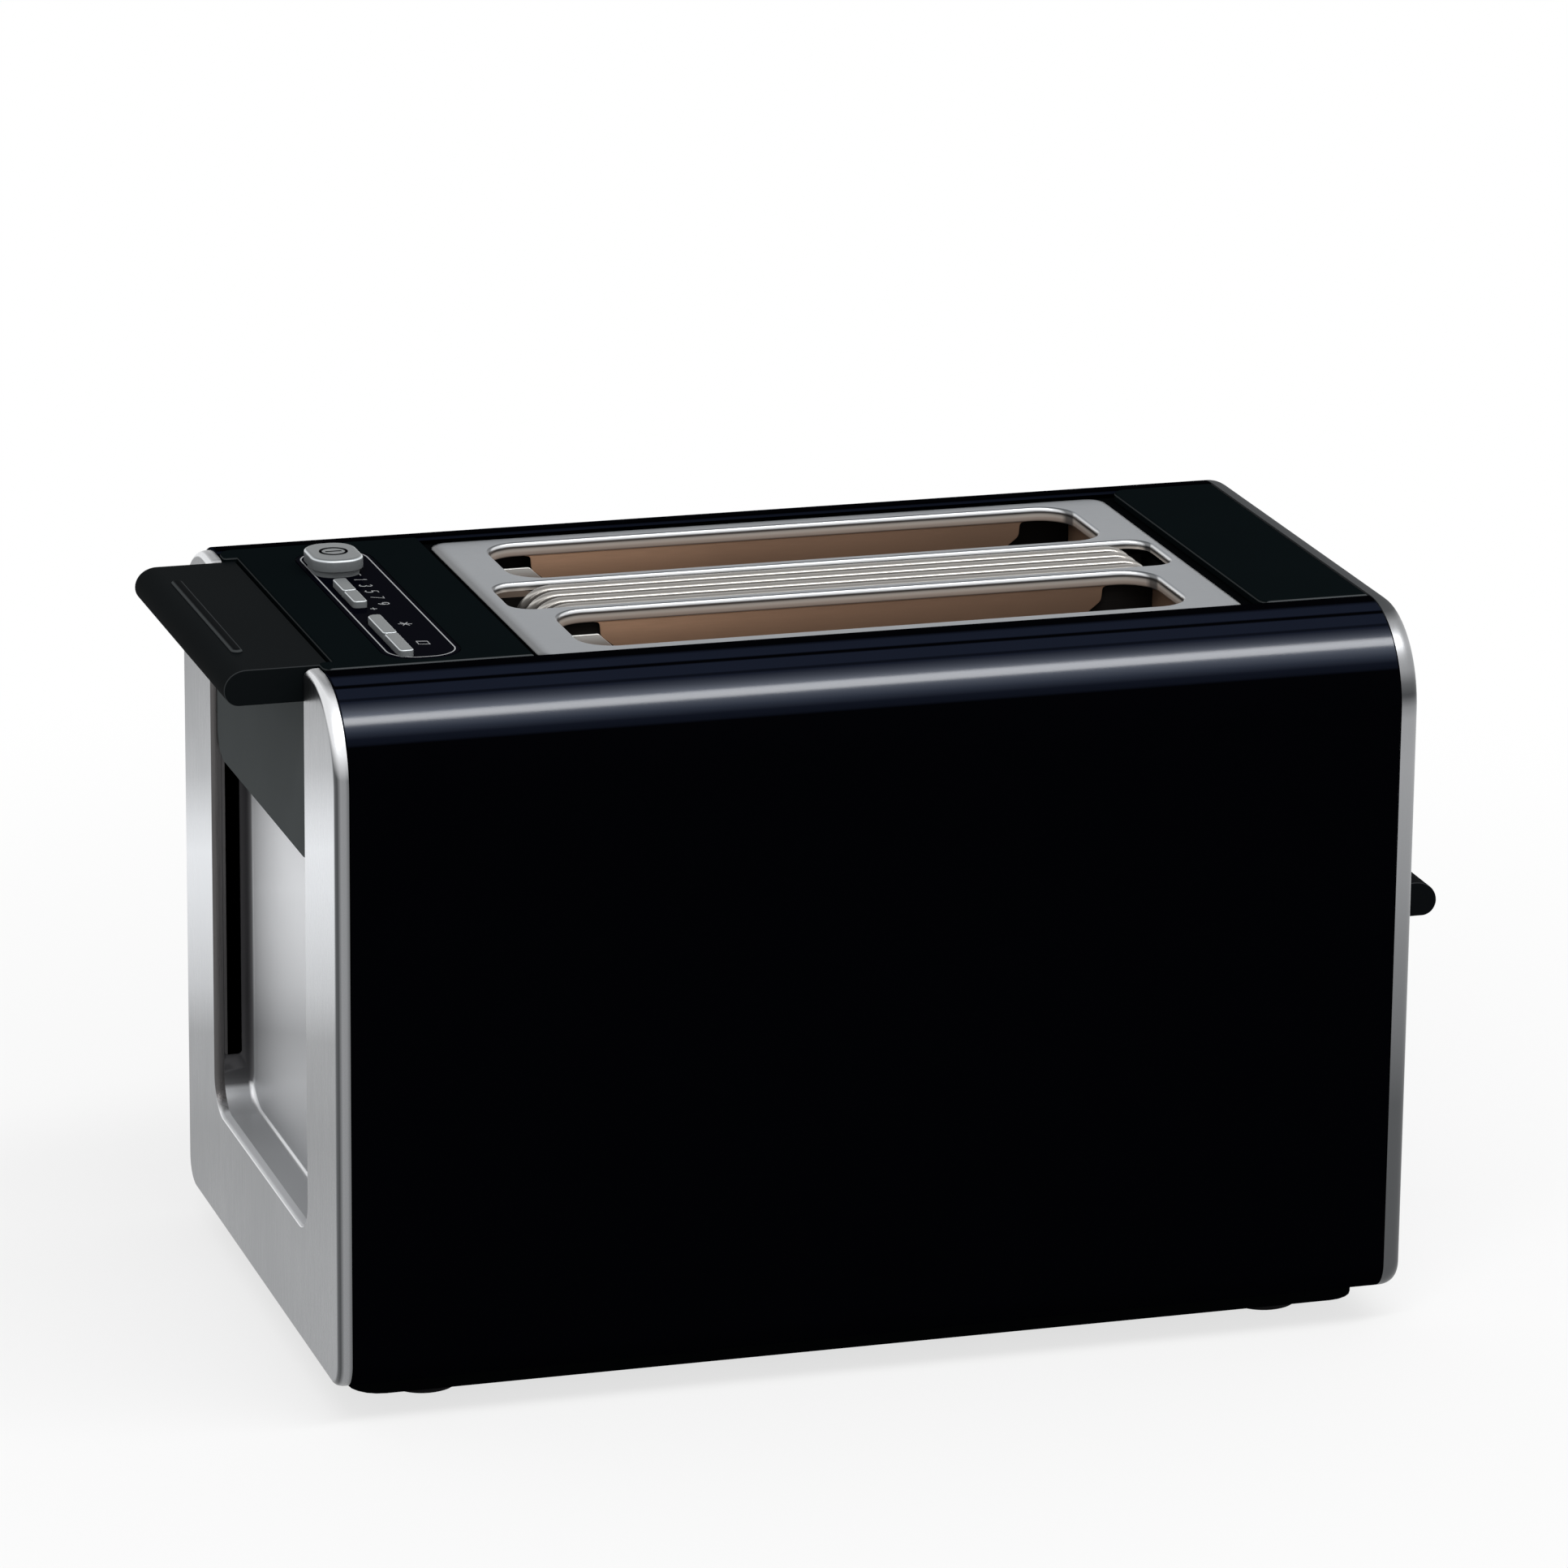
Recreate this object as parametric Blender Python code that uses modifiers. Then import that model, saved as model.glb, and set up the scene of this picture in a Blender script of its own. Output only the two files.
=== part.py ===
"""Two-slot toaster with a bread lift, a bun rack, five press controls and a crumb tray.

Metres, +Z up. The origin is on the ground under the middle of the toaster. The main lever and
the controls are at -X, the bun rack lever at +X, and -Y is the front.
"""

import math

import bmesh
import bpy
from mathutils import Matrix, Vector

# Seats, cuts and steps that all the pieces share
SEAT_GAP = 0.0003
LOW_SEAT = 2 * SEAT_GAP
OVERRUN = 0.001
ARC_STEPS = 5
WIDE_ARC_STEPS = 10
TURN_STEPS = 20
WELD_DISTANCE = 0.00001
FLAT_ANGLE = math.radians(0.5)
WIRE_SMOOTH_ANGLE = math.radians(50)
SHELL_SMOOTH_ANGLE = math.radians(30)

# Bun rack rods, which set the middle of the toaster
BUN_ROD_RADIUS = 0.0020
BUN_ROD_SPACING = 0.006
BUN_ROD_COUNT = 4
BUN_ROD_BEND = 0.008
BUN_ROD_TOP_DROP = 0.0015
BUN_FRAME_MARGIN = 0.0002
BUN_FRAME_HALF_WIDTH = (BUN_ROD_COUNT - 1) / 2 * BUN_ROD_SPACING + BUN_ROD_RADIUS + BUN_FRAME_MARGIN

# Depth of the body, from the middle outwards
BUN_SIDE_CLEARANCE = 0.0013
MIDDLE_WEB = 0.0035
BREAD_SLOT_WIDTH = 0.0345
SIDE_WEB = 0.0062
PLATE_SIDE_GAP = 0.0023
TOP_RADIUS = 0.024
MIDDLE_SLOT_HALF_WIDTH = BUN_FRAME_HALF_WIDTH + BUN_SIDE_CLEARANCE
BREAD_SLOT_INNER = MIDDLE_SLOT_HALF_WIDTH + MIDDLE_WEB
BREAD_SLOT_OUTER = BREAD_SLOT_INNER + BREAD_SLOT_WIDTH
PLATE_HALF_DEPTH = BREAD_SLOT_OUTER + SIDE_WEB
DECK_HALF_DEPTH = PLATE_HALF_DEPTH + PLATE_SIDE_GAP
BODY_HALF_DEPTH = DECK_HALF_DEPTH + TOP_RADIUS

# Overall body
BODY_HALF_LENGTH = 0.140
DECK_TOP = 0.188
FOOT_HEIGHT = 0.004
PLINTH_HEIGHT = 0.005
BODY_BOTTOM = FOOT_HEIGHT + PLINTH_HEIGHT
BOTTOM_RADIUS = 0.008

# Side shells
SHELL_WALL = 0.0012
SHELL_FOLD = 0.003

# End caps
LEFT_RIM = 0.0035
LEFT_RIM_EDGE = 0.0018
RIGHT_RIM = 0.005
RIGHT_RIM_EDGE = 0.0042
CAP_WALL = 0.0012
STRIP_DROP = 0.002
LEFT_CAP_BACK = -BODY_HALF_LENGTH + LEFT_RIM
RIGHT_CAP_BACK = BODY_HALF_LENGTH - RIGHT_RIM
SHELL_LOW_X = LEFT_CAP_BACK + SEAT_GAP
SHELL_HIGH_X = RIGHT_CAP_BACK - SEAT_GAP

# Recesses in the end caps
RECESS_FROM_DECK_SIDE = 0.008
RECESS_DEPTH = 0.0106
RECESS_CORNER = 0.009
RECESS_HALF_WIDTH = DECK_HALF_DEPTH - RECESS_FROM_DECK_SIDE
LEFT_FLOOR_X = -BODY_HALF_LENGTH + RECESS_DEPTH
RIGHT_FLOOR_X = BODY_HALF_LENGTH - RECESS_DEPTH
LEVER_SLOT_NEAR = 0.0027
LEVER_SLOT_WIDTH = 0.0047
LEVER_SLOT_TOP_DROP = 0.006
LEVER_SLOT_END_GAP = 0.001
LEVER_SLOT_LOW_X = -BODY_HALF_LENGTH + LEVER_SLOT_NEAR
LEVER_SLOT_HIGH_X = LEVER_SLOT_LOW_X + LEVER_SLOT_WIDTH
BUN_SLOT_FLOOR_GAP = 0.001

# Base plate and plinth
BASE_THICKNESS = 0.003
BASE_FOLD_LAP = 0.0015
PLINTH_INSET = 0.007
PLINTH_CLEARANCE = 0.0005
PLINTH_CORNER = 0.008
BASE_STEP = BODY_BOTTOM + SHELL_WALL + SEAT_GAP
BASE_TOP = BASE_STEP + BASE_THICKNESS
BASE_SEAT = BASE_TOP + SEAT_GAP
BASE_HALF_DEPTH = BODY_HALF_DEPTH - BOTTOM_RADIUS + BASE_FOLD_LAP
PLINTH_HALF_DEPTH = BODY_HALF_DEPTH - BOTTOM_RADIUS - SHELL_FOLD - PLINTH_CLEARANCE

# Crumb tray
TRAY_FROM_DECK_SIDE = 0.0050
TRAY_FROM_BULKHEAD = 0.0041
TRAY_FLOOR = 0.0008
TRAY_DEPTH = 0.0052
TRAY_RIM_WALL = 0.0010
TRAY_FRONT_HEIGHT = 0.0102
TRAY_FRONT_THICKNESS = 0.0042
TRAY_LIP_LENGTH = 0.0040
TRAY_LIP_HALF_WIDTH = 0.020
TRAY_LIP_THICKNESS = 0.0024
TRAY_FRONT_CLEARANCE = 0.0006
TRAY_PASS_CLEARANCE = 0.0015
TRAY_PASS_HEADROOM = 0.001
TRAY_HALF_DEPTH = DECK_HALF_DEPTH - TRAY_FROM_DECK_SIDE
TRAY_SEAT = BASE_SEAT
TRAY_RIM_TOP = TRAY_SEAT + TRAY_DEPTH
TRAY_FRONT_TOP = TRAY_SEAT + TRAY_FRONT_HEIGHT
TRAY_PASS_HALF_DEPTH = TRAY_HALF_DEPTH + TRAY_PASS_CLEARANCE
TRAY_PASS_TOP = TRAY_RIM_TOP + TRAY_PASS_HEADROOM

# Feet, cap feet and base screws
FOOT_RADIUS = 0.009
FOOT_FROM_END = 0.028
FOOT_FROM_SIDE = 0.027
FOOT_CHAMFER = 0.0008
CAP_FLANGE_LENGTH = 0.016
CAP_FLANGE_THICKNESS = 0.0012
CAP_FLANGE_FROM_SIDE = 0.015
CAP_FLANGE_WIDTH = 0.011
CAP_FLANGE_OUTER = BODY_HALF_DEPTH - CAP_FLANGE_FROM_SIDE
CAP_FLANGE_INNER = CAP_FLANGE_OUTER - CAP_FLANGE_WIDTH
SCREW_FROM_END = 0.015
SCREW_HALF_DEPTH = (CAP_FLANGE_INNER + CAP_FLANGE_OUTER) / 2
SCREW_HEAD_RADIUS = 0.0028
SCREW_HEAD_HEIGHT = 0.0018
SCREW_SHANK_RADIUS = 0.0014
SCREW_CLEARANCE = 0.0003
SCREW_SINK = 0.001

# Slot plate
PLATE_FROM_LEFT = 0.0588
PLATE_FROM_RIGHT = 0.0372
PLATE_CORNER = 0.005
PLATE_DROP = 0.0012
PLATE_EDGE = 0.0008
PLATE_LEDGE = 0.0018
BREAD_SLOT_FROM_LEFT = 0.0130
BREAD_SLOT_FROM_RIGHT = 0.0122
BREAD_SLOT_CORNER = 0.009
MIDDLE_SLOT_FROM_LEFT = 0.0049
MIDDLE_SLOT_FROM_RIGHT = 0.0032
MIDDLE_SLOT_CORNER = 0.006
LIP_WALL = 0.0009
LIP_DEPTH = 0.0040
TONGUE_DEPTH = 0.012
TONGUE_FROM_LEFT = 0.0106
TONGUE_FROM_RIGHT = 0.0115
PLATE_LOW_X = -BODY_HALF_LENGTH + PLATE_FROM_LEFT
PLATE_HIGH_X = BODY_HALF_LENGTH - PLATE_FROM_RIGHT
BREAD_SLOT_LOW_X = PLATE_LOW_X + BREAD_SLOT_FROM_LEFT
BREAD_SLOT_HIGH_X = PLATE_HIGH_X - BREAD_SLOT_FROM_RIGHT
MIDDLE_SLOT_LOW_X = PLATE_LOW_X + MIDDLE_SLOT_FROM_LEFT
MIDDLE_SLOT_HIGH_X = PLATE_HIGH_X - MIDDLE_SLOT_FROM_RIGHT

# Decks and the frame under them
DECK_THICKNESS = 0.0022
FRAME_THICKNESS = 0.0032
FRAME_SHELL_LAP = 0.005
DECK_LEVER_EDGE = 0.0074
DECK_TAB_CORNER = 0.004
DECK_CORNER = 0.006
CONTROL_DECK_GAP = 0.0022
RIGHT_DECK_GAP = 0.0035
RIGHT_DECK_CORNER = 0.004
DECK_EDGE_Y = DECK_HALF_DEPTH - SEAT_GAP
DECK_UNDERSIDE = DECK_TOP - DECK_THICKNESS
DECK_LEVER_X = -BODY_HALF_LENGTH + DECK_LEVER_EDGE
CONTROL_DECK_END = PLATE_LOW_X - CONTROL_DECK_GAP
RIGHT_DECK_START = PLATE_HIGH_X + RIGHT_DECK_GAP
FRAME_TOP = DECK_UNDERSIDE - SEAT_GAP
FRAME_BOTTOM = FRAME_TOP - FRAME_THICKNESS
FRAME_HALF_DEPTH = DECK_HALF_DEPTH + FRAME_SHELL_LAP
PLATE_TOP = DECK_TOP - PLATE_DROP
PLATE_BOTTOM = FRAME_TOP + SEAT_GAP
LIP_BOTTOM = PLATE_BOTTOM - LIP_DEPTH
TONGUE_BOTTOM = LIP_BOTTOM - TONGUE_DEPTH

# Bulkheads
BULKHEAD_WALL = 0.0010
BULKHEAD_FRAME_LAP = 0.0007
BULKHEAD_FROM_REFLECTOR = 0.0036
BULKHEAD_TOP = FRAME_BOTTOM - SEAT_GAP
CHAMBER_WINDOW_LOW = PLATE_LOW_X + PLATE_LEDGE
CHAMBER_WINDOW_HIGH = PLATE_HIGH_X - PLATE_LEDGE
CHAMBER_LOW_X = CHAMBER_WINDOW_LOW - BULKHEAD_FRAME_LAP
CHAMBER_HIGH_X = CHAMBER_WINDOW_HIGH + BULKHEAD_FRAME_LAP
TRAY_LOW_X = CHAMBER_LOW_X + TRAY_FROM_BULKHEAD

# Heating elements and reflectors
HEATER_THICKNESS = 0.0010
INNER_HEATER_SETBACK = 0.0022
OUTER_HEATER_SETBACK = 0.0025
HEATER_RISE = 0.009
HEATER_TOP_GAP = 0.0018
REFLECTOR_SETBACK = 0.0034
REFLECTOR_WALL = 0.0008
INNER_HEATER_Y = BREAD_SLOT_INNER - INNER_HEATER_SETBACK
OUTER_HEATER_Y = BREAD_SLOT_OUTER + OUTER_HEATER_SETBACK
HEATER_BOTTOM = TRAY_RIM_TOP + HEATER_RISE
HEATER_TOP = TONGUE_BOTTOM - HEATER_TOP_GAP
REFLECTOR_Y = OUTER_HEATER_Y + REFLECTOR_SETBACK
BULKHEAD_HALF_DEPTH = REFLECTOR_Y + BULKHEAD_FROM_REFLECTOR

# Bread guards
GUARD_FROM_LIP = 0.0018
GUARD_THICKNESS = 0.0012
GUARD_FROM_LEFT = 0.0081
GUARD_FROM_RIGHT = 0.0077
GUARD_PIVOT_RISE = 0.0050
GUARD_PIVOT_RADIUS = 0.0014
GUARD_BARS = 11
GUARD_BAR_WIDTH = 0.0020
GUARD_INNER_Y = BREAD_SLOT_INNER + GUARD_FROM_LIP
GUARD_OUTER_Y = BREAD_SLOT_OUTER - GUARD_FROM_LIP
GUARD_LOW_X = CHAMBER_LOW_X + GUARD_FROM_LEFT
GUARD_HIGH_X = CHAMBER_HIGH_X - GUARD_FROM_RIGHT
GUARD_PIVOT_Z = TRAY_RIM_TOP + GUARD_PIVOT_RISE
GUARD_TOP = HEATER_TOP

# Carriage and guide rod
CARRIAGE_DROP = 0.043
CARRIAGE_HEIGHT = 0.0105
CARRIAGE_BEAM_LENGTH = 0.0047
CARRIAGE_BEAM_MARGIN = 0.00375
CARRIAGE_BAR_HALF_WIDTH = 0.008
CARRIAGE_HUB_HALF_WIDTH = 0.0065
CARRIAGE_HUB_EXTRA = 0.0015
ROD_FROM_BULKHEAD = 0.0094
ROD_RADIUS = 0.0030
ROD_CLEARANCE = 0.0003
CARRIAGE_LOW = DECK_TOP - CARRIAGE_DROP
CARRIAGE_HIGH = CARRIAGE_LOW + CARRIAGE_HEIGHT
ROD_X = CHAMBER_LOW_X - BULKHEAD_WALL - ROD_FROM_BULKHEAD

# Bread lift
LIFT_DROP = 0.011
LIFT_RAIL_DEPTH = 0.012
LIFT_RAIL_WALL = 0.0016
LIFT_END_SETBACK = 0.0006
LIFT_TRAVEL_UP = 0.014
LIFT_SLIT_CLEARANCE = 0.0012
LIFT_RISER_LENGTH = 0.009
LIFT_TOOTH_HALF_WIDTH = 0.008
LIFT_TOOTH_LENGTH = 0.0035
LIFT_TEETH = 8
LIFT_TEETH_FROM_LEFT = 0.0062
LIFT_TEETH_FROM_END = 0.006
LIFT_TOP = CARRIAGE_LOW - LIFT_DROP
LIFT_Y = (BREAD_SLOT_INNER + BREAD_SLOT_OUTER) / 2
LIFT_END_X = BREAD_SLOT_HIGH_X - LIFT_END_SETBACK
LIFT_TEETH_LOW_X = BREAD_SLOT_LOW_X + LIFT_TEETH_FROM_LEFT
LIFT_TEETH_HIGH_X = LIFT_END_X - LIFT_TEETH_FROM_END
CARRIAGE_BEAM_HALF_WIDTH = LIFT_Y + CARRIAGE_BEAM_MARGIN

# Holding magnet and armature, which end the lift's travel
MAGNET_FROM_ROD = 0.0080
MAGNET_LENGTH = 0.0115
MAGNET_HEIGHT = 0.0381
MAGNET_HALF_WIDTH = 0.008
ARMATURE_THICKNESS = 0.0025
MAGNET_SLOT_DEPTH = 0.012
MAGNET_SLOT_HALF_WIDTH = 0.003
MAGNET_HIGH_X = ROD_X - MAGNET_FROM_ROD
MAGNET_LOW_X = MAGNET_HIGH_X - MAGNET_LENGTH
MAGNET_TOP = BASE_SEAT + MAGNET_HEIGHT
ARMATURE_HIGH = CARRIAGE_LOW - SEAT_GAP
ARMATURE_LOW = ARMATURE_HIGH - ARMATURE_THICKNESS
LIFT_TRAVEL_DOWN = ARMATURE_LOW - SEAT_GAP - MAGNET_TOP

# Return spring
SPRING_RADIUS = 0.0052
SPRING_WIRE_RADIUS = 0.0006
SPRING_TURNS = 14
SPRING_POINTS_PER_TURN = 10

# Main lever
HANDLE_REACH = 0.0196
HANDLE_SIDE_GAP = 0.0005
HANDLE_DECK_GAP = 0.0009
HANDLE_THICKNESS = 0.009
HANDLE_TOP_DROP = 0.001
HANDLE_NOSE_TOP = 0.0056
HANDLE_NOSE_LOW = 0.0038
HANDLE_NOSE_RISE = 0.0050
HANDLE_EDGE = 0.0004
RIB_FROM_NOSE = 0.0072
RIB_WIDTH = 0.0030
RIB_HALF_LENGTH = 0.0345
RIB_HEIGHT = 0.0008
RIB_ROUND_SHARE = 0.98
SKIRT_SETBACK = 0.0015
SKIRT_THICKNESS = 0.0015
SKIRT_BELOW_TAB = 0.009
SKIRT_CORNER = 0.008
TAB_HEIGHT = 0.011
TAB_INNER_REACH = 0.0040
TAB_OUTER_REACH = 0.0060
TAB_NEAR_GAP = 0.0013
TAB_FAR_GAP = 0.0006
HANDLE_HALF_WIDTH = RECESS_HALF_WIDTH - HANDLE_SIDE_GAP
HANDLE_NOSE_X = -BODY_HALF_LENGTH - HANDLE_REACH
HANDLE_INNER_X = DECK_LEVER_X - HANDLE_DECK_GAP
RIB_X = HANDLE_NOSE_X + RIB_FROM_NOSE
TAB_LOW = CARRIAGE_LOW
TAB_HIGH = TAB_LOW + TAB_HEIGHT
TAB_INNER = RECESS_HALF_WIDTH - TAB_INNER_REACH
TAB_OUTER = RECESS_HALF_WIDTH + TAB_OUTER_REACH
TAB_NEAR_X = LEVER_SLOT_LOW_X + TAB_NEAR_GAP
TAB_FAR_X = LEVER_SLOT_HIGH_X - TAB_FAR_GAP
SKIRT_HALF_WIDTH = RECESS_HALF_WIDTH - LOW_SEAT
SKIRT_BOTTOM = TAB_LOW - SKIRT_BELOW_TAB

# Left recess and its slots, from the lever's travel
LEFT_RECESS_ROOM = 0.006
LEFT_RECESS_BOTTOM = SKIRT_BOTTOM - LIFT_TRAVEL_DOWN - LEFT_RECESS_ROOM
LEVER_SLOT_BOTTOM = TAB_LOW - LIFT_TRAVEL_DOWN - LEVER_SLOT_END_GAP

# Lever yoke
YOKE_WALL = 0.0020
YOKE_FROM_FLOOR = 0.0114
YOKE_BACK_X = LEFT_FLOOR_X + YOKE_FROM_FLOOR

# Bun rack frame and lever
BUN_FRAME_DROP = 0.076
BUN_FRAME_THICKNESS = 0.003
BUN_ROD_FROM_LEFT = 0.0073
BUN_ROD_FROM_RIGHT = 0.0043
BUN_FRAME_PAST_ROD = 0.0040
BUN_FRAME_PAST_BULKHEAD = 0.0100
BUN_TRAVEL = 0.040
BUN_PASS_CLEARANCE = 0.0012
BUN_YOKE_HEIGHT = 0.014
BUN_PLATE_HEIGHT = 0.012
BUN_PLATE_THICKNESS = 0.0032
BUN_HANDLE_RISE = 0.005
BUN_HANDLE_SIDE_GAP = 0.0015
BUN_FRAME_TOP = DECK_TOP - BUN_FRAME_DROP
BUN_ROD_LOW_X = MIDDLE_SLOT_LOW_X + BUN_ROD_FROM_LEFT
BUN_ROD_HIGH_X = MIDDLE_SLOT_HIGH_X - BUN_ROD_FROM_RIGHT
BUN_FRAME_LOW_X = BUN_ROD_LOW_X - BUN_FRAME_PAST_ROD
BUN_FRAME_HIGH_X = CHAMBER_HIGH_X + BUN_FRAME_PAST_BULKHEAD
BUN_PLATE_LOW = BUN_FRAME_TOP - BUN_YOKE_HEIGHT
BUN_PLATE_HIGH = BUN_PLATE_LOW + BUN_PLATE_HEIGHT
BUN_PLATE_HIGH_X = RIGHT_CAP_BACK - LOW_SEAT
BUN_PLATE_LOW_X = BUN_PLATE_HIGH_X - BUN_PLATE_THICKNESS
BUN_LEVER_Z = BUN_PLATE_LOW + BUN_HANDLE_RISE
BUN_HANDLE_HALF_WIDTH = RECESS_HALF_WIDTH - BUN_HANDLE_SIDE_GAP

# Right recess, from the bun lever's travel
RIGHT_RECESS_ROOM_BELOW = 0.028
RIGHT_RECESS_ROOM_ABOVE = 0.015
RIGHT_RECESS_BOTTOM = BUN_PLATE_LOW - RIGHT_RECESS_ROOM_BELOW
RIGHT_RECESS_TOP = BUN_PLATE_HIGH + BUN_TRAVEL + RIGHT_RECESS_ROOM_ABOVE

# Control panel
PANEL_FROM_LEFT = 0.0209
PANEL_WIDTH = 0.0198
PANEL_FROM_FRONT = 0.0047
PANEL_FROM_REAR = 0.0083
PANEL_CORNER = 0.0085
PANEL_FLANGE = 0.0015
PANEL_FLANGE_THICKNESS = 0.0012
PANEL_LOW_X = -BODY_HALF_LENGTH + PANEL_FROM_LEFT
PANEL_HIGH_X = PANEL_LOW_X + PANEL_WIDTH
PANEL_LOW_Y = -DECK_HALF_DEPTH + PANEL_FROM_FRONT
PANEL_HIGH_Y = DECK_HALF_DEPTH - PANEL_FROM_REAR
PANEL_UNDERSIDE = FRAME_TOP - PANEL_FLANGE_THICKNESS

# Power button
BUTTON_FROM_LEFT = 0.00735
BUTTON_FROM_REAR = 0.0179
BUTTON_WIDTH = 0.0135
BUTTON_DEPTH = 0.0184
BUTTON_CORNER = 0.0050
BUTTON_CAP_HEIGHT = 0.0034
BUTTON_CAP_EDGE = 0.0007
BUTTON_HEIGHT = 0.0048
BUTTON_COLLAR_INSET = 0.0010
BUTTON_X = PANEL_LOW_X + BUTTON_FROM_LEFT
BUTTON_Y = PANEL_HIGH_Y - BUTTON_FROM_REAR

# Keys, in two pairs that each meet at a line
KEY_FROM_LEFT = 0.0051
KEY_WIDTH = 0.0036
KEY_HEIGHT = 0.0018
KEY_END = 0.0012
KEY_EDGE = 0.0005
BROWNING_KEYS_FROM_REAR = 0.0447
FUNCTION_KEYS_FROM_FRONT = 0.0188
PLUS_KEY_LENGTH = 0.0111
MINUS_KEY_LENGTH = 0.0118
STOP_KEY_LENGTH = 0.0165
THAW_KEY_LENGTH = 0.0175
KEY_X = PANEL_LOW_X + KEY_FROM_LEFT
BROWNING_KEYS_Y = PANEL_HIGH_Y - BROWNING_KEYS_FROM_REAR
FUNCTION_KEYS_Y = PANEL_LOW_Y + FUNCTION_KEYS_FROM_FRONT
KEY_SPANS = {
    "minus_key": (BROWNING_KEYS_Y, BROWNING_KEYS_Y + MINUS_KEY_LENGTH),
    "plus_key": (BROWNING_KEYS_Y - PLUS_KEY_LENGTH, BROWNING_KEYS_Y),
    "thaw_key": (FUNCTION_KEYS_Y, FUNCTION_KEYS_Y + THAW_KEY_LENGTH),
    "stop_key": (FUNCTION_KEYS_Y - STOP_KEY_LENGTH, FUNCTION_KEYS_Y),
}
KEY_PAIRS = (("plus_key", "minus_key"), ("stop_key", "thaw_key"))

# What the button and the keys press on
PRESS_FLANGE = 0.0012
PRESS_FLANGE_THICKNESS = 0.0012
PRESS_STEM = 0.0023
PRESS_TRAVEL = 0.0010
SWITCH_HALF_WIDTH = 0.0022
PRESS_FLANGE_TOP = PANEL_UNDERSIDE - SEAT_GAP
STEM_BOTTOM = PRESS_FLANGE_TOP - PRESS_FLANGE_THICKNESS - PRESS_STEM
SWITCH_TOP = STEM_BOTTOM - PRESS_TRAVEL - SEAT_GAP

# Control board and the frame's window over it
BOARD_PAST_PANEL_LEFT = 0.0054
BOARD_PAST_PANEL_RIGHT = 0.0038
BOARD_FROM_DECK_SIDE = 0.0020
BOARD_THICKNESS = 0.0016
SWITCH_HEIGHT = 0.0036
POST_WIDTH = 0.0016
POST_DEPTH = 0.006
FRAME_WINDOW_PAST_BOARD = 0.0025
FRAME_WINDOW_PAST_ROD = 0.0015
FRAME_WINDOW_FROM_SIDE = 0.0030
BOARD_TOP = SWITCH_TOP - SWITCH_HEIGHT
BOARD_LOW_X = PANEL_LOW_X - BOARD_PAST_PANEL_LEFT
BOARD_HIGH_X = PANEL_HIGH_X + BOARD_PAST_PANEL_RIGHT
BOARD_HALF_DEPTH = DECK_HALF_DEPTH - BOARD_FROM_DECK_SIDE
FRAME_WINDOW_LOW = BOARD_LOW_X - FRAME_WINDOW_PAST_BOARD
FRAME_WINDOW_HIGH = ROD_X + ROD_RADIUS + FRAME_WINDOW_PAST_ROD
FRAME_WINDOW_HALF_DEPTH = DECK_HALF_DEPTH - FRAME_WINDOW_FROM_SIDE

# Cord gland
GLAND_FROM_SIDE = 0.0120
GLAND_RISE = 0.0155
GLAND_BORE_RADIUS = 0.0034
GLAND_BODY_RADIUS = 0.0052
GLAND_COLLAR_RADIUS = 0.0072
GLAND_COLLAR_LENGTH = 0.0020
GLAND_BODY_LENGTH = 0.0120
GLAND_Y = BODY_HALF_DEPTH - GLAND_FROM_SIDE
GLAND_Z = BASE_TOP + GLAND_RISE

# Finishes: colour, metallic, roughness
GLOSS_BLACK = ((0.004, 0.005, 0.008), 0.0, 0.08)
SATIN_BLACK = ((0.012, 0.014, 0.016), 0.0, 0.38)
DARK_GREY = ((0.095, 0.105, 0.105), 0.0, 0.35)
BRUSHED_STEEL = ((0.62, 0.63, 0.65), 1.0, 0.30)
SATIN_STEEL = ((0.52, 0.54, 0.56), 1.0, 0.34)
POLISHED_STEEL = ((0.66, 0.63, 0.59), 1.0, 0.16)
SILVER_PLASTIC = ((0.50, 0.53, 0.56), 0.6, 0.35)
SHEET_STEEL = ((0.55, 0.54, 0.52), 1.0, 0.35)
RUBBER = ((0.02, 0.02, 0.02), 0.0, 0.8)
MICA = ((0.55, 0.47, 0.36), 0.0, 0.6)
BOARD_GREEN = ((0.03, 0.16, 0.07), 0.0, 0.5)
COPPER = ((0.60, 0.30, 0.16), 1.0, 0.35)

AXIS_FRAMES = {
    "X": Matrix(((0, 0, 1), (1, 0, 0), (0, 1, 0))),
    "Y": Matrix(((1, 0, 0), (0, 0, -1), (0, 1, 0))),
    "Z": Matrix.Identity(3),
}


def clear_scene():
    for old in list(bpy.data.objects):
        bpy.data.objects.remove(old, do_unlink=True)


def make_collection(name):
    made = bpy.data.collections.new(name)
    bpy.context.scene.collection.children.link(made)
    return made


clear_scene()
PARTS = make_collection("toaster")
CUTTERS = make_collection("toaster_cutters")


# Outlines

def arc(centre, radius, start, end, steps=ARC_STEPS):
    """Points along an arc, angles in degrees."""
    points = []
    for step in range(steps + 1):
        angle = math.radians(start + (end - start) * step / steps)
        points.append((centre[0] + radius * math.cos(angle), centre[1] + radius * math.sin(angle)))
    return points


def oval(centre, reach, start, end, steps=ARC_STEPS):
    """Points along a quarter of an oval, its reach given in both directions."""
    return [
        (centre[0] + reach[0] * x, centre[1] + reach[1] * y)
        for x, y in arc((0, 0), 1, start, end, steps)
    ]


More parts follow.
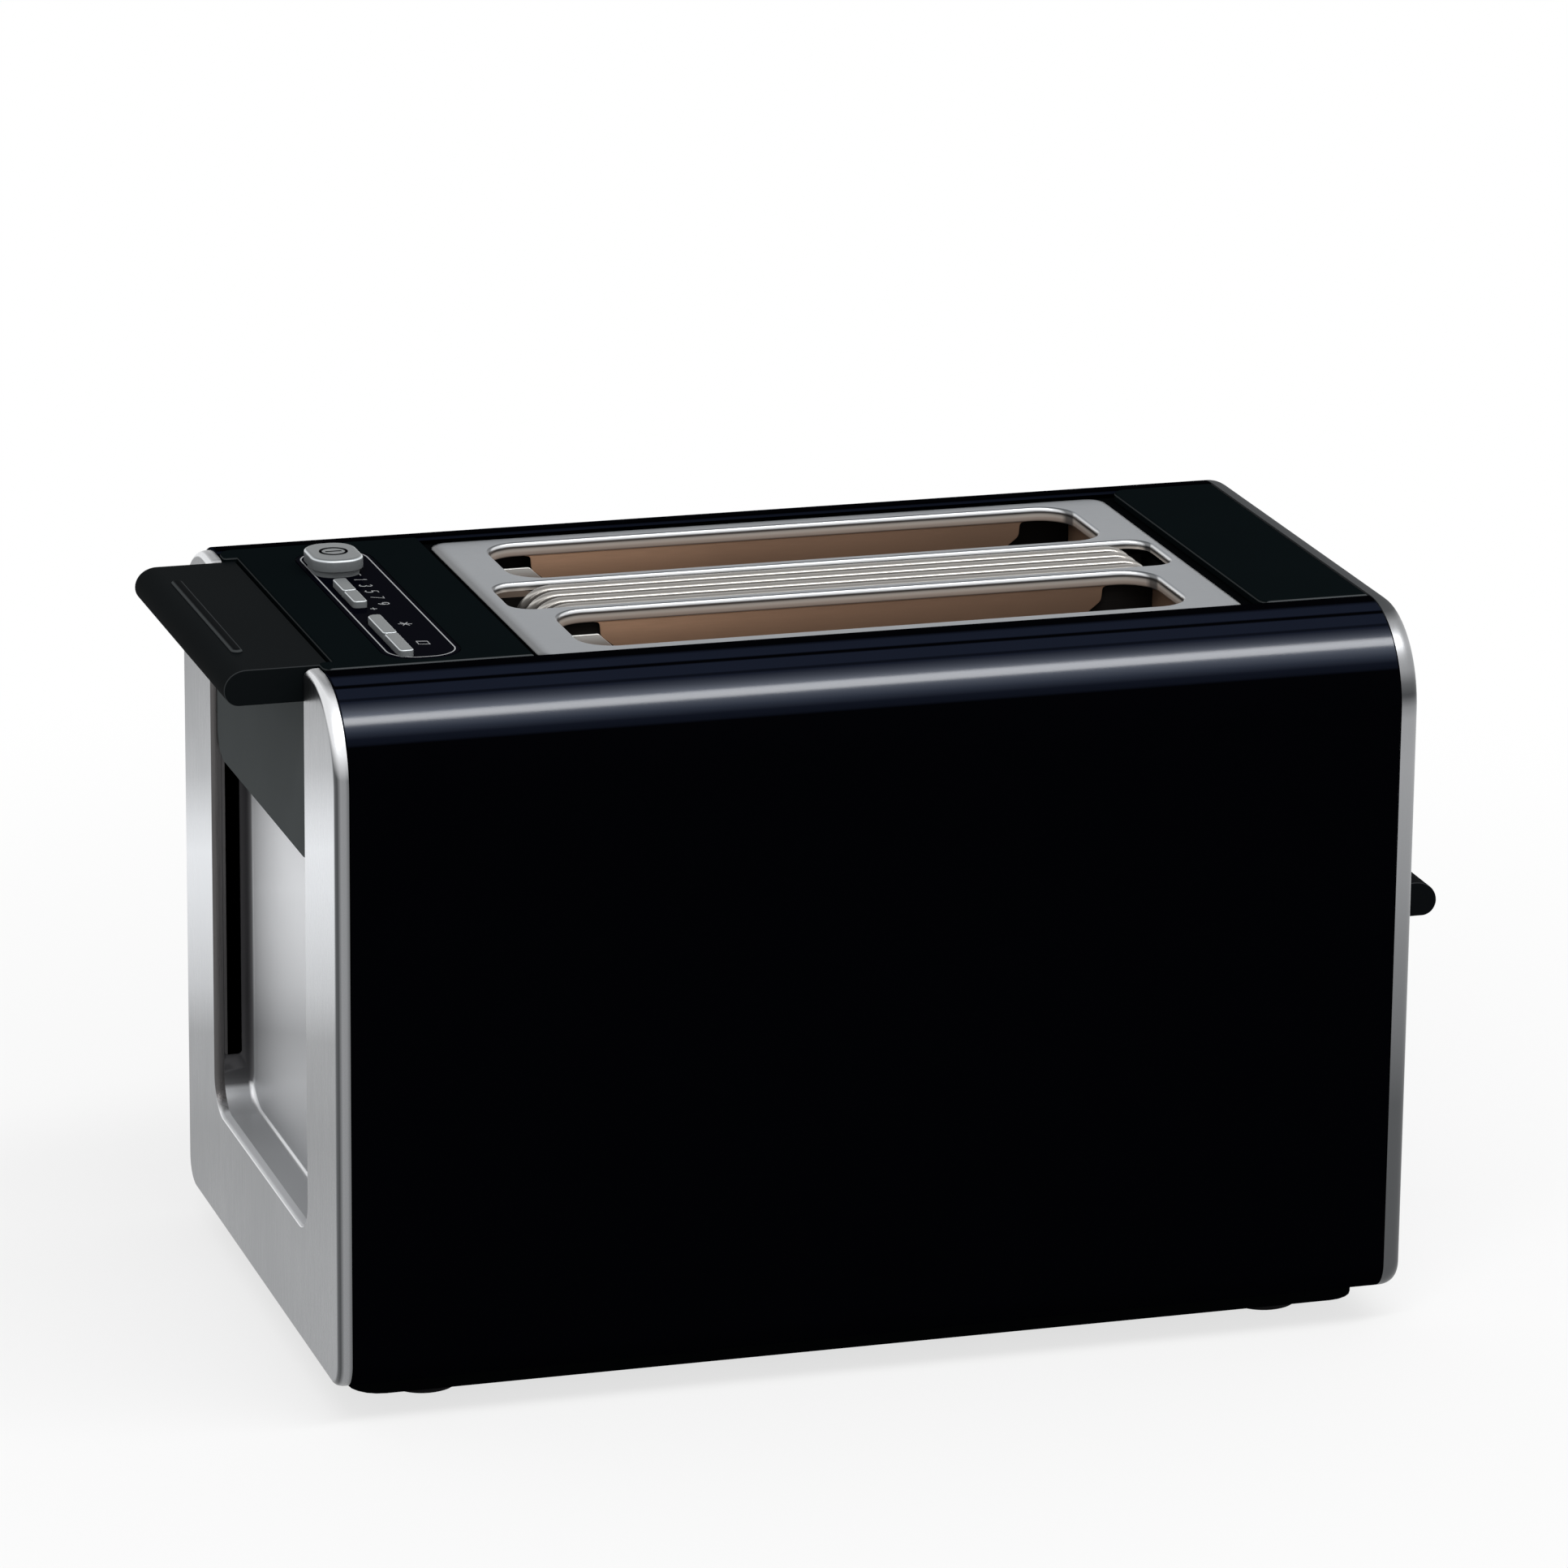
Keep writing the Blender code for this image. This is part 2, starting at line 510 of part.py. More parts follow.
def rounded_rectangle(low, high, radius, steps=ARC_STEPS):
    """Anticlockwise outline of a rectangle with round corners."""
    return (
        arc((high[0] - radius, low[1] + radius), radius, -90, 0, steps)
        + arc((high[0] - radius, high[1] - radius), radius, 0, 90, steps)
        + arc((low[0] + radius, high[1] - radius), radius, 90, 180, steps)
        + arc((low[0] + radius, low[1] + radius), radius, 180, 270, steps)
    )


def body_section():
    """Outline of the whole body across its length, in Y and Z."""
    half = BODY_HALF_DEPTH
    low_corner = (half - BOTTOM_RADIUS, BODY_BOTTOM + BOTTOM_RADIUS)
    high_corner = (half - TOP_RADIUS, DECK_TOP - TOP_RADIUS)
    right = arc(low_corner, BOTTOM_RADIUS, -90, 0) + arc(
        high_corner, TOP_RADIUS, 0, 90, WIDE_ARC_STEPS
    )
    return right + [(-y, z) for y, z in reversed(right)]


# Shape makers

def link(name, mesh, location=(0, 0, 0), rotation=None):
    made = bpy.data.objects.new(name, mesh)
    made.location = location
    if rotation is not None:
        made.rotation_euler = rotation.to_euler()
    PARTS.objects.link(made)
    return made


def box(name, low, high):
    """A block between two corners."""
    low, high = Vector(low), Vector(high)
    mesh = bpy.data.meshes.new(name)
    shape = bmesh.new()
    bmesh.ops.create_cube(shape, size=1)
    bmesh.ops.scale(shape, vec=high - low, verts=shape.verts)
    shape.to_mesh(mesh)
    shape.free()
    return link(name, mesh, (low + high) / 2)


def curve_mesh(name, curve, location=(0, 0, 0), rotation=None):
    """The mesh object of a filled curve, with its caps welded on."""
    drawn = link(name + "_drawing", curve, location, rotation)
    bpy.context.view_layer.update()
    evaluated = drawn.evaluated_get(bpy.context.evaluated_depsgraph_get())
    mesh = bpy.data.meshes.new_from_object(evaluated)
    mesh.name = name
    shape = bmesh.new()
    shape.from_mesh(mesh)
    bmesh.ops.remove_doubles(shape, verts=shape.verts, dist=WELD_DISTANCE)
    bmesh.ops.recalc_face_normals(shape, faces=shape.faces)
    if curve.dimensions == "2D":
        bmesh.ops.dissolve_limit(
            shape, angle_limit=FLAT_ANGLE, verts=shape.verts, edges=shape.edges
        )
    shape.to_mesh(mesh)
    shape.free()
    made = link(name, mesh)
    made.matrix_world = drawn.matrix_world.copy()
    bpy.data.objects.remove(drawn, do_unlink=True)
    return made


def add_poly(curve, points, closed):
    spline = curve.splines.new("POLY")
    spline.points.add(len(points) - 1)
    for place, point in zip(spline.points, points):
        place.co = (*point, 1) if len(point) == 3 else (*point, 0, 1)
    spline.use_cyclic_u = closed


def prism(name, outline, low, high, axis="Z", holes=()):
    """A flat outline, with holes, given a thickness from low to high along an axis."""
    curve = bpy.data.curves.new(name, "CURVE")
    curve.dimensions = "2D"
    curve.fill_mode = "BOTH"
    curve.extrude = (high - low) / 2
    for loop in (outline, *holes):
        add_poly(curve, loop, True)
    frame = AXIS_FRAMES[axis]
    middle = (low + high) / 2
    if axis == "Y":
        middle = -middle
    return curve_mesh(name, curve, frame @ Vector((0, 0, middle)), frame)


def tube(name, points, radius, resolution=2):
    """A round wire along a list of points."""
    curve = bpy.data.curves.new(name, "CURVE")
    curve.dimensions = "3D"
    curve.bevel_depth = radius
    curve.bevel_resolution = resolution
    curve.use_fill_caps = True
    add_poly(curve, points, False)
    made = curve_mesh(name, curve)
    made.data.shade_smooth()
    made.data.set_sharp_from_angle(angle=WIRE_SMOOTH_ANGLE)
    return made


def turned(name, profile, location, axis="Z", steps=TURN_STEPS):
    """A profile of radius and height, outer side downwards, turned about an axis."""
    mesh = bpy.data.meshes.new(name)
    count = len(profile)
    closed = profile[0][0] > 0
    last = count if closed else count - 1
    edges = [(i, (i + 1) % count) for i in range(last)]
    mesh.from_pydata([(radius, 0, height) for radius, height in profile], edges, [])
    made = link(name, mesh, location, AXIS_FRAMES[axis])
    screw = made.modifiers.new("Turn", "SCREW")
    screw.axis = "Z"
    screw.steps = steps
    screw.render_steps = steps
    screw.use_merge_vertices = True
    screw.merge_threshold = WELD_DISTANCE
    screw.use_smooth_shade = True
    return made


def combine(target, other, operation):
    other.hide_render = True
    other.display_type = "WIRE"
    for home in list(other.users_collection):
        home.objects.unlink(other)
    CUTTERS.objects.link(other)
    change = target.modifiers.new(other.name, "BOOLEAN")
    change.operation = operation
    change.solver = "EXACT"
    change.object = other
    return target


def cut(target, *cutters):
    for cutter in cutters:
        combine(target, cutter, "DIFFERENCE")
    return target


def fuse(target, *others):
    for other in others:
        combine(target, other, "UNION")
    return target


def soften(made, width, segments, *tests):
    """Round the edges whose two ends, in the object's own coordinates, pass one of the tests."""
    mesh = made.data
    weights = mesh.attributes.new("bevel_weight_edge", "FLOAT", "EDGE")
    for edge in mesh.edges:
        ends = [mesh.vertices[index].co for index in edge.vertices]
        if any(all(test(end) for end in ends) for test in tests):
            weights.data[edge.index].value = 1
    rounding = made.modifiers.new("Rounding", "BEVEL")
    rounding.limit_method = "WEIGHT"
    rounding.width = width
    rounding.segments = segments
    return made


def finish(made, look, parent=None):
    """Give a piece its own material and hang it on its joint's empty."""
    colour, metallic, roughness = look
    material = bpy.data.materials.new(made.name)
    material.use_nodes = True
    surface = material.node_tree.nodes["Principled BSDF"]
    surface.inputs["Base Color"].default_value = (*colour, 1)
    surface.inputs["Metallic"].default_value = metallic
    surface.inputs["Roughness"].default_value = roughness
    material.diffuse_color = (*colour, 1)
    made.data.materials.append(material)
    if parent is not None:
        bpy.context.view_layer.update()
        made.parent = parent
        made.matrix_parent_inverse = parent.matrix_world.inverted()
    return made


def joint_empty(name, location):
    made = bpy.data.objects.new(name, None)
    made.location = location
    PARTS.objects.link(made)
    return made


# Housing

def make_base_plate():
    low_x, high_x = SHELL_LOW_X, SHELL_HIGH_X
    plate = box(
        "base_plate",
        (low_x, -BASE_HALF_DEPTH, BASE_STEP),
        (high_x, BASE_HALF_DEPTH, BASE_TOP),
    )
    plinth_end = BODY_HALF_LENGTH - PLINTH_INSET
    plinth = prism(
        "base_plinth",
        rounded_rectangle(
            (-plinth_end, -PLINTH_HALF_DEPTH), (plinth_end, PLINTH_HALF_DEPTH), PLINTH_CORNER
        ),
        FOOT_HEIGHT,
        BASE_STEP + OVERRUN,
    )
    fuse(plate, plinth)
    for label, x, y in screw_places():
        head_room = SCREW_HEAD_HEIGHT + SCREW_SINK + SEAT_GAP
        radius = SCREW_HEAD_RADIUS + SCREW_CLEARANCE
        pocket = turned(
            f"{label}_pocket",
            [(0, head_room), (radius, head_room), (radius, -OVERRUN), (0, -OVERRUN)],
            (x, y, FOOT_HEIGHT),
        )
        radius = SCREW_SHANK_RADIUS + SCREW_CLEARANCE
        reach = BASE_TOP - FOOT_HEIGHT + OVERRUN
        hole = turned(
            f"{label}_hole",
            [(0, reach), (radius, reach), (radius, 0), (0, 0)],
            (x, y, FOOT_HEIGHT),
        )
        cut(plate, pocket, hole)
    return finish(plate, SATIN_BLACK)


def side_places():
    """The four corners as name, X sign and Y sign."""
    return [
        (f"{depth}_{side}", x_sign, y_sign)
        for depth, y_sign in (("front", -1), ("rear", 1))
        for side, x_sign in (("left", -1), ("right", 1))
    ]


def screw_places():
    x = BODY_HALF_LENGTH - SCREW_FROM_END
    return [
        (f"base_screw_{label}", x_sign * x, y_sign * SCREW_HALF_DEPTH)
        for label, x_sign, y_sign in side_places()
    ]


def make_base_screws():
    bottom = FOOT_HEIGHT + SCREW_SINK
    top = BASE_SEAT + CAP_FLANGE_THICKNESS - bottom
    for label, x, y in screw_places():
        screw = turned(
            label,
            [
                (0, top),
                (SCREW_SHANK_RADIUS, top),
                (SCREW_SHANK_RADIUS, SCREW_HEAD_HEIGHT),
                (SCREW_HEAD_RADIUS, SCREW_HEAD_HEIGHT),
                (SCREW_HEAD_RADIUS, 0),
                (0, 0),
            ],
            (x, y, bottom),
        )
        finish(screw, POLISHED_STEEL)


def make_feet():
    top = FOOT_HEIGHT - SEAT_GAP
    for label, x_sign, y_sign in side_places():
        foot = turned(
            f"foot_{label}",
            [
                (0, top),
                (FOOT_RADIUS, top),
                (FOOT_RADIUS, FOOT_CHAMFER),
                (FOOT_RADIUS - FOOT_CHAMFER, 0),
                (0, 0),
            ],
            (
                x_sign * (BODY_HALF_LENGTH - FOOT_FROM_END),
                y_sign * (BODY_HALF_DEPTH - FOOT_FROM_SIDE),
                0,
            ),
        )
        finish(foot, RUBBER)


def make_shell(name, y_sign):
    half = BODY_HALF_DEPTH
    top_centre = (half - TOP_RADIUS, DECK_TOP - TOP_RADIUS)
    low_centre = (half - BOTTOM_RADIUS, BODY_BOTTOM + BOTTOM_RADIUS)
    section = arc(top_centre, TOP_RADIUS, 90, 0, WIDE_ARC_STEPS)
    section += arc(low_centre, BOTTOM_RADIUS, 0, -90)
    section.append((low_centre[0] - SHELL_FOLD, BODY_BOTTOM))
    shape = bmesh.new()
    row = [shape.verts.new((SHELL_LOW_X, y_sign * y, z)) for y, z in section]
    edges = [shape.edges.new(pair) for pair in zip(row, row[1:])]
    pulled = bmesh.ops.extrude_edge_only(shape, edges=edges)["geom"]
    far = [item for item in pulled if isinstance(item, bmesh.types.BMVert)]
    bmesh.ops.translate(shape, verts=far, vec=(SHELL_HIGH_X - SHELL_LOW_X, 0, 0))
    tall = max(shape.faces, key=lambda face: face.calc_area())
    tall.normal_update()
    if tall.normal.y * y_sign < 0:
        bmesh.ops.reverse_faces(shape, faces=shape.faces)
    mesh = bpy.data.meshes.new(name)
    shape.to_mesh(mesh)
    shape.free()
    shell = link(name, mesh)
    wall = shell.modifiers.new("Wall", "SOLIDIFY")
    wall.thickness = SHELL_WALL
    wall.offset = -1
    wall.use_even_offset = True
    mesh.shade_smooth()
    mesh.set_sharp_from_angle(angle=SHELL_SMOOTH_ANGLE)
    return finish(shell, GLOSS_BLACK)


def cap_flanges(label, x_sign, back):
    """Two feet of a cap over the base plate, each with its screw hole."""
    made = []
    for depth, y_sign in (("front", -1), ("rear", 1)):
        xs = sorted((back + x_sign * OVERRUN, back - x_sign * CAP_FLANGE_LENGTH))
        ys = sorted((y_sign * CAP_FLANGE_INNER, y_sign * CAP_FLANGE_OUTER))
        made.append(
            box(
                f"{label}_{depth}_flange",
                (xs[0], ys[0], BASE_SEAT),
                (xs[1], ys[1], BASE_SEAT + CAP_FLANGE_THICKNESS),
            )
        )
    return made


def flange_holes(label, x_sign):
    radius = SCREW_SHANK_RADIUS + SCREW_CLEARANCE
    reach = CAP_FLANGE_THICKNESS + OVERRUN
    return [
        turned(
            f"{label}_{depth}_flange_hole",
            [(0, reach), (radius, reach), (radius, -OVERRUN), (0, -OVERRUN)],
            (x_sign * (BODY_HALF_LENGTH - SCREW_FROM_END), y_sign * SCREW_HALF_DEPTH, BASE_SEAT),
        )
        for depth, y_sign in (("front", -1), ("rear", 1))
    ]


def make_left_end_cap():
    outer = -BODY_HALF_LENGTH
    cap = prism("left_end_cap", body_section(), outer, LEFT_CAP_BACK, "X")
    edge = -LEFT_RIM / 2
    soften(cap, LEFT_RIM_EDGE, 3, lambda end: end.z < edge + WELD_DISTANCE)
    pan_half = RECESS_HALF_WIDTH + CAP_WALL
    pan = prism(
        "left_recess_pan",
        rounded_rectangle(
            (-pan_half, LEFT_RECESS_BOTTOM - CAP_WALL),
            (pan_half, BULKHEAD_TOP),
            RECESS_CORNER + CAP_WALL,
        ),
        LEFT_CAP_BACK - OVERRUN,
        LEFT_FLOOR_X + CAP_WALL,
        "X",
    )
    hollow = prism(
        "left_recess_hollow",
        rounded_rectangle(
            (-RECESS_HALF_WIDTH, LEFT_RECESS_BOTTOM),
            (RECESS_HALF_WIDTH, DECK_TOP + 2 * RECESS_CORNER),
            RECESS_CORNER,
        ),
        outer - OVERRUN,
        LEFT_FLOOR_X,
        "X",
    )
    strip_tops = box(
        "left_strip_tops",
        (outer - OVERRUN, -DECK_HALF_DEPTH, DECK_TOP - STRIP_DROP),
        (LEFT_CAP_BACK + OVERRUN, DECK_HALF_DEPTH, DECK_TOP + OVERRUN),
    )
    lever_slots = box(
        "left_lever_slots",
        (LEVER_SLOT_LOW_X, -pan_half - OVERRUN, LEVER_SLOT_BOTTOM),
        (LEVER_SLOT_HIGH_X, pan_half + OVERRUN, DECK_TOP - LEVER_SLOT_TOP_DROP),
    )
    fuse(cap, pan, *cap_flanges("left_cap", -1, LEFT_CAP_BACK))
    cut(cap, hollow, strip_tops, lever_slots, *flange_holes("left_cap", -1))
    return finish(cap, BRUSHED_STEEL)


def make_right_end_cap():
    outer = BODY_HALF_LENGTH
    cap = prism("right_end_cap", body_section(), RIGHT_CAP_BACK, outer, "X")
    edge = RIGHT_RIM / 2
    soften(cap, RIGHT_RIM_EDGE, 5, lambda end: end.z > edge - WELD_DISTANCE)
    pan_half = RECESS_HALF_WIDTH + CAP_WALL
    pan = prism(
        "right_recess_pan",
        rounded_rectangle(
            (-pan_half, RIGHT_RECESS_BOTTOM - CAP_WALL),
            (pan_half, RIGHT_RECESS_TOP + CAP_WALL),
            RECESS_CORNER + CAP_WALL,
        ),
        RIGHT_FLOOR_X - CAP_WALL,
        RIGHT_CAP_BACK + OVERRUN,
        "X",
    )
    hollow = prism(
        "right_recess_hollow",
        rounded_rectangle(
            (-RECESS_HALF_WIDTH, RIGHT_RECESS_BOTTOM),
            (RECESS_HALF_WIDTH, RIGHT_RECESS_TOP),
            RECESS_CORNER,
        ),
        RIGHT_FLOOR_X,
        outer + OVERRUN,
        "X",
    )
    lever_slots = box(
        "right_lever_slots",
        (RIGHT_FLOOR_X + BUN_SLOT_FLOOR_GAP, -pan_half - OVERRUN, BUN_PLATE_LOW - LOW_SEAT),
        (RIGHT_CAP_BACK - SEAT_GAP / 2, pan_half + OVERRUN, BUN_PLATE_HIGH + BUN_TRAVEL + LOW_SEAT),
    )
    tray_door = box(
        "right_tray_door",
        (RIGHT_CAP_BACK - OVERRUN, -TRAY_HALF_DEPTH - TRAY_FRONT_CLEARANCE, BASE_TOP),
        (
            outer + OVERRUN,
            TRAY_HALF_DEPTH + TRAY_FRONT_CLEARANCE,
            TRAY_FRONT_TOP + TRAY_FRONT_CLEARANCE,
        ),
    )
    gland_radius = GLAND_BODY_RADIUS + SEAT_GAP
    gland_hole = turned(
        "right_gland_hole",
        [
            (0, RIGHT_RIM + OVERRUN),
            (gland_radius, RIGHT_RIM + OVERRUN),
            (gland_radius, -OVERRUN),
            (0, -OVERRUN),
        ],
        (RIGHT_CAP_BACK, GLAND_Y, GLAND_Z),
        "X",
    )
    fuse(cap, pan, *cap_flanges("right_cap", 1, RIGHT_CAP_BACK))
    cut(cap, hollow, lever_slots, tray_door, gland_hole, *flange_holes("right_cap", 1))
    return finish(cap, BRUSHED_STEEL)


def deck_outline(half_depth, lever_x, low_x, high_x, tab_inner, corner):
    """Deck plan with a notch for the main lever at its low X end."""
    tab = DECK_TAB_CORNER
    front = (
        arc((high_x - corner, -half_depth + corner), corner, 0, -90)
        + [(low_x, -half_depth), (low_x, -tab_inner - tab)]
        + arc((low_x + tab, -tab_inner - tab), tab, 180, 90)
        + [(lever_x, -tab_inner)]
    )
    return front + [(x, -y) for x, y in reversed(front)]


def make_top_frame():
    frame = prism(
        "top_frame",
        deck_outline(
            FRAME_HALF_DEPTH,
            DECK_LEVER_X,
            SHELL_LOW_X,
            SHELL_HIGH_X,
            RECESS_HALF_WIDTH + CAP_WALL + SEAT_GAP,
            DECK_TAB_CORNER,
        ),
        FRAME_BOTTOM,
        FRAME_TOP,
        holes=[
            rounded_rectangle(
                (FRAME_WINDOW_LOW, -FRAME_WINDOW_HALF_DEPTH),
                (FRAME_WINDOW_HIGH, FRAME_WINDOW_HALF_DEPTH),
                DECK_TAB_CORNER,
            ),
            rounded_rectangle(
                (CHAMBER_WINDOW_LOW, -PLATE_HALF_DEPTH + PLATE_LEDGE),
                (CHAMBER_WINDOW_HIGH, PLATE_HALF_DEPTH - PLATE_LEDGE),
                DECK_TAB_CORNER,
            ),
        ],
    )
    return finish(frame, SATIN_BLACK)


def make_control_deck():
    panel_hole = rounded_rectangle(
        (PANEL_LOW_X - SEAT_GAP, PANEL_LOW_Y - SEAT_GAP),
        (PANEL_HIGH_X + SEAT_GAP, PANEL_HIGH_Y + SEAT_GAP),
        PANEL_CORNER + SEAT_GAP,
    )
    deck = prism(
        "control_deck",
        deck_outline(
            DECK_EDGE_Y, DECK_LEVER_X, SHELL_LOW_X, CONTROL_DECK_END, RECESS_HALF_WIDTH, DECK_CORNER
        ),
        DECK_UNDERSIDE,
        DECK_TOP,
    )
    cut(deck, prism("panel_hole", panel_hole, DECK_UNDERSIDE - OVERRUN, DECK_TOP + OVERRUN))
    for x_label, low_x in (
        ("lever_side", BOARD_LOW_X),
        ("slot_side", BOARD_HIGH_X - POST_WIDTH),
    ):
        for y_label, y_sign in (("front", -1), ("rear", 1)):
            y = y_sign * (BOARD_HALF_DEPTH - POST_DEPTH)
            post = box(
                f"board_post_{x_label}_{y_label}",
                (low_x, y - POST_DEPTH / 2, BOARD_TOP + SEAT_GAP),
                (low_x + POST_WIDTH, y + POST_DEPTH / 2, DECK_UNDERSIDE + DECK_THICKNESS / 2),
            )
            fuse(deck, post)
    return finish(deck, SATIN_BLACK)


def make_right_deck():
    deck = prism(
        "right_deck",
        rounded_rectangle(
            (RIGHT_DECK_START, -DECK_EDGE_Y), (SHELL_HIGH_X, DECK_EDGE_Y), RIGHT_DECK_CORNER
        ),
        DECK_UNDERSIDE,
        DECK_TOP,
    )
    return finish(deck, SATIN_BLACK)


def bread_slot(y_sign, grow=0):
    ys = sorted((y_sign * (BREAD_SLOT_INNER - grow), y_sign * (BREAD_SLOT_OUTER + grow)))
    return rounded_rectangle(
        (BREAD_SLOT_LOW_X - grow, ys[0]),
        (BREAD_SLOT_HIGH_X + grow, ys[1]),
        BREAD_SLOT_CORNER + grow,
    )


def middle_slot(grow=0):
    half = MIDDLE_SLOT_HALF_WIDTH + grow
    return rounded_rectangle(
        (MIDDLE_SLOT_LOW_X - grow, -half), (MIDDLE_SLOT_HIGH_X + grow, half),
        MIDDLE_SLOT_CORNER + grow,
    )


def make_slot_plate():
    openings = {
        "front": (bread_slot(-1), bread_slot(-1, LIP_WALL)),
        "rear": (bread_slot(1), bread_slot(1, LIP_WALL)),
        "middle": (middle_slot(), middle_slot(LIP_WALL)),
    }
    plate = prism(
        "slot_plate",
        rounded_rectangle(
            (PLATE_LOW_X, -PLATE_HALF_DEPTH), (PLATE_HIGH_X, PLATE_HALF_DEPTH), PLATE_CORNER
        ),
        PLATE_BOTTOM,
        PLATE_TOP,
    )
    top = (PLATE_TOP - PLATE_BOTTOM) / 2
    soften(plate, PLATE_EDGE, 2, lambda end: end.z > top - WELD_DISTANCE)
    overlap = (PLATE_TOP - PLATE_BOTTOM) / 2
    for label, (_, grown) in openings.items():
        fuse(plate, prism(f"{label}_lip", grown, LIP_BOTTOM, PLATE_BOTTOM + overlap))
    for label, (inner, _) in openings.items():
        cut(
            plate,
            prism(f"{label}_opening", inner, LIP_BOTTOM - OVERRUN, PLATE_TOP + OVERRUN),
        )
    left = BREAD_SLOT_LOW_X + TONGUE_FROM_LEFT
    right = BREAD_SLOT_HIGH_X - TONGUE_FROM_RIGHT
    tongue = [
        (left, LIP_BOTTOM + LIP_DEPTH / 2),
        (left, LIP_BOTTOM),
        (left + TONGUE_DEPTH, LIP_BOTTOM - TONGUE_DEPTH),
        (right - TONGUE_DEPTH, LIP_BOTTOM - TONGUE_DEPTH),
        (right, LIP_BOTTOM),
        (right, LIP_BOTTOM + LIP_DEPTH / 2),
    ]
    for label, y_sign in (("front", -1), ("rear", 1)):
        for side, near, far in (
            ("inner", BREAD_SLOT_INNER - LIP_WALL, BREAD_SLOT_INNER),
            ("outer", BREAD_SLOT_OUTER, BREAD_SLOT_OUTER + LIP_WALL),
        ):
            low, high = sorted((y_sign * near, y_sign * far))
            fuse(plate, prism(f"{label}_{side}_tongue", tongue, low, high, "Y"))
    return finish(plate, SATIN_STEEL)


# Controls

def key_outline(name, grow=0):
    low, high = KEY_SPANS[name]
    half = KEY_WIDTH / 2 + grow
    lower = any(name == pair[0] for pair in KEY_PAIRS)
    round_end = KEY_END + grow
    low += -grow if lower else SEAT_GAP / 2
    high += grow if not lower else -SEAT_GAP / 2
    if lower:
        return [(KEY_X + half, high), (KEY_X - half, high)] + arc(
            (KEY_X - half + round_end, low + round_end), round_end, 180, 270
        ) + arc((KEY_X + half - round_end, low + round_end), round_end, 270, 360)
    return [(KEY_X - half, low), (KEY_X + half, low)] + arc(
        (KEY_X + half - round_end, high - round_end), round_end, 0, 90
    ) + arc((KEY_X - half + round_end, high - round_end), round_end, 90, 180)


def button_outline(inset=0):
    half_x = BUTTON_WIDTH / 2 - inset
    half_y = BUTTON_DEPTH / 2 - inset
    return rounded_rectangle(
        (BUTTON_X - half_x, BUTTON_Y - half_y),
        (BUTTON_X + half_x, BUTTON_Y + half_y),
        BUTTON_CORNER - inset,
    )


def make_control_panel():
    panel = prism(
        "control_panel",
        rounded_rectangle(
            (PANEL_LOW_X, PANEL_LOW_Y), (PANEL_HIGH_X, PANEL_HIGH_Y), PANEL_CORNER
        ),
        PANEL_UNDERSIDE + PANEL_FLANGE_THICKNESS / 2,
        DECK_TOP,
    )
    flange = prism(
        "panel_flange",
        rounded_rectangle(
            (PANEL_LOW_X - PANEL_FLANGE, PANEL_LOW_Y - PANEL_FLANGE),
            (PANEL_HIGH_X + PANEL_FLANGE, PANEL_HIGH_Y + PANEL_FLANGE),
            PANEL_CORNER + PANEL_FLANGE,
        ),
        PANEL_UNDERSIDE,
        FRAME_TOP,
    )
    fuse(panel, flange)
    low, high = PANEL_UNDERSIDE - OVERRUN, DECK_TOP + OVERRUN
    cut(panel, prism("button_hole", button_outline(BUTTON_COLLAR_INSET - SEAT_GAP), low, high))
    half = KEY_WIDTH / 2 + SEAT_GAP
    for lower, upper in KEY_PAIRS:
        hole = rounded_rectangle(
            (KEY_X - half, KEY_SPANS[lower][0] - SEAT_GAP),
            (KEY_X + half, KEY_SPANS[upper][1] + SEAT_GAP),
            KEY_END + SEAT_GAP,
        )
        cut(panel, prism(f"{lower}_{upper}_hole", hole, low, high))
    return finish(panel, GLOSS_BLACK)


def make_power_button():
    pivot = joint_empty("power_button_joint", (BUTTON_X, BUTTON_Y, DECK_TOP))
    top = DECK_TOP + BUTTON_HEIGHT
    cap_bottom = top - BUTTON_CAP_HEIGHT
    button = prism("power_button", button_outline(), cap_bottom, top)
    edge = BUTTON_CAP_HEIGHT / 2
    soften(button, BUTTON_CAP_EDGE, 2, lambda end: end.z > edge - WELD_DISTANCE)
    collar = prism(
        "power_button_collar",
        button_outline(BUTTON_COLLAR_INSET),
        PRESS_FLANGE_TOP - OVERRUN / 2,
        cap_bottom + OVERRUN,
    )
    flange = prism(
        "power_button_flange",
        button_outline(BUTTON_COLLAR_INSET - PRESS_FLANGE),
        PRESS_FLANGE_TOP - PRESS_FLANGE_THICKNESS,
        PRESS_FLANGE_TOP,
    )
    stem = box(
        "power_button_stem",
        (BUTTON_X - SWITCH_HALF_WIDTH, BUTTON_Y - SWITCH_HALF_WIDTH, STEM_BOTTOM),
        (
            BUTTON_X + SWITCH_HALF_WIDTH,
            BUTTON_Y + SWITCH_HALF_WIDTH,
            PRESS_FLANGE_TOP - PRESS_FLANGE_THICKNESS / 2,
        ),
    )
    fuse(button, collar, flange, stem)
    return finish(button, SILVER_PLASTIC, pivot)


def key_middle(name):
    low, high = KEY_SPANS[name]
    return (low + high) / 2


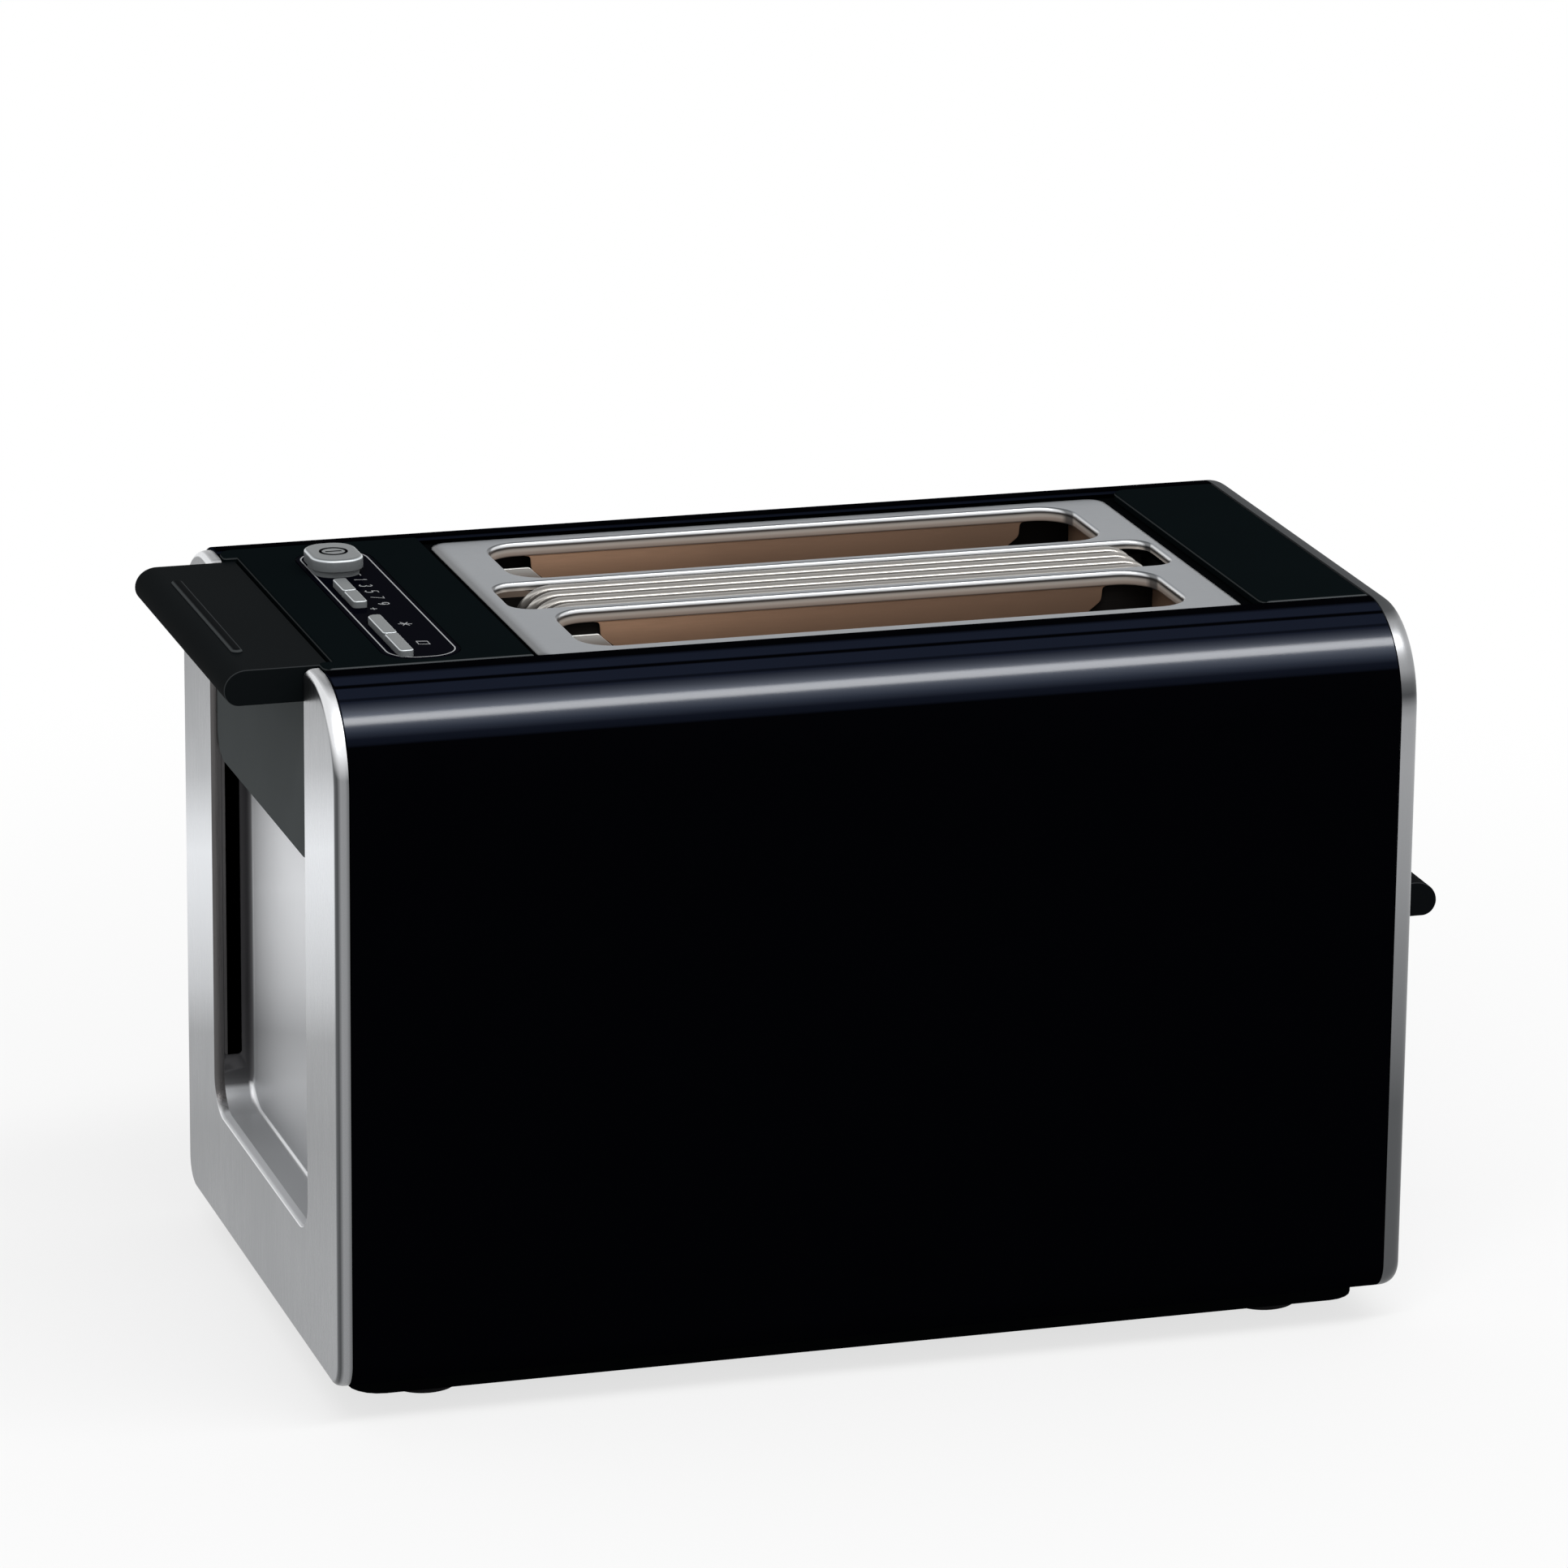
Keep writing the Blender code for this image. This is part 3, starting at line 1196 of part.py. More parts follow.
def make_key(name):
    y = key_middle(name)
    pivot = joint_empty(f"{name}_joint", (KEY_X, y, DECK_TOP))
    key = prism(name, key_outline(name), PRESS_FLANGE_TOP - OVERRUN / 2, DECK_TOP + KEY_HEIGHT)
    edge = (KEY_HEIGHT + DECK_TOP - PRESS_FLANGE_TOP + OVERRUN / 2) / 2
    soften(key, KEY_EDGE, 2, lambda end: end.z > edge - WELD_DISTANCE)
    low, high = KEY_SPANS[name]
    half = KEY_WIDTH / 2 + PRESS_FLANGE
    flange = box(
        f"{name}_flange",
        (KEY_X - half, low + SEAT_GAP / 2, PRESS_FLANGE_TOP - PRESS_FLANGE_THICKNESS),
        (KEY_X + half, high - SEAT_GAP / 2, PRESS_FLANGE_TOP),
    )
    stem_half = KEY_WIDTH / 2
    stem = box(
        f"{name}_stem",
        (KEY_X - stem_half, y - stem_half, STEM_BOTTOM),
        (KEY_X + stem_half, y + stem_half, PRESS_FLANGE_TOP - PRESS_FLANGE_THICKNESS / 2),
    )
    fuse(key, flange, stem)
    return finish(key, SILVER_PLASTIC, pivot)


def make_control_board():
    board = box(
        "control_board",
        (BOARD_LOW_X, -BOARD_HALF_DEPTH, BOARD_TOP - BOARD_THICKNESS),
        (BOARD_HIGH_X, BOARD_HALF_DEPTH, BOARD_TOP),
    )
    places = [("power", BUTTON_X, BUTTON_Y)]
    places += [(name, KEY_X, key_middle(name)) for name in KEY_SPANS]
    for label, x, y in places:
        switch = box(
            f"{label}_switch",
            (x - SWITCH_HALF_WIDTH, y - SWITCH_HALF_WIDTH, BOARD_TOP - BOARD_THICKNESS / 2),
            (x + SWITCH_HALF_WIDTH, y + SWITCH_HALF_WIDTH, SWITCH_TOP),
        )
        fuse(board, switch)
    return finish(board, BOARD_GREEN)


# Toasting chamber

def lift_slit(label, x, y_sign):
    half = LIFT_RAIL_WALL / 2 + LIFT_SLIT_CLEARANCE
    y = y_sign * LIFT_Y
    low = LIFT_TOP - LIFT_RAIL_DEPTH - LIFT_TRAVEL_DOWN - LIFT_SLIT_CLEARANCE
    return box(
        label,
        (x - BULKHEAD_WALL - OVERRUN, y - half, low),
        (x + BULKHEAD_WALL + OVERRUN, y + half, LIFT_TOP + LIFT_TRAVEL_UP + LIFT_SLIT_CLEARANCE),
    )


def make_left_bulkhead():
    x = CHAMBER_LOW_X
    sheet = box(
        "left_bulkhead",
        (x - BULKHEAD_WALL, -BULKHEAD_HALF_DEPTH, BASE_SEAT),
        (x, BULKHEAD_HALF_DEPTH, BULKHEAD_TOP),
    )
    cut(sheet, lift_slit("front_lift_slit", x, -1), lift_slit("rear_lift_slit", x, 1))
    return finish(sheet, SHEET_STEEL)


def make_right_bulkhead():
    x = CHAMBER_HIGH_X
    sheet = box(
        "right_bulkhead",
        (x, -BULKHEAD_HALF_DEPTH, BASE_SEAT),
        (x + BULKHEAD_WALL, BULKHEAD_HALF_DEPTH, BULKHEAD_TOP),
    )
    tray_pass = box(
        "tray_pass",
        (x - OVERRUN, -TRAY_PASS_HALF_DEPTH, BASE_TOP - OVERRUN),
        (x + BULKHEAD_WALL + OVERRUN, TRAY_PASS_HALF_DEPTH, TRAY_PASS_TOP),
    )
    pass_half = BUN_FRAME_HALF_WIDTH + BUN_PASS_CLEARANCE
    rack_pass = box(
        "rack_pass",
        (x - OVERRUN, -pass_half, BUN_FRAME_TOP - BUN_FRAME_THICKNESS - BUN_PASS_CLEARANCE),
        (x + BULKHEAD_WALL + OVERRUN, pass_half, BUN_FRAME_TOP + BUN_TRAVEL + BUN_PASS_CLEARANCE),
    )
    cut(sheet, tray_pass, rack_pass)
    return finish(sheet, SHEET_STEEL)


def make_heaters():
    for label, y in (
        ("front_outer_heater", -OUTER_HEATER_Y),
        ("front_inner_heater", -INNER_HEATER_Y),
        ("rear_inner_heater", INNER_HEATER_Y),
        ("rear_outer_heater", OUTER_HEATER_Y),
    ):
        board = box(
            label,
            (CHAMBER_LOW_X + SEAT_GAP, y - HEATER_THICKNESS / 2, HEATER_BOTTOM),
            (CHAMBER_HIGH_X - SEAT_GAP, y + HEATER_THICKNESS / 2, HEATER_TOP),
        )
        finish(board, MICA)


def make_reflectors():
    for label, y_sign in (("front_reflector", -1), ("rear_reflector", 1)):
        y = y_sign * REFLECTOR_Y
        sheet = box(
            label,
            (CHAMBER_LOW_X + SEAT_GAP, y - REFLECTOR_WALL / 2, HEATER_BOTTOM),
            (CHAMBER_HIGH_X - SEAT_GAP, y + REFLECTOR_WALL / 2, BULKHEAD_TOP),
        )
        finish(sheet, SHEET_STEEL)


def make_guards():
    """Four stamped grilles, each on two pivot tongues at its lower corners."""
    bottom, top = GUARD_PIVOT_Z - GUARD_PIVOT_RADIUS, GUARD_TOP
    shoulder = GUARD_PIVOT_Z + GUARD_PIVOT_RADIUS
    bar = GUARD_BAR_WIDTH
    pitch = (GUARD_HIGH_X - GUARD_LOW_X - bar) / (GUARD_BARS - 1)
    middle = (bottom + top) / 2
    windows = []
    for index in range(GUARD_BARS - 1):
        low_x = GUARD_LOW_X + bar + index * pitch
        high_x = low_x + pitch - bar
        for low_z, high_z in ((shoulder, middle - bar / 2), (middle + bar / 2, top - bar)):
            windows.append([(low_x, low_z), (high_x, low_z), (high_x, high_z), (low_x, high_z)])
    left_pivot = CHAMBER_LOW_X + SEAT_GAP
    right_pivot = CHAMBER_HIGH_X - SEAT_GAP
    outline = [
        (left_pivot, bottom), (right_pivot, bottom), (right_pivot, shoulder),
        (GUARD_HIGH_X, shoulder), (GUARD_HIGH_X, top), (GUARD_LOW_X, top),
        (GUARD_LOW_X, shoulder), (left_pivot, shoulder),
    ]
    for label, y in (
        ("front_outer_guard", -GUARD_OUTER_Y),
        ("front_inner_guard", -GUARD_INNER_Y),
        ("rear_inner_guard", GUARD_INNER_Y),
        ("rear_outer_guard", GUARD_OUTER_Y),
    ):
        pivot = joint_empty(f"{label}_joint", (0, y, GUARD_PIVOT_Z))
        half = GUARD_THICKNESS / 2
        guard = prism(label, outline, y - half, y + half, "Y", windows)
        finish(guard, POLISHED_STEEL, pivot)


# Bread lift

def make_lifters(pivot):
    beam_end = YOKE_BACK_X + SEAT_GAP + CARRIAGE_BEAM_LENGTH
    low_x = beam_end + SEAT_GAP
    rail_bottom = LIFT_TOP - LIFT_RAIL_DEPTH
    side = [
        (low_x, rail_bottom),
        (LIFT_END_X, rail_bottom),
        (LIFT_END_X, LIFT_TOP),
        (low_x + LIFT_RISER_LENGTH, LIFT_TOP),
        (low_x + LIFT_RISER_LENGTH, CARRIAGE_HIGH),
        (low_x, CARRIAGE_HIGH),
    ]
    pitch = (LIFT_TEETH_HIGH_X - LIFT_TEETH_LOW_X) / (LIFT_TEETH - 1)
    for label, y_sign in (("front_lifter", -1), ("rear_lifter", 1)):
        y = y_sign * LIFT_Y
        half = LIFT_RAIL_WALL / 2
        rail = prism(label, side, y - half, y + half, "Y")
        for index in range(LIFT_TEETH):
            x = LIFT_TEETH_LOW_X + index * pitch
            tooth = box(
                f"{label}_tooth_{index + 1}",
                (x - LIFT_TOOTH_LENGTH / 2, y - LIFT_TOOTH_HALF_WIDTH, LIFT_TOP - LIFT_RAIL_WALL),
                (
                    x + LIFT_TOOTH_LENGTH / 2,
                    y + LIFT_TOOTH_HALF_WIDTH,
                    LIFT_TOP - LIFT_RAIL_WALL / 4,
                ),
            )
            fuse(rail, tooth)
        finish(rail, SHEET_STEEL, pivot)


def make_carriage(pivot):
    low_x = YOKE_BACK_X + SEAT_GAP
    beam = box(
        "carriage",
        (low_x, -CARRIAGE_BEAM_HALF_WIDTH, CARRIAGE_LOW),
        (low_x + CARRIAGE_BEAM_LENGTH, CARRIAGE_BEAM_HALF_WIDTH, CARRIAGE_HIGH),
    )
    bar = box(
        "carriage_bar",
        (low_x + CARRIAGE_BEAM_LENGTH / 2, -CARRIAGE_BAR_HALF_WIDTH, CARRIAGE_LOW),
        (ROD_X, CARRIAGE_BAR_HALF_WIDTH, CARRIAGE_HIGH),
    )
    hub_half = CARRIAGE_HUB_HALF_WIDTH
    hub = turned(
        "carriage_hub",
        [
            (0, CARRIAGE_HIGH + CARRIAGE_HUB_EXTRA),
            (hub_half, CARRIAGE_HIGH + CARRIAGE_HUB_EXTRA),
            (hub_half, CARRIAGE_LOW - CARRIAGE_HUB_EXTRA),
            (0, CARRIAGE_LOW - CARRIAGE_HUB_EXTRA),
        ],
        (ROD_X, 0, 0),
    )
    bore_radius = ROD_RADIUS + ROD_CLEARANCE
    reach = CARRIAGE_HUB_EXTRA + OVERRUN
    bore = turned(
        "carriage_bore",
        [
            (0, CARRIAGE_HIGH + reach),
            (bore_radius, CARRIAGE_HIGH + reach),
            (bore_radius, CARRIAGE_LOW - reach),
            (0, CARRIAGE_LOW - reach),
        ],
        (ROD_X, 0, 0),
    )
    fuse(beam, bar, hub)
    cut(beam, bore)
    return finish(beam, SHEET_STEEL, pivot)


def make_guide_rod():
    length = DECK_UNDERSIDE - SEAT_GAP - BASE_SEAT
    rod = turned(
        "guide_rod",
        [(0, length), (ROD_RADIUS, length), (ROD_RADIUS, 0), (0, 0)],
        (ROD_X, 0, BASE_SEAT),
    )
    return finish(rod, POLISHED_STEEL)


def make_return_spring():
    low = BASE_SEAT + SPRING_WIRE_RADIUS
    high = CARRIAGE_LOW - CARRIAGE_HUB_EXTRA - SEAT_GAP - SPRING_WIRE_RADIUS
    count = SPRING_TURNS * SPRING_POINTS_PER_TURN
    points = []
    for step in range(count + 1):
        angle = math.tau * step / SPRING_POINTS_PER_TURN
        points.append(
            (
                ROD_X + SPRING_RADIUS * math.cos(angle),
                SPRING_RADIUS * math.sin(angle),
                low + (high - low) * step / count,
            )
        )
    return finish(tube("return_spring", points, SPRING_WIRE_RADIUS, 1), POLISHED_STEEL)


def make_armature(pivot):
    plate = box(
        "armature",
        (MAGNET_LOW_X, -MAGNET_HALF_WIDTH, ARMATURE_LOW),
        (MAGNET_HIGH_X, MAGNET_HALF_WIDTH, ARMATURE_HIGH),
    )
    return finish(plate, SHEET_STEEL, pivot)


def make_holding_magnet():
    core = box(
        "holding_magnet",
        (MAGNET_LOW_X, -MAGNET_HALF_WIDTH, BASE_SEAT),
        (MAGNET_HIGH_X, MAGNET_HALF_WIDTH, MAGNET_TOP),
    )
    slot = box(
        "magnet_slot",
        (MAGNET_LOW_X - OVERRUN, -MAGNET_SLOT_HALF_WIDTH, MAGNET_TOP - MAGNET_SLOT_DEPTH),
        (MAGNET_HIGH_X + OVERRUN, MAGNET_SLOT_HALF_WIDTH, MAGNET_TOP + OVERRUN),
    )
    cut(core, slot)
    return finish(core, COPPER)


def handle_profile(nose, inner, top):
    """Section of a lever handle in X and Z, with a blunt round nose."""
    sign = 1 if inner > nose else -1
    middle = top - HANDLE_NOSE_RISE
    upper = oval(
        (nose + sign * HANDLE_NOSE_TOP, middle), (-sign * HANDLE_NOSE_TOP, HANDLE_NOSE_RISE), 90, 0
    )
    drop = HANDLE_THICKNESS - HANDLE_NOSE_RISE
    lower = oval(
        (nose + sign * HANDLE_NOSE_LOW, middle), (-sign * HANDLE_NOSE_LOW, drop), 0, -90
    )
    return [(inner, top)] + upper + lower[1:] + [(inner, top - HANDLE_THICKNESS)]


def extrude_handle(name, nose, inner, top, half_width):
    """A handle of one section across the toaster, its end faces lightly eased."""
    handle = prism(name, handle_profile(nose, inner, top), -half_width, half_width, "Y")
    ease = half_width - WELD_DISTANCE
    return soften(
        handle, HANDLE_EDGE, 2, lambda end: end.z > ease, lambda end: end.z < -ease
    )


def make_lever_handle(pivot):
    top = DECK_TOP - HANDLE_TOP_DROP
    handle = extrude_handle("lever_handle", HANDLE_NOSE_X, HANDLE_INNER_X, top, HANDLE_HALF_WIDTH)
    rib_half = RIB_WIDTH / 2
    rib = prism(
        "lever_rib",
        rounded_rectangle(
            (RIB_X - rib_half, -RIB_HALF_LENGTH),
            (RIB_X + rib_half, RIB_HALF_LENGTH),
            rib_half * RIB_ROUND_SHARE,
        ),
        top - RIB_HEIGHT,
        top + RIB_HEIGHT,
    )
    fuse(handle, rib)
    return finish(handle, SATIN_BLACK, pivot)


def make_lever_skirt(pivot):
    front_x = -BODY_HALF_LENGTH + SKIRT_SETBACK
    back_x = front_x + SKIRT_THICKNESS
    top = DECK_TOP - HANDLE_TOP_DROP - HANDLE_THICKNESS - SEAT_GAP
    half = SKIRT_HALF_WIDTH
    corner = SKIRT_CORNER
    outline = [(half, top), (-half, top)] + arc(
        (-half + corner, SKIRT_BOTTOM + corner), corner, 180, 270
    ) + arc((half - corner, SKIRT_BOTTOM + corner), corner, 270, 360)
    skirt = prism("lever_skirt", outline, front_x, back_x, "X")
    for label, y_sign in (("front", -1), ("rear", 1)):
        ys = sorted((y_sign * TAB_INNER, y_sign * SKIRT_HALF_WIDTH))
        arm = box(
            f"{label}_lever_arm",
            (back_x - OVERRUN / 2, ys[0], TAB_LOW),
            (TAB_FAR_X, ys[1], TAB_HIGH),
        )
        ys = sorted((y_sign * TAB_INNER, y_sign * TAB_OUTER))
        tab = box(
            f"{label}_lever_tab",
            (TAB_NEAR_X, ys[0], TAB_LOW),
            (TAB_FAR_X, ys[1], TAB_HIGH),
        )
        fuse(skirt, arm, tab)
    return finish(skirt, DARK_GREY, pivot)


def yoke(name, near_x, back_x, low, high):
    """A U of sheet steel: two side arms and the bar that joins them."""
    inner = TAB_OUTER + SEAT_GAP
    outer = inner + YOKE_WALL
    sign = 1 if back_x > near_x else -1
    inside = back_x - sign * YOKE_WALL
    outline = [
        (near_x, -outer), (back_x, -outer), (back_x, outer), (near_x, outer),
        (near_x, inner), (inside, inner), (inside, -inner), (near_x, -inner),
    ]
    return prism(name, outline, low, high)


def make_lever_yoke(pivot):
    part = yoke("lever_yoke", TAB_NEAR_X, YOKE_BACK_X, TAB_LOW, TAB_HIGH)
    return finish(part, SHEET_STEEL, pivot)


# Bun rack

def make_bun_rods(pivot):
    z = DECK_TOP - BUN_ROD_TOP_DROP - BUN_ROD_RADIUS
    bend = BUN_ROD_BEND
    bottom = BUN_FRAME_TOP + SEAT_GAP
    left = arc((BUN_ROD_LOW_X + bend, z - bend), bend, 180, 90)
    right = arc((BUN_ROD_HIGH_X - bend, z - bend), bend, 90, 0)
    path = [(BUN_ROD_LOW_X, bottom)] + left + right + [(BUN_ROD_HIGH_X, bottom)]
    for index in range(BUN_ROD_COUNT):
        y = (index - (BUN_ROD_COUNT - 1) / 2) * BUN_ROD_SPACING
        rod = tube(f"bun_rod_{index + 1}", [(x, y, height) for x, height in path], BUN_ROD_RADIUS)
        finish(rod, POLISHED_STEEL, pivot)


def make_bun_frame(pivot):
    part = box(
        "bun_rack_frame",
        (BUN_FRAME_LOW_X, -BUN_FRAME_HALF_WIDTH, BUN_FRAME_TOP - BUN_FRAME_THICKNESS),
        (BUN_FRAME_HIGH_X, BUN_FRAME_HALF_WIDTH, BUN_FRAME_TOP),
    )
    return finish(part, SHEET_STEEL, pivot)


def make_bun_yoke(pivot):
    part = yoke(
        "bun_rack_yoke",
        BUN_PLATE_HIGH_X,
        BUN_FRAME_HIGH_X + SEAT_GAP,
        BUN_PLATE_LOW,
        BUN_PLATE_LOW + BUN_YOKE_HEIGHT,
    )
    return finish(part, SHEET_STEEL, pivot)


def make_bun_lever(pivot):
    plate = box(
        "bun_lever_plate",
        (BUN_PLATE_LOW_X, -TAB_OUTER, BUN_PLATE_LOW),
        (BUN_PLATE_HIGH_X, TAB_OUTER, BUN_PLATE_HIGH),
    )
    finish(plate, DARK_GREY, pivot)
    nose = BODY_HALF_LENGTH + HANDLE_REACH
    inner = BUN_PLATE_HIGH_X + SEAT_GAP
    top = BUN_LEVER_Z + HANDLE_THICKNESS / 2
    handle = extrude_handle("bun_lever_handle", nose, inner, top, BUN_HANDLE_HALF_WIDTH)
    finish(handle, SATIN_BLACK, pivot)


# Crumb tray and cord gland

def make_crumb_tray():
    pivot = joint_empty("crumb_tray_joint", (0, 0, TRAY_SEAT))
    high_x = RIGHT_CAP_BACK
    tray = box(
        "crumb_tray",
        (TRAY_LOW_X, -TRAY_HALF_DEPTH, TRAY_SEAT),
        (high_x, TRAY_HALF_DEPTH, TRAY_RIM_TOP),
    )
    inner = TRAY_HALF_DEPTH - TRAY_RIM_WALL
    hollow = box(
        "crumb_hollow",
        (TRAY_LOW_X + TRAY_RIM_WALL, -inner, TRAY_SEAT + TRAY_FLOOR),
        (high_x - TRAY_RIM_WALL, inner, TRAY_RIM_TOP + OVERRUN),
    )
    front_outer = high_x + TRAY_FRONT_THICKNESS
    front = box(
        "tray_front",
        (high_x - TRAY_RIM_WALL / 2, -TRAY_HALF_DEPTH, TRAY_SEAT),
        (front_outer, TRAY_HALF_DEPTH, TRAY_FRONT_TOP),
    )
    lip = box(
        "tray_lip",
        (front_outer - OVERRUN, -TRAY_LIP_HALF_WIDTH, TRAY_SEAT),
        (front_outer + TRAY_LIP_LENGTH, TRAY_LIP_HALF_WIDTH, TRAY_SEAT + TRAY_LIP_THICKNESS),
    )
    cut(tray, hollow)
    fuse(tray, front, lip)
    return finish(tray, SHEET_STEEL, pivot)


def make_cord_gland():
    collar_bottom = RIGHT_RIM + SEAT_GAP
    gland = turned(
        "cord_gland",
        [
            (GLAND_BORE_RADIUS, collar_bottom + GLAND_COLLAR_LENGTH),
            (GLAND_COLLAR_RADIUS, collar_bottom + GLAND_COLLAR_LENGTH),
            (GLAND_COLLAR_RADIUS, collar_bottom),
            (GLAND_BODY_RADIUS, collar_bottom),
            (GLAND_BODY_RADIUS, collar_bottom - GLAND_BODY_LENGTH),
            (GLAND_BORE_RADIUS, collar_bottom - GLAND_BODY_LENGTH),
        ],
        (RIGHT_CAP_BACK, GLAND_Y, GLAND_Z),
        "X",
    )
    return finish(gland, RUBBER)


def make_toaster():
    make_base_plate()
    make_base_screws()
    make_feet()
    make_shell("front_shell", -1)
    make_shell("rear_shell", 1)
    make_left_end_cap()
    make_right_end_cap()
    make_top_frame()
    make_control_deck()
    make_right_deck()
    make_slot_plate()
    make_control_panel()
    make_control_board()
    make_power_button()
    for name in KEY_SPANS:
        make_key(name)
    make_left_bulkhead()
    make_right_bulkhead()
    make_heaters()
    make_reflectors()
    make_guards()
    make_guide_rod()
    make_return_spring()
    make_holding_magnet()
    lift = joint_empty("bread_lift_joint", (ROD_X, 0, CARRIAGE_LOW))
    make_lifters(lift)
    make_carriage(lift)
    make_armature(lift)
    make_lever_yoke(lift)
    make_lever_skirt(lift)
    make_lever_handle(lift)
    rack = joint_empty("bun_rack_joint", (0, 0, BUN_FRAME_TOP))
    make_bun_rods(rack)
    make_bun_frame(rack)
    make_bun_yoke(rack)
    make_bun_lever(rack)
    make_crumb_tray()
    make_cord_gland()


make_toaster()
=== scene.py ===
"""Studio scene of a long-slot toaster: fine meshes and finishes over its packed working model.

Lengths are in metres. The origin is on the ground under the middle of the body, +X points to the
bun rack's lever, -Y to the front shell and +Z up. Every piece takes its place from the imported
nodes, and rides on the body that it belongs to.
"""

import logging
from collections.abc import Iterable, Sequence
from dataclasses import dataclass
from enum import Enum
from itertools import pairwise
from math import atan2, cos, pi, radians, sin, tan
from typing import ClassVar

import bmesh
import bpy
from mathutils import Matrix, Vector


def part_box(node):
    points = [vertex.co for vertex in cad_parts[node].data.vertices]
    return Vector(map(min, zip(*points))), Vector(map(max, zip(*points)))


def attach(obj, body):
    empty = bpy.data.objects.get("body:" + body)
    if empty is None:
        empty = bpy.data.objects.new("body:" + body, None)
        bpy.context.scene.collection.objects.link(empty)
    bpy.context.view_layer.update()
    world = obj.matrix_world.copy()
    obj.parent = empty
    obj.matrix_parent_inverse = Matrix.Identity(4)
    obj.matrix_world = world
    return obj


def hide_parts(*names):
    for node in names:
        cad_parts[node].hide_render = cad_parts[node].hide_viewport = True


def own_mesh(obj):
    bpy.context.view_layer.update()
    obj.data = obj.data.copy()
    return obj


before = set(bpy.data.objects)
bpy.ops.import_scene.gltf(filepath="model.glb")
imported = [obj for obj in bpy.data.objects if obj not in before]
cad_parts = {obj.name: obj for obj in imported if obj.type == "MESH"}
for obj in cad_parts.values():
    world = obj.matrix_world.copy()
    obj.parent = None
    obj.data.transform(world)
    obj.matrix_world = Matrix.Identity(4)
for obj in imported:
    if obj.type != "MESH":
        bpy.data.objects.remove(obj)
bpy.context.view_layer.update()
STRAIGHT_ON = 0.9999
LEAST_BEND = 0.00001
SAME_PLACE = 0.000002
GLAND_PLACE = (0.071, 0.029)
NOISE_MIDDLE = 0.5
WHITE = (1.0, 1.0, 1.0, 1.0)
LOG = logging.getLogger("toaster")

Point = tuple[float, float]
Span = tuple[float, float]
Triple = tuple[float, float, float]
Colour = tuple[float, float, float]
Profile = Sequence[Point]
Stops = Sequence[tuple[float, float]]
Ring = list[bmesh.types.BMVert]


class Kind(Enum):
    """What a shader socket carries."""

    NUMBER = "VALUE"
    VECTOR = "VECTOR"
    COLOUR = "RGBA"
    SHADER = "SHADER"


class Axis(Enum):
    """An axis of the toaster, by its number among X, Y and Z."""

    LENGTH = 0
    DEPTH = 1
    HEIGHT = 2


class Source(Enum):
    """What a number along an axis is read from."""

    PLACE = "Object"
    FACING = "Normal"


class Signal:
    """A node socket that can be used in arithmetic."""

    def __init__(self, graph: "Graph", socket: bpy.types.NodeSocket) -> None:
        """Wrap a socket.

        Args:
            graph: The graph that it belongs to.
            socket: An output socket of one of its nodes.
        """
        self.graph = graph
        self.socket = socket
        self.kind = Kind(socket.type)

    def combine(self, operation: str, first: "Value", second: "Value") -> "Signal":
        """Join two values with the node that suits this signal's kind.

        Args:
            operation: The name of the operation, the same in all three nodes.
            first: The left value.
            second: The right value.

        Returns:
            The signal that carries the result.
        """
        if self.kind is Kind.NUMBER:
            return self.graph.node("ShaderNodeMath", {"operation": operation}, {0: first, 1: second})
        if self.kind is Kind.VECTOR:
            settings = {"operation": operation}
            return self.graph.node("ShaderNodeVectorMath", settings, {0: first, 1: second})
        settings = {"data_type": "RGBA", "blend_type": operation}
        return self.graph.node("ShaderNodeMix", settings, {0: 1.0, 6: first, 7: second}, 2)

    def __add__(self, other: "Value") -> "Signal":
        """Return this signal plus another value."""
        return self.combine("ADD", self, other)

    def __radd__(self, other: "Value") -> "Signal":
        """Return another value plus this signal."""
        return self.combine("ADD", other, self)

    def __sub__(self, other: "Value") -> "Signal":
        """Return this signal less another value."""
        return self.combine("SUBTRACT", self, other)

    def __rsub__(self, other: "Value") -> "Signal":
        """Return another value less this signal."""
        return self.combine("SUBTRACT", other, self)

    def __mul__(self, other: "Value") -> "Signal":
        """Return this signal times another value."""
        return self.combine("MULTIPLY", self, other)

    def __rmul__(self, other: "Value") -> "Signal":
        """Return another value times this signal."""
        return self.combine("MULTIPLY", other, self)


Value = Signal | float | tuple[float, ...]


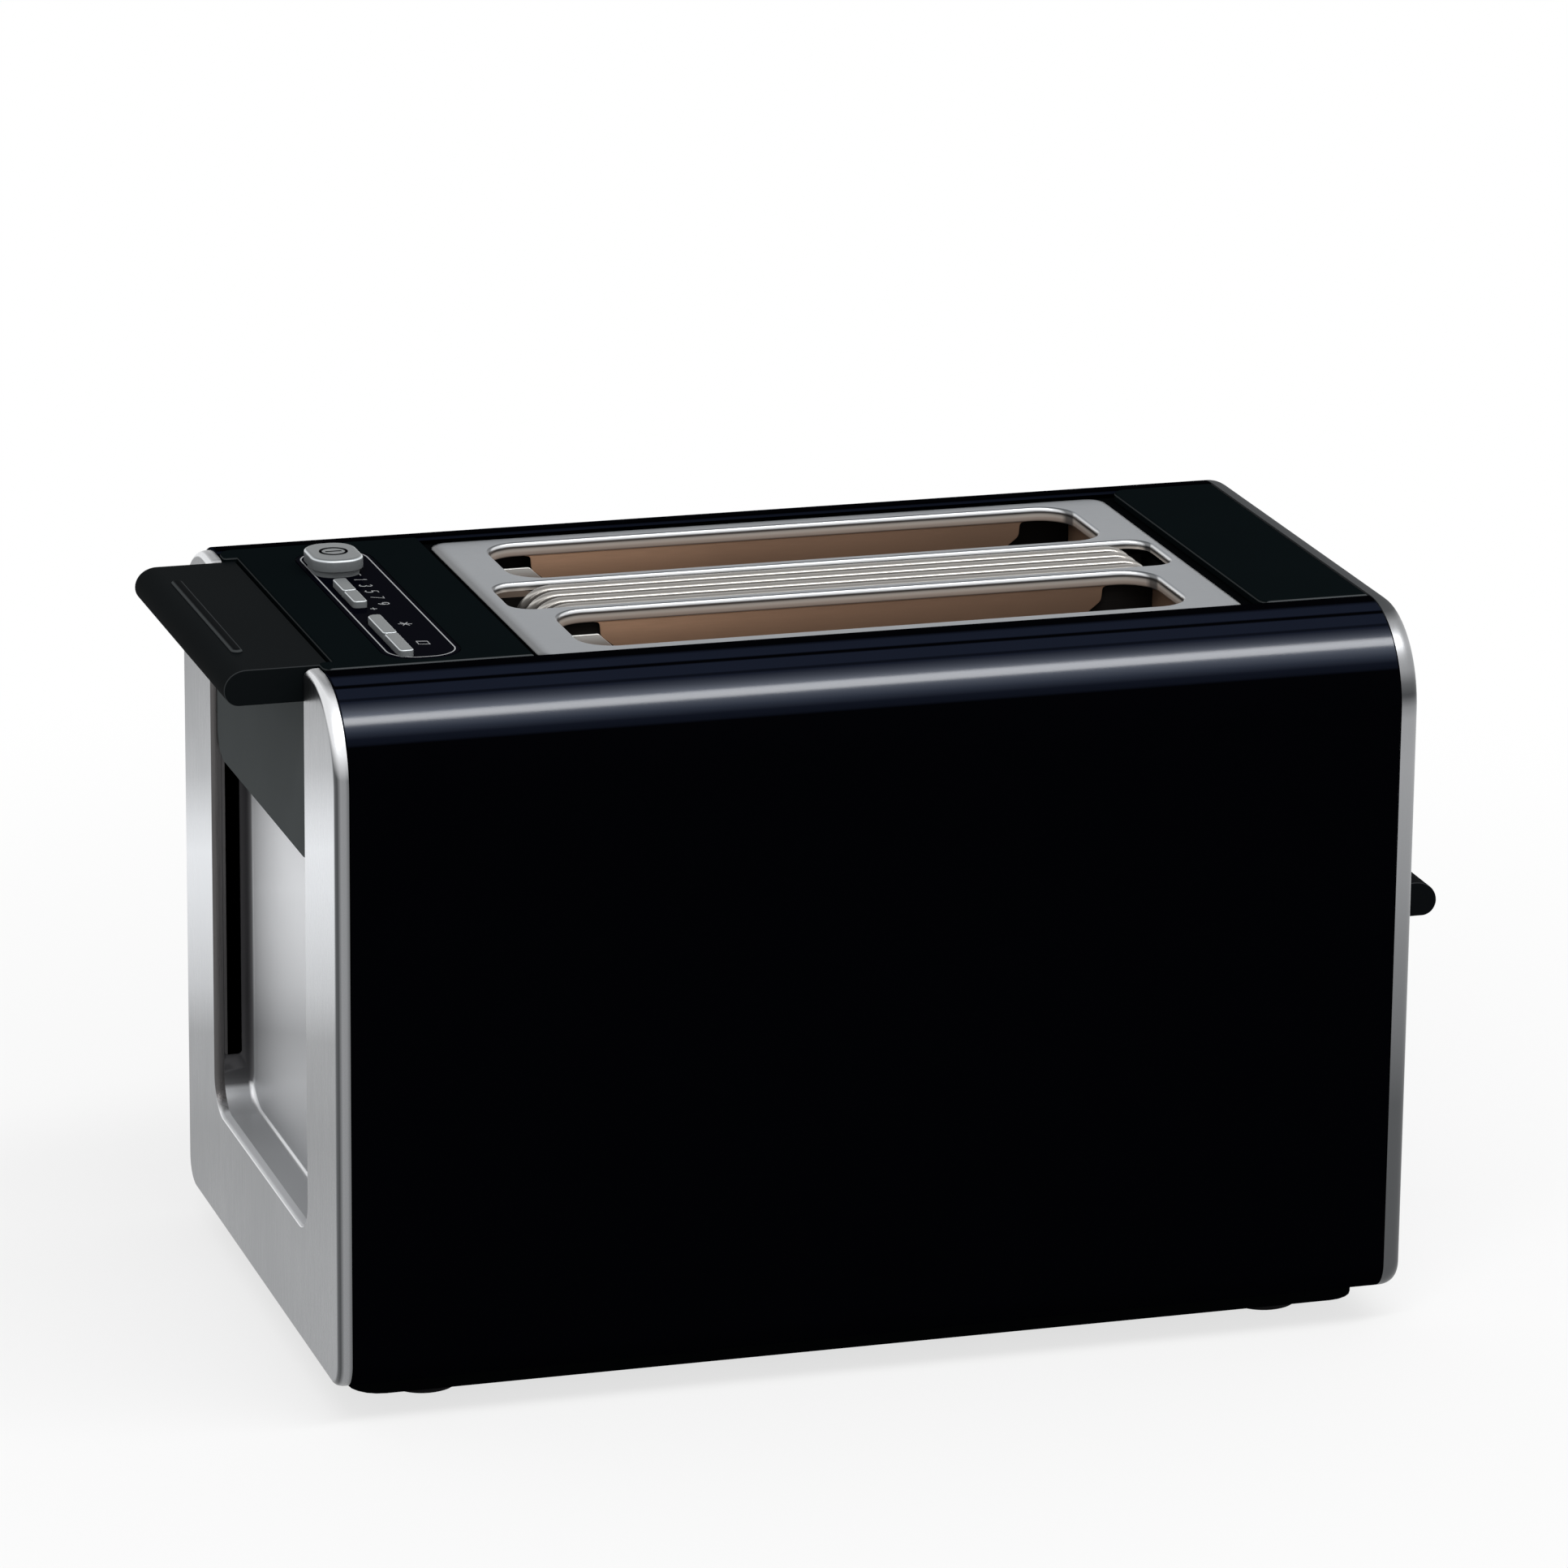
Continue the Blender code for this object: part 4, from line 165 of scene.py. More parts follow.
class Graph:
    """The node tree of one material or world."""

    def __init__(self, tree: bpy.types.NodeTree) -> None:
        """Take over a node tree, emptied of its nodes."""
        self.tree = tree
        tree.nodes.clear()

    def node(
        self,
        kind: str,
        settings: dict[str, object] | None = None,
        inputs: dict[int | str, Value] | None = None,
        output: int | str = 0,
    ) -> Signal | None:
        """Make a node, set it up and feed its sockets.

        Args:
            kind: The node's type.
            settings: Its properties, and "stops" for the stops of a colour ramp.
            inputs: Values or signals for its sockets, by number or name.
            output: The output socket to hand back.

        Returns:
            The signal of that output socket, or None for a node that has no output.
        """
        made = self.tree.nodes.new(kind)
        for name, value in (settings or {}).items():
            if name == "stops":
                self.set_stops(made.color_ramp.elements, value)
            else:
                setattr(made, name, value)
        for name, value in (inputs or {}).items():
            if isinstance(value, Signal):
                self.tree.links.new(value.socket, made.inputs[name])
            else:
                made.inputs[name].default_value = value
        return Signal(self, made.outputs[output]) if made.outputs else None

    @staticmethod
    def set_stops(elements: bpy.types.ColorRampElements, stops: Stops) -> None:
        """Give a colour ramp grey stops.

        Args:
            elements: The ramp's elements.
            stops: The stops, each a place and a brightness.
        """
        while len(elements) < len(stops):
            elements.new(1.0)
        while len(elements) > len(stops):
            elements.remove(elements[-1])
        for element, (place, shade) in zip(elements, stops):
            element.position = place
            element.color = (shade, shade, shade, 1.0)

    def noise(self, sizes: Triple, detail: float = 2.0) -> Signal:
        """Make noise in the piece's own coordinates.

        Args:
            sizes: The size of its features along X, Y and Z.
            detail: How many finer layers it has.

        Returns:
            The noise's signal.
        """
        place = self.node("ShaderNodeTexCoord", output=Source.PLACE.value)
        scaled = place * tuple(1 / size for size in sizes)
        return self.node("ShaderNodeTexNoise", inputs={"Vector": scaled, "Scale": 1.0, "Detail": detail})

    def along(
        self,
        axis: Axis,
        stops: Stops,
        mirrored: bool = False,
        source: Source = Source.PLACE,
        lean: float = 0.0,
    ) -> Signal:
        """A number that follows one axis.

        Args:
            axis: The axis.
            stops: Places along it, in order, and the number there.
            mirrored: Whether only the distance from the middle counts.
            source: Whether the place in metres counts, or the way that the surface faces.
            lean: How much a step towards the rear adds.

        Returns:
            The number's signal.
        """
        place = self.node("ShaderNodeTexCoord", output=source.value)
        value = self.node("ShaderNodeSeparateXYZ", inputs={0: place}, output=axis.value)
        if lean:
            depth = self.node("ShaderNodeSeparateXYZ", inputs={0: place}, output=Axis.DEPTH.value)
            value = value + depth * lean
        if mirrored:
            value = self.node("ShaderNodeMath", {"operation": "ABSOLUTE"}, {0: value})
        low = stops[0][0]
        span = stops[-1][0] - low
        scaled = [((stop - low) / span, number) for stop, number in stops]
        shown = self.node("ShaderNodeValToRGB", {"stops": scaled}, {0: (value - low) * (1 / span)})
        return self.node("ShaderNodeRGBToBW", inputs={0: shown})

    def mix(self, mask: Signal, first: Value, second: Value) -> Signal:
        """A colour that goes from a first to a second as a mask goes from zero to one."""
        return self.node("ShaderNodeMix", {"data_type": "RGBA"}, {0: mask, 6: first, 7: second}, 2)

    def tint(self, colour: Colour, darker: float, mask: Signal) -> Signal:
        """A colour that falls to a share of itself where a mask goes from one to zero."""
        return self.mix(mask, tuple(value * darker for value in colour) + (1.0,), colour + (1.0,))

    def bump(self, height: Signal, depth: float) -> Signal:
        """A normal from a height signal, whose full range is a depth in metres."""
        return self.node("ShaderNodeBump", inputs={"Strength": 1.0, "Distance": depth, "Height": height})


@dataclass(frozen=True)
class Band:
    """A second colour that shows at some places along an axis, mostly painted highlights, reflections
    and shade.
    """

    axis: Axis
    colour: Colour
    stops: Stops
    mirrored: bool = False
    source: Source = Source.PLACE
    dull: float = 0.0
    lean: float = 0.0
    within: "Band | None" = None

    def share(self, graph: Graph) -> Signal:
        """How much of the band shows at each place: nothing outside the band it lies within."""
        share = graph.along(self.axis, self.stops, self.mirrored, self.source, self.lean)
        return share * self.within.share(graph) if self.within else share


@dataclass(frozen=True)
class Finish:
    """A surface finish with even moulded grain, and the ground for the other finishes."""

    name: str
    slot: str
    colour: Colour
    roughness: float = 0.4
    metallic: float = 0.0
    specular: float = 0.5
    coat: float = 0.0
    coat_roughness: float = 0.05
    grain: Triple = (0.0004, 0.0004, 0.0004)
    depth: float = 0.00001
    spread: float = 0.08
    shade: float = 0.85
    bands: tuple[Band, ...] = ()
    wear_size: ClassVar[Triple] = (0.03, 0.03, 0.03)
    wear_detail: ClassVar[float] = 3.0
    wear_share: ClassVar[float] = 0.6
    made: ClassVar[dict[str, bpy.types.Material]] = {}

    def ground(self, graph: Graph, mask: Signal) -> Signal:
        """Shade the base colour by a mask and lay this finish's bands over it, mostly painted highlights
        and shade.

        Args:
            graph: The material's graph.
            mask: One where the colour is full, zero where it is darkest.

        Returns:
            The colour's signal.
        """
        colour = graph.tint(self.colour, self.shade, mask)
        for band in self.bands:
            colour = graph.mix(band.share(graph), colour, band.colour + (1.0,))
        return colour

    def surface(self, graph: Graph) -> dict[str, Value]:
        """Describe what changes over the surface.

        Args:
            graph: The material's graph.

        Returns:
            Values for sockets of the Principled BSDF, by name.
        """
        grain = graph.noise(self.grain)
        wear = graph.noise(self.wear_size, self.wear_detail)
        worn = wear * self.wear_share + grain * (1 - self.wear_share)
        return {
            "Base Color": self.ground(graph, wear),
            "Roughness": self.roughness + (worn - NOISE_MIDDLE) * self.spread * 2,
            "Normal": graph.bump(grain, self.depth),
        }

    def material(self) -> bpy.types.Material:
        """Make this finish's material at its first use.

        Returns:
            The material, the same at every use.
        """
        if self.name in self.made:
            return self.made[self.name]
        material = bpy.data.materials.new(self.name)
        material.use_nodes = True
        graph = Graph(material.node_tree)
        inputs: dict[int | str, Value] = {
            "Base Color": self.colour + (1.0,),
            "Metallic": self.metallic,
            "Roughness": self.roughness,
            "Specular IOR Level": self.specular,
            "Coat Weight": self.coat,
            "Coat Roughness": self.coat_roughness,
        }
        inputs.update(self.surface(graph))
        shader = graph.node("ShaderNodeBsdfPrincipled", inputs=inputs)
        graph.node("ShaderNodeOutputMaterial", inputs={"Surface": shader})
        self.made[self.name] = material
        return material


@dataclass(frozen=True)
class Lacquer(Finish):
    """Deep gloss lacquer whose clear coat follows the height."""

    coat_stops: Stops = ((0.0, 0.0), (1.0, 0.0))
    flow_size: ClassVar[Triple] = (0.02, 0.02, 0.02)
    dust_size: ClassVar[Triple] = (0.0006, 0.0006, 0.0006)

    def surface(self, graph: Graph) -> dict[str, Value]:
        """Describe the lacquer's faint flow marks and its clear coat.

        Args:
            graph: The material's graph.

        Returns:
            Values for sockets of the Principled BSDF, by name.
        """
        flow = graph.noise(self.flow_size, detail=1.0)
        dust = graph.noise(self.dust_size)
        return {
            "Base Color": self.ground(graph, flow),
            "Roughness": self.roughness + dust * self.spread,
            "Coat Weight": graph.along(Axis.HEIGHT, self.coat_stops),
            "Normal": graph.bump(flow, self.depth),
        }


@dataclass(frozen=True)
class BrushedSteel(Finish):
    """Steel with long brushed scratches, fine across the grain and long along it."""

    cloud_size: ClassVar[Triple] = (0.05, 0.05, 0.05)
    scratch_detail: ClassVar[float] = 3.0
    scratch_stops: ClassVar[Stops] = ((0.3, 0.0), (0.7, 1.0))
    scratch_share: ClassVar[float] = 0.7

    def surface(self, graph: Graph) -> dict[str, Value]:
        """Describe the scratches and the slow cloudiness under them.

        Args:
            graph: The material's graph.

        Returns:
            Values for sockets of the Principled BSDF, by name.
        """
        scratches = graph.noise(self.grain, self.scratch_detail)
        cloud = graph.noise(self.cloud_size)
        sharp = graph.node("ShaderNodeValToRGB", {"stops": self.scratch_stops}, {0: scratches})
        mask = scratches * self.scratch_share + cloud * (1 - self.scratch_share)
        fine = (scratches - NOISE_MIDDLE) * self.spread * 2
        described = {
            "Base Color": self.ground(graph, mask),
            "Roughness": self.roughness + fine + (cloud - NOISE_MIDDLE) * self.spread,
            "Normal": graph.bump(sharp, self.depth),
        }
        settings = {"operation": "MULTIPLY_ADD"}
        for band in self.bands:
            if band.dull:
                inputs = {0: band.share(graph), 1: -band.dull, 2: self.metallic}
                described["Metallic"] = graph.node("ShaderNodeMath", settings, inputs)
        return described


@dataclass(frozen=True)
class Board(Finish):
    """A circuit board's green mask with paler copper tracks under it."""

    cell_scale: ClassVar[float] = 220.0
    track_edge: ClassVar[float] = 0.5
    track_shade: ClassVar[float] = 0.45
    track_roughness: ClassVar[float] = 0.1
    track_height: ClassVar[float] = 0.00005

    def surface(self, graph: Graph) -> dict[str, Value]:
        """Describe the tracks.

        Args:
            graph: The material's graph.

        Returns:
            Values for sockets of the Principled BSDF, by name.
        """
        cells = graph.node(
            "ShaderNodeTexVoronoi",
            {"distance": "MANHATTAN", "feature": "F1"},
            {
                "Vector": graph.node("ShaderNodeTexCoord", output=Source.PLACE.value),
                "Scale": self.cell_scale,
            },
        )
        above = {"operation": "GREATER_THAN"}
        track = graph.node("ShaderNodeMath", above, {0: cells, 1: self.track_edge})
        return {
            "Base Color": graph.tint(self.colour, self.track_shade, track),
            "Roughness": self.roughness + track * self.track_roughness,
            "Normal": graph.bump(track, self.track_height),
        }


class Finishes:
    """The finishes of this toaster."""

    # Painted reflection on the shell: navy stripes with thin dark lines along its top curve.
    PAINTED_NAVY_REFLECTION: ClassVar[Colour] = (0.0073, 0.0097, 0.0180)
    # Painted highlight on the shell: a bluish band under the lamp's highlight.
    PAINTED_SKY_HIGHLIGHT: ClassVar[Colour] = (0.045, 0.058, 0.088)
    # Painted highlight lines along the rounded edges of black plastic.
    PAINTED_EDGE_HIGHLIGHT: ClassVar[Colour] = (0.050, 0.055, 0.057)
    # Dimmer painted highlight lines along the handles' eased ends.
    PAINTED_DIM_EDGE_HIGHLIGHT: ClassVar[Colour] = (0.032, 0.035, 0.037)
    # Painted reflection: soft grey bands up the steel end caps and recesses.
    PAINTED_REFLECTION_GREY: ClassVar[Colour] = (0.125, 0.130, 0.138)
    # Painted shade: dark lines and darker bands on steel.
    PAINTED_STEEL_SHADE: ClassVar[Colour] = (0.060, 0.063, 0.066)
    # Where the painted reflection bands lie up the left cap, and how strongly they show.
    CAP_PAINTED_REFLECTION: ClassVar[Stops] = (
        (0.0200, 0.80), (0.0495, 0.88), (0.0625, 0.85), (0.0755, 0.83), (0.0885, 0.45), (0.1015, 0.24),
        (0.1140, 0.08), (0.1250, 0.00), (0.1335, 0.18), (0.1460, 0.61), (0.1590, 0.77), (0.1860, 0.94),
    )
    # The same for the recesses.
    RECESS_PAINTED_REFLECTION: ClassVar[Stops] = (
        (0.0200, 0.55), (0.0495, 0.62), (0.0625, 0.50), (0.0755, 0.60), (0.0885, 0.30), (0.1015, 0.12),
        (0.1140, 0.0), (0.1335, 0.05), (0.1600, 0.4), (0.1860, 0.6),
    )
    # How much the painted reflection bands lean with depth.
    PAINTED_REFLECTION_LEAN: ClassVar[float] = 0.30
    # Painted highlight on steel bends, edges and fillets.
    PAINTED_STEEL_HIGHLIGHT: ClassVar[Colour] = (0.86, 0.87, 0.89)
    # Painted shade on the recesses' side walls.
    PAINTED_WALL_SHADE: ClassVar[Colour] = (0.030, 0.029, 0.031)

    # Gloss black shell with painted navy reflection stripes and a painted bluish highlight band along
    # its curve. Its clear coat lies only where that highlight falls.
    SHELL = Lacquer(
        "shell_lacquer", "gloss_black", (0.0008, 0.0009, 0.0015), roughness=0.24, specular=0.0,
        coat_roughness=0.13, depth=0.000003, spread=0.02,
        bands=(
            Band(
                Axis.HEIGHT, PAINTED_NAVY_REFLECTION,
                (
                    (0.1744, 0.0), (0.1750, 0.45), (0.1790, 1.0), (0.1836, 1.0), (0.1838, 0.4),
                    (0.1841, 0.4), (0.1843, 1.0), (0.1858, 1.0), (0.1860, 0.0), (0.1863, 0.0),
                    (0.1865, 1.0), (0.18735, 0.95), (0.18765, 0.0),
                ),
            ),
            Band(
                Axis.HEIGHT, PAINTED_SKY_HIGHLIGHT,
                ((0.1762, 0.0), (0.1785, 0.45), (0.1808, 1.0), (0.1822, 0.35), (0.1834, 0.0)),
            ),
        ),
        coat_stops=(
            (0.1760, 0.0), (0.1775, 0.12), (0.1788, 0.6), (0.1798, 1.0), (0.1816, 1.0), (0.1826, 0.35),
            (0.1836, 0.0),
        ),
    )
    PANEL = Lacquer(
        "panel_lacquer", "gloss_panel", (0.0012, 0.0014, 0.0036), roughness=0.12, specular=0.0,
        depth=0.000002, spread=0.02, coat_stops=((0.0, 0.01), (1.0, 0.01)),
    )
    # Satin black decks with painted highlight lines along their rounded top edge and along their front
    # edge.
    DECK = Finish(
        "deck_plastic", "satin_black", (0.0034, 0.0054, 0.0062), roughness=0.42, specular=0.0,
        bands=(
            Band(
                Axis.HEIGHT, PAINTED_EDGE_HIGHLIGHT,
                ((0.18730, 0.0), (0.18742, 0.85), (0.18758, 0.85), (0.18775, 0.0)),
            ),
            Band(Axis.DEPTH, (0.064, 0.070, 0.074), ((-0.0587, 1.0), (-0.0577, 1.0), (-0.0574, 0.0))),
        ),
    )
    # Satin black lever handle with painted highlight lines along its two eased ends.
    LEVER = Finish(
        "lever_plastic", "satin_black", (0.0040, 0.0053, 0.0060), roughness=0.36, specular=0.0,
        coat=0.03, coat_roughness=0.3,
        bands=(
            Band(
                Axis.DEPTH, PAINTED_DIM_EDGE_HIGHLIGHT, ((0.0499, 0.0), (0.0501, 1.0), (0.0503, 1.0), (0.0504, 0.0)),
                mirrored=True,
            ),
        ),
    )
    # The handle's rib, with a painted highlight line along its top.
    RIB = Finish(
        "rib_plastic", "satin_black", (0.0026, 0.0034, 0.0040), roughness=0.36, specular=0.0, coat=0.03,
        coat_roughness=0.3,
        bands=(
            Band(
                Axis.HEIGHT, PAINTED_EDGE_HIGHLIGHT, ((0.18705, 0.0), (0.1872, 1.0), (0.1875, 1.0), (0.1877, 0.0)),
            ),
        ),
    )
    # Satin black bun lever handle with painted highlight lines along its two eased ends.
    BUN_LEVER = Finish(
        "bun_lever_plastic", "satin_black", (0.0032, 0.0040, 0.0048), roughness=0.36, specular=0.0,
        coat=0.03, coat_roughness=0.3,
        bands=(
            Band(
                Axis.DEPTH, PAINTED_DIM_EDGE_HIGHLIGHT, ((0.0489, 0.0), (0.0491, 1.0), (0.0493, 1.0), (0.0494, 0.0)),
                mirrored=True,
            ),
        ),
    )
    FRAME = Finish(
        "frame_plastic", "satin_black", (0.0016, 0.0020, 0.0024), roughness=0.5, specular=0.0,
    )
    SKIRT = Finish(
        "skirt_paint", "skirt_grey", (0.085, 0.093, 0.095), roughness=0.5, specular=0.0, spread=0.05,
    )
    # Left cap steel. Painted over it are grey reflection bands up its height, a grey rolled rim with
    # dark reflection lines, highlights where faces turn upwards and along the rim's top edge, a light
    # tone on the ledge's upper faces, and shade on the mouth's inner walls.
    STEEL_LEFT = BrushedSteel(
        "steel_left_cap", "brushed_steel", (0.84, 0.865, 0.90), roughness=0.30, metallic=1.0,
        specular=0.0, grain=(0.00022, 0.00022, 0.012), depth=0.000010, spread=0.10, shade=0.88,
        bands=(
            Band(Axis.HEIGHT, PAINTED_REFLECTION_GREY, CAP_PAINTED_REFLECTION, lean=PAINTED_REFLECTION_LEAN),
            Band(Axis.LENGTH, (0.285, 0.290, 0.300), ((-0.1400, 0.0), (-0.1398, 1.0), (-0.1366, 1.0))),
            Band(
                Axis.LENGTH, PAINTED_STEEL_SHADE,
                (
                    (-0.1400, 0.0), (-0.1398, 0.8), (-0.1393, 0.95), (-0.1385, 0.0), (-0.1374, 0.05),
                    (-0.1366, 0.6),
                ),
            ),
            Band(
                Axis.HEIGHT, PAINTED_STEEL_HIGHLIGHT, ((0.15, 0.0), (0.40, 0.9), (0.85, 0.8), (0.96, 0.0)),
                source=Source.FACING,
            ),
            Band(
                Axis.HEIGHT, (0.62, 0.63, 0.65), ((0.86, 0.0), (0.95, 1.0)), source=Source.FACING,
                dull=0.9,
                within=Band(Axis.HEIGHT, PAINTED_STEEL_HIGHLIGHT, ((0.045, 1.0), (0.050, 0.0))),
            ),
            Band(
                Axis.LENGTH, PAINTED_STEEL_HIGHLIGHT, ((-0.1399, 1.0), (-0.1395, 1.0), (-0.1389, 0.0)),
                within=Band(Axis.HEIGHT, PAINTED_STEEL_HIGHLIGHT, ((0.80, 0.0), (0.95, 1.0)), source=Source.FACING),
            ),
            Band(
                Axis.DEPTH, (0.100, 0.096, 0.096), ((0.35, 0.0), (0.75, 1.0)), mirrored=True,
                source=Source.FACING,
                within=Band(Axis.DEPTH, PAINTED_WALL_SHADE, ((0.0600, 1.0), (0.0700, 0.0)), mirrored=True),
            ),
        ),
    )
    # Right cap steel, a darker copy of the left cap's steel. It has painted reflection bands up its
    # height, a painted darker tone on the face that looks straight out, and a painted dark line along
    # its top edge.
    STEEL_RIGHT = BrushedSteel(
        "steel_right_cap", "brushed_steel", (0.70, 0.71, 0.73), roughness=0.34, metallic=1.0,
        specular=0.0, grain=(0.00022, 0.00022, 0.012), depth=0.000005, spread=0.08, shade=0.90,
        bands=(
            Band(
                Axis.HEIGHT, PAINTED_STEEL_SHADE,
                (
                    (0.020, 0.95), (0.060, 0.94), (0.080, 0.83), (0.100, 0.75), (0.120, 0.64),
                    (0.150, 0.54), (0.162, 0.56), (0.165, 0.70), (0.168, 1.0), (0.171, 0.90),
                    (0.174, 0.66), (0.177, 0.60), (0.180, 0.45), (0.183, 0.62), (0.186, 0.80),
                    (0.188, 0.95),
                ),
            ),
            Band(Axis.LENGTH, (0.58, 0.60, 0.63), ((0.80, 0.0), (0.97, 1.0)), source=Source.FACING),
            Band(Axis.HEIGHT, PAINTED_STEEL_SHADE, ((0.1845, 0.0), (0.1862, 0.9), (0.1880, 1.0)), dull=0.92),
        ),
    )
    # Recess steel, a paler and less metallic copy of the cap steel, painted light so that the floor
    # reads bright. It has painted grey reflection bands up its height, painted shade on the side walls
    # and a painted highlight on fillets that turn upwards.
    STEEL_RECESS = BrushedSteel(
        "steel_recess", "brushed_steel", (0.95, 0.965, 0.99), roughness=0.36, metallic=0.40,
        specular=0.0, grain=(0.00022, 0.00022, 0.012), depth=0.000008, spread=0.10, shade=0.90,
        bands=(
            Band(Axis.HEIGHT, PAINTED_REFLECTION_GREY, RECESS_PAINTED_REFLECTION, lean=PAINTED_REFLECTION_LEAN),
            Band(
                Axis.DEPTH, PAINTED_WALL_SHADE, ((0.0500, 0.0), (0.0505, 0.9), (0.0510, 1.0)), mirrored=True,
                within=Band(Axis.HEIGHT, PAINTED_WALL_SHADE, ((0.0440, 0.90), (0.0560, 0.97), (0.0700, 1.0))),
            ),
            Band(
                Axis.HEIGHT, (0.97, 0.98, 1.0), ((0.25, 0.0), (0.40, 1.0), (0.70, 1.0), (0.85, 0.0)),
                source=Source.FACING,
                within=Band(Axis.LENGTH, PAINTED_STEEL_HIGHLIGHT, ((-0.1312, 0.0), (-0.1307, 1.0))),
            ),
        ),
    )
    # Slot plate steel. Painted over it are a highlight along the rolled lips and the plate's dished
    # edge, and lip walls made pale and less metallic as painted light, browner towards their foot. It
    # also has painted dark lines under the roll and at the lips' foot, and painted shade at the plate's
    # two ends and on faces turned to the front.
    STEEL_SATIN = BrushedSteel(
        "steel_satin", "satin_steel", (0.200, 0.215, 0.234), roughness=0.30, metallic=1.0, specular=0.0,
        grain=(0.004, 0.00018, 0.00018), depth=0.000003, spread=0.05, shade=0.92,
        bands=(
            Band(
                Axis.HEIGHT, (0.68, 0.69, 0.70),
                ((0.1856, 0.0), (0.1861, 1.0), (0.1864, 1.0), (0.1867, 0.0)),
            ),
            Band(
                Axis.HEIGHT, (0.82, 0.75, 0.68), ((0.1832, 1.0), (0.1850, 0.9), (0.1858, 0.0)),
                dull=0.7,
            ),
            Band(Axis.HEIGHT, (0.46, 0.36, 0.30), ((0.1832, 1.0), (0.1840, 0.7), (0.1848, 0.0))),
            Band(
                Axis.HEIGHT, (0.03, 0.027, 0.025),
                (
                    (0.1832, 0.8), (0.1836, 0.1), (0.1845, 0.0), (0.1851, 0.25), (0.1855, 0.75),
                    (0.1858, 0.0),
                ),
            ),
            Band(
                Axis.LENGTH, PAINTED_STEEL_SHADE,
                ((-0.0812, 1.0), (-0.0800, 0.7), (-0.0780, 0.0), (0.1015, 0.0), (0.1028, 0.7)),
            ),
            Band(
                Axis.DEPTH, PAINTED_STEEL_SHADE, ((-0.60, 0.0), (-0.45, 0.8), (-0.20, 0.8), (-0.08, 0.0)),
                source=Source.FACING,
            ),
        ),
    )
    # Heat-tinted liner steel, with painted shade that darkens it deeper down the slot and towards the +X
    # end.
    STEEL_WARM = BrushedSteel(
        "steel_heat_tinted", "satin_steel", (0.80, 0.50, 0.33), roughness=0.38, metallic=0.6,
        specular=0.0, grain=(0.006, 0.0003, 0.0003), depth=0.000004, spread=0.08, shade=0.8,
        bands=(
            Band(Axis.HEIGHT, (0.16, 0.10, 0.065), ((0.1690, 1.0), (0.1770, 0.35), (0.1810, 0.0))),
            Band(Axis.LENGTH, (0.30, 0.19, 0.13), ((-0.0500, 0.0), (0.0, 0.6), (0.0700, 0.9))),
        ),
    )
    # Pale sill steel, with painted shade that darkens it towards its lower edge.
    STEEL_SILL = BrushedSteel(
        "steel_sill", "sheet_steel", (0.90, 0.89, 0.86), roughness=0.34, metallic=0.45, specular=0.0,
        grain=(0.006, 0.0003, 0.0003), depth=0.000004, spread=0.06, shade=0.9,
        bands=(Band(Axis.HEIGHT, (0.32, 0.25, 0.20), ((0.1750, 1.0), (0.1775, 0.6), (0.1792, 0.0))),),
    )
    # Rod steel with painted shade and painted highlight lines, set by the way the surface faces: dark
    # where it turns sideways and down, with light stripes near the top.
    STEEL_WIRE = BrushedSteel(
        "steel_wire", "polished_steel", (0.52, 0.50, 0.47), roughness=0.22, metallic=1.0, specular=0.0,
        grain=(0.005, 0.0003, 0.0003), depth=0.000003, spread=0.05, shade=0.9,
        bands=(
            Band(
                Axis.HEIGHT, (0.060, 0.055, 0.050),
                (
                    (-1.0, 1.0), (0.25, 1.0), (0.40, 0.97), (0.52, 0.90), (0.60, 0.78), (0.66, 0.40),
                    (0.70, 0.0), (0.75, 0.05), (0.82, 0.50), (0.90, 0.64), (0.95, 0.50), (0.985, 0.40),
                    (1.0, 0.55),
                ),
                source=Source.FACING, dull=0.5,
            ),
        ),
    )
    STEEL_SHEET = BrushedSteel(
        "steel_sheet", "sheet_steel", (0.5, 0.49, 0.47), roughness=0.36, metallic=1.0,
        grain=(0.01, 0.0005, 0.0005), depth=0.000006, spread=0.1, shade=0.8,
    )
    # Heat-darkened steel, made darker still as painted shade inside the casing.
    STEEL_HEAT_DARKENED_AND_SHADED = BrushedSteel(
        "steel_heat_darkened_and_shaded", "sheet_steel", (0.020, 0.018, 0.017), roughness=0.5, metallic=0.4,
        specular=0.0, grain=(0.01, 0.0005, 0.0005), depth=0.000006, spread=0.1, shade=0.6,
    )
    STEEL_SCREW = BrushedSteel(
        "steel_screw", "polished_steel", (0.6, 0.59, 0.56), roughness=0.28, metallic=1.0,
        grain=(0.0004, 0.0004, 0.0004), depth=0.000006, spread=0.1, shade=0.85,
    )
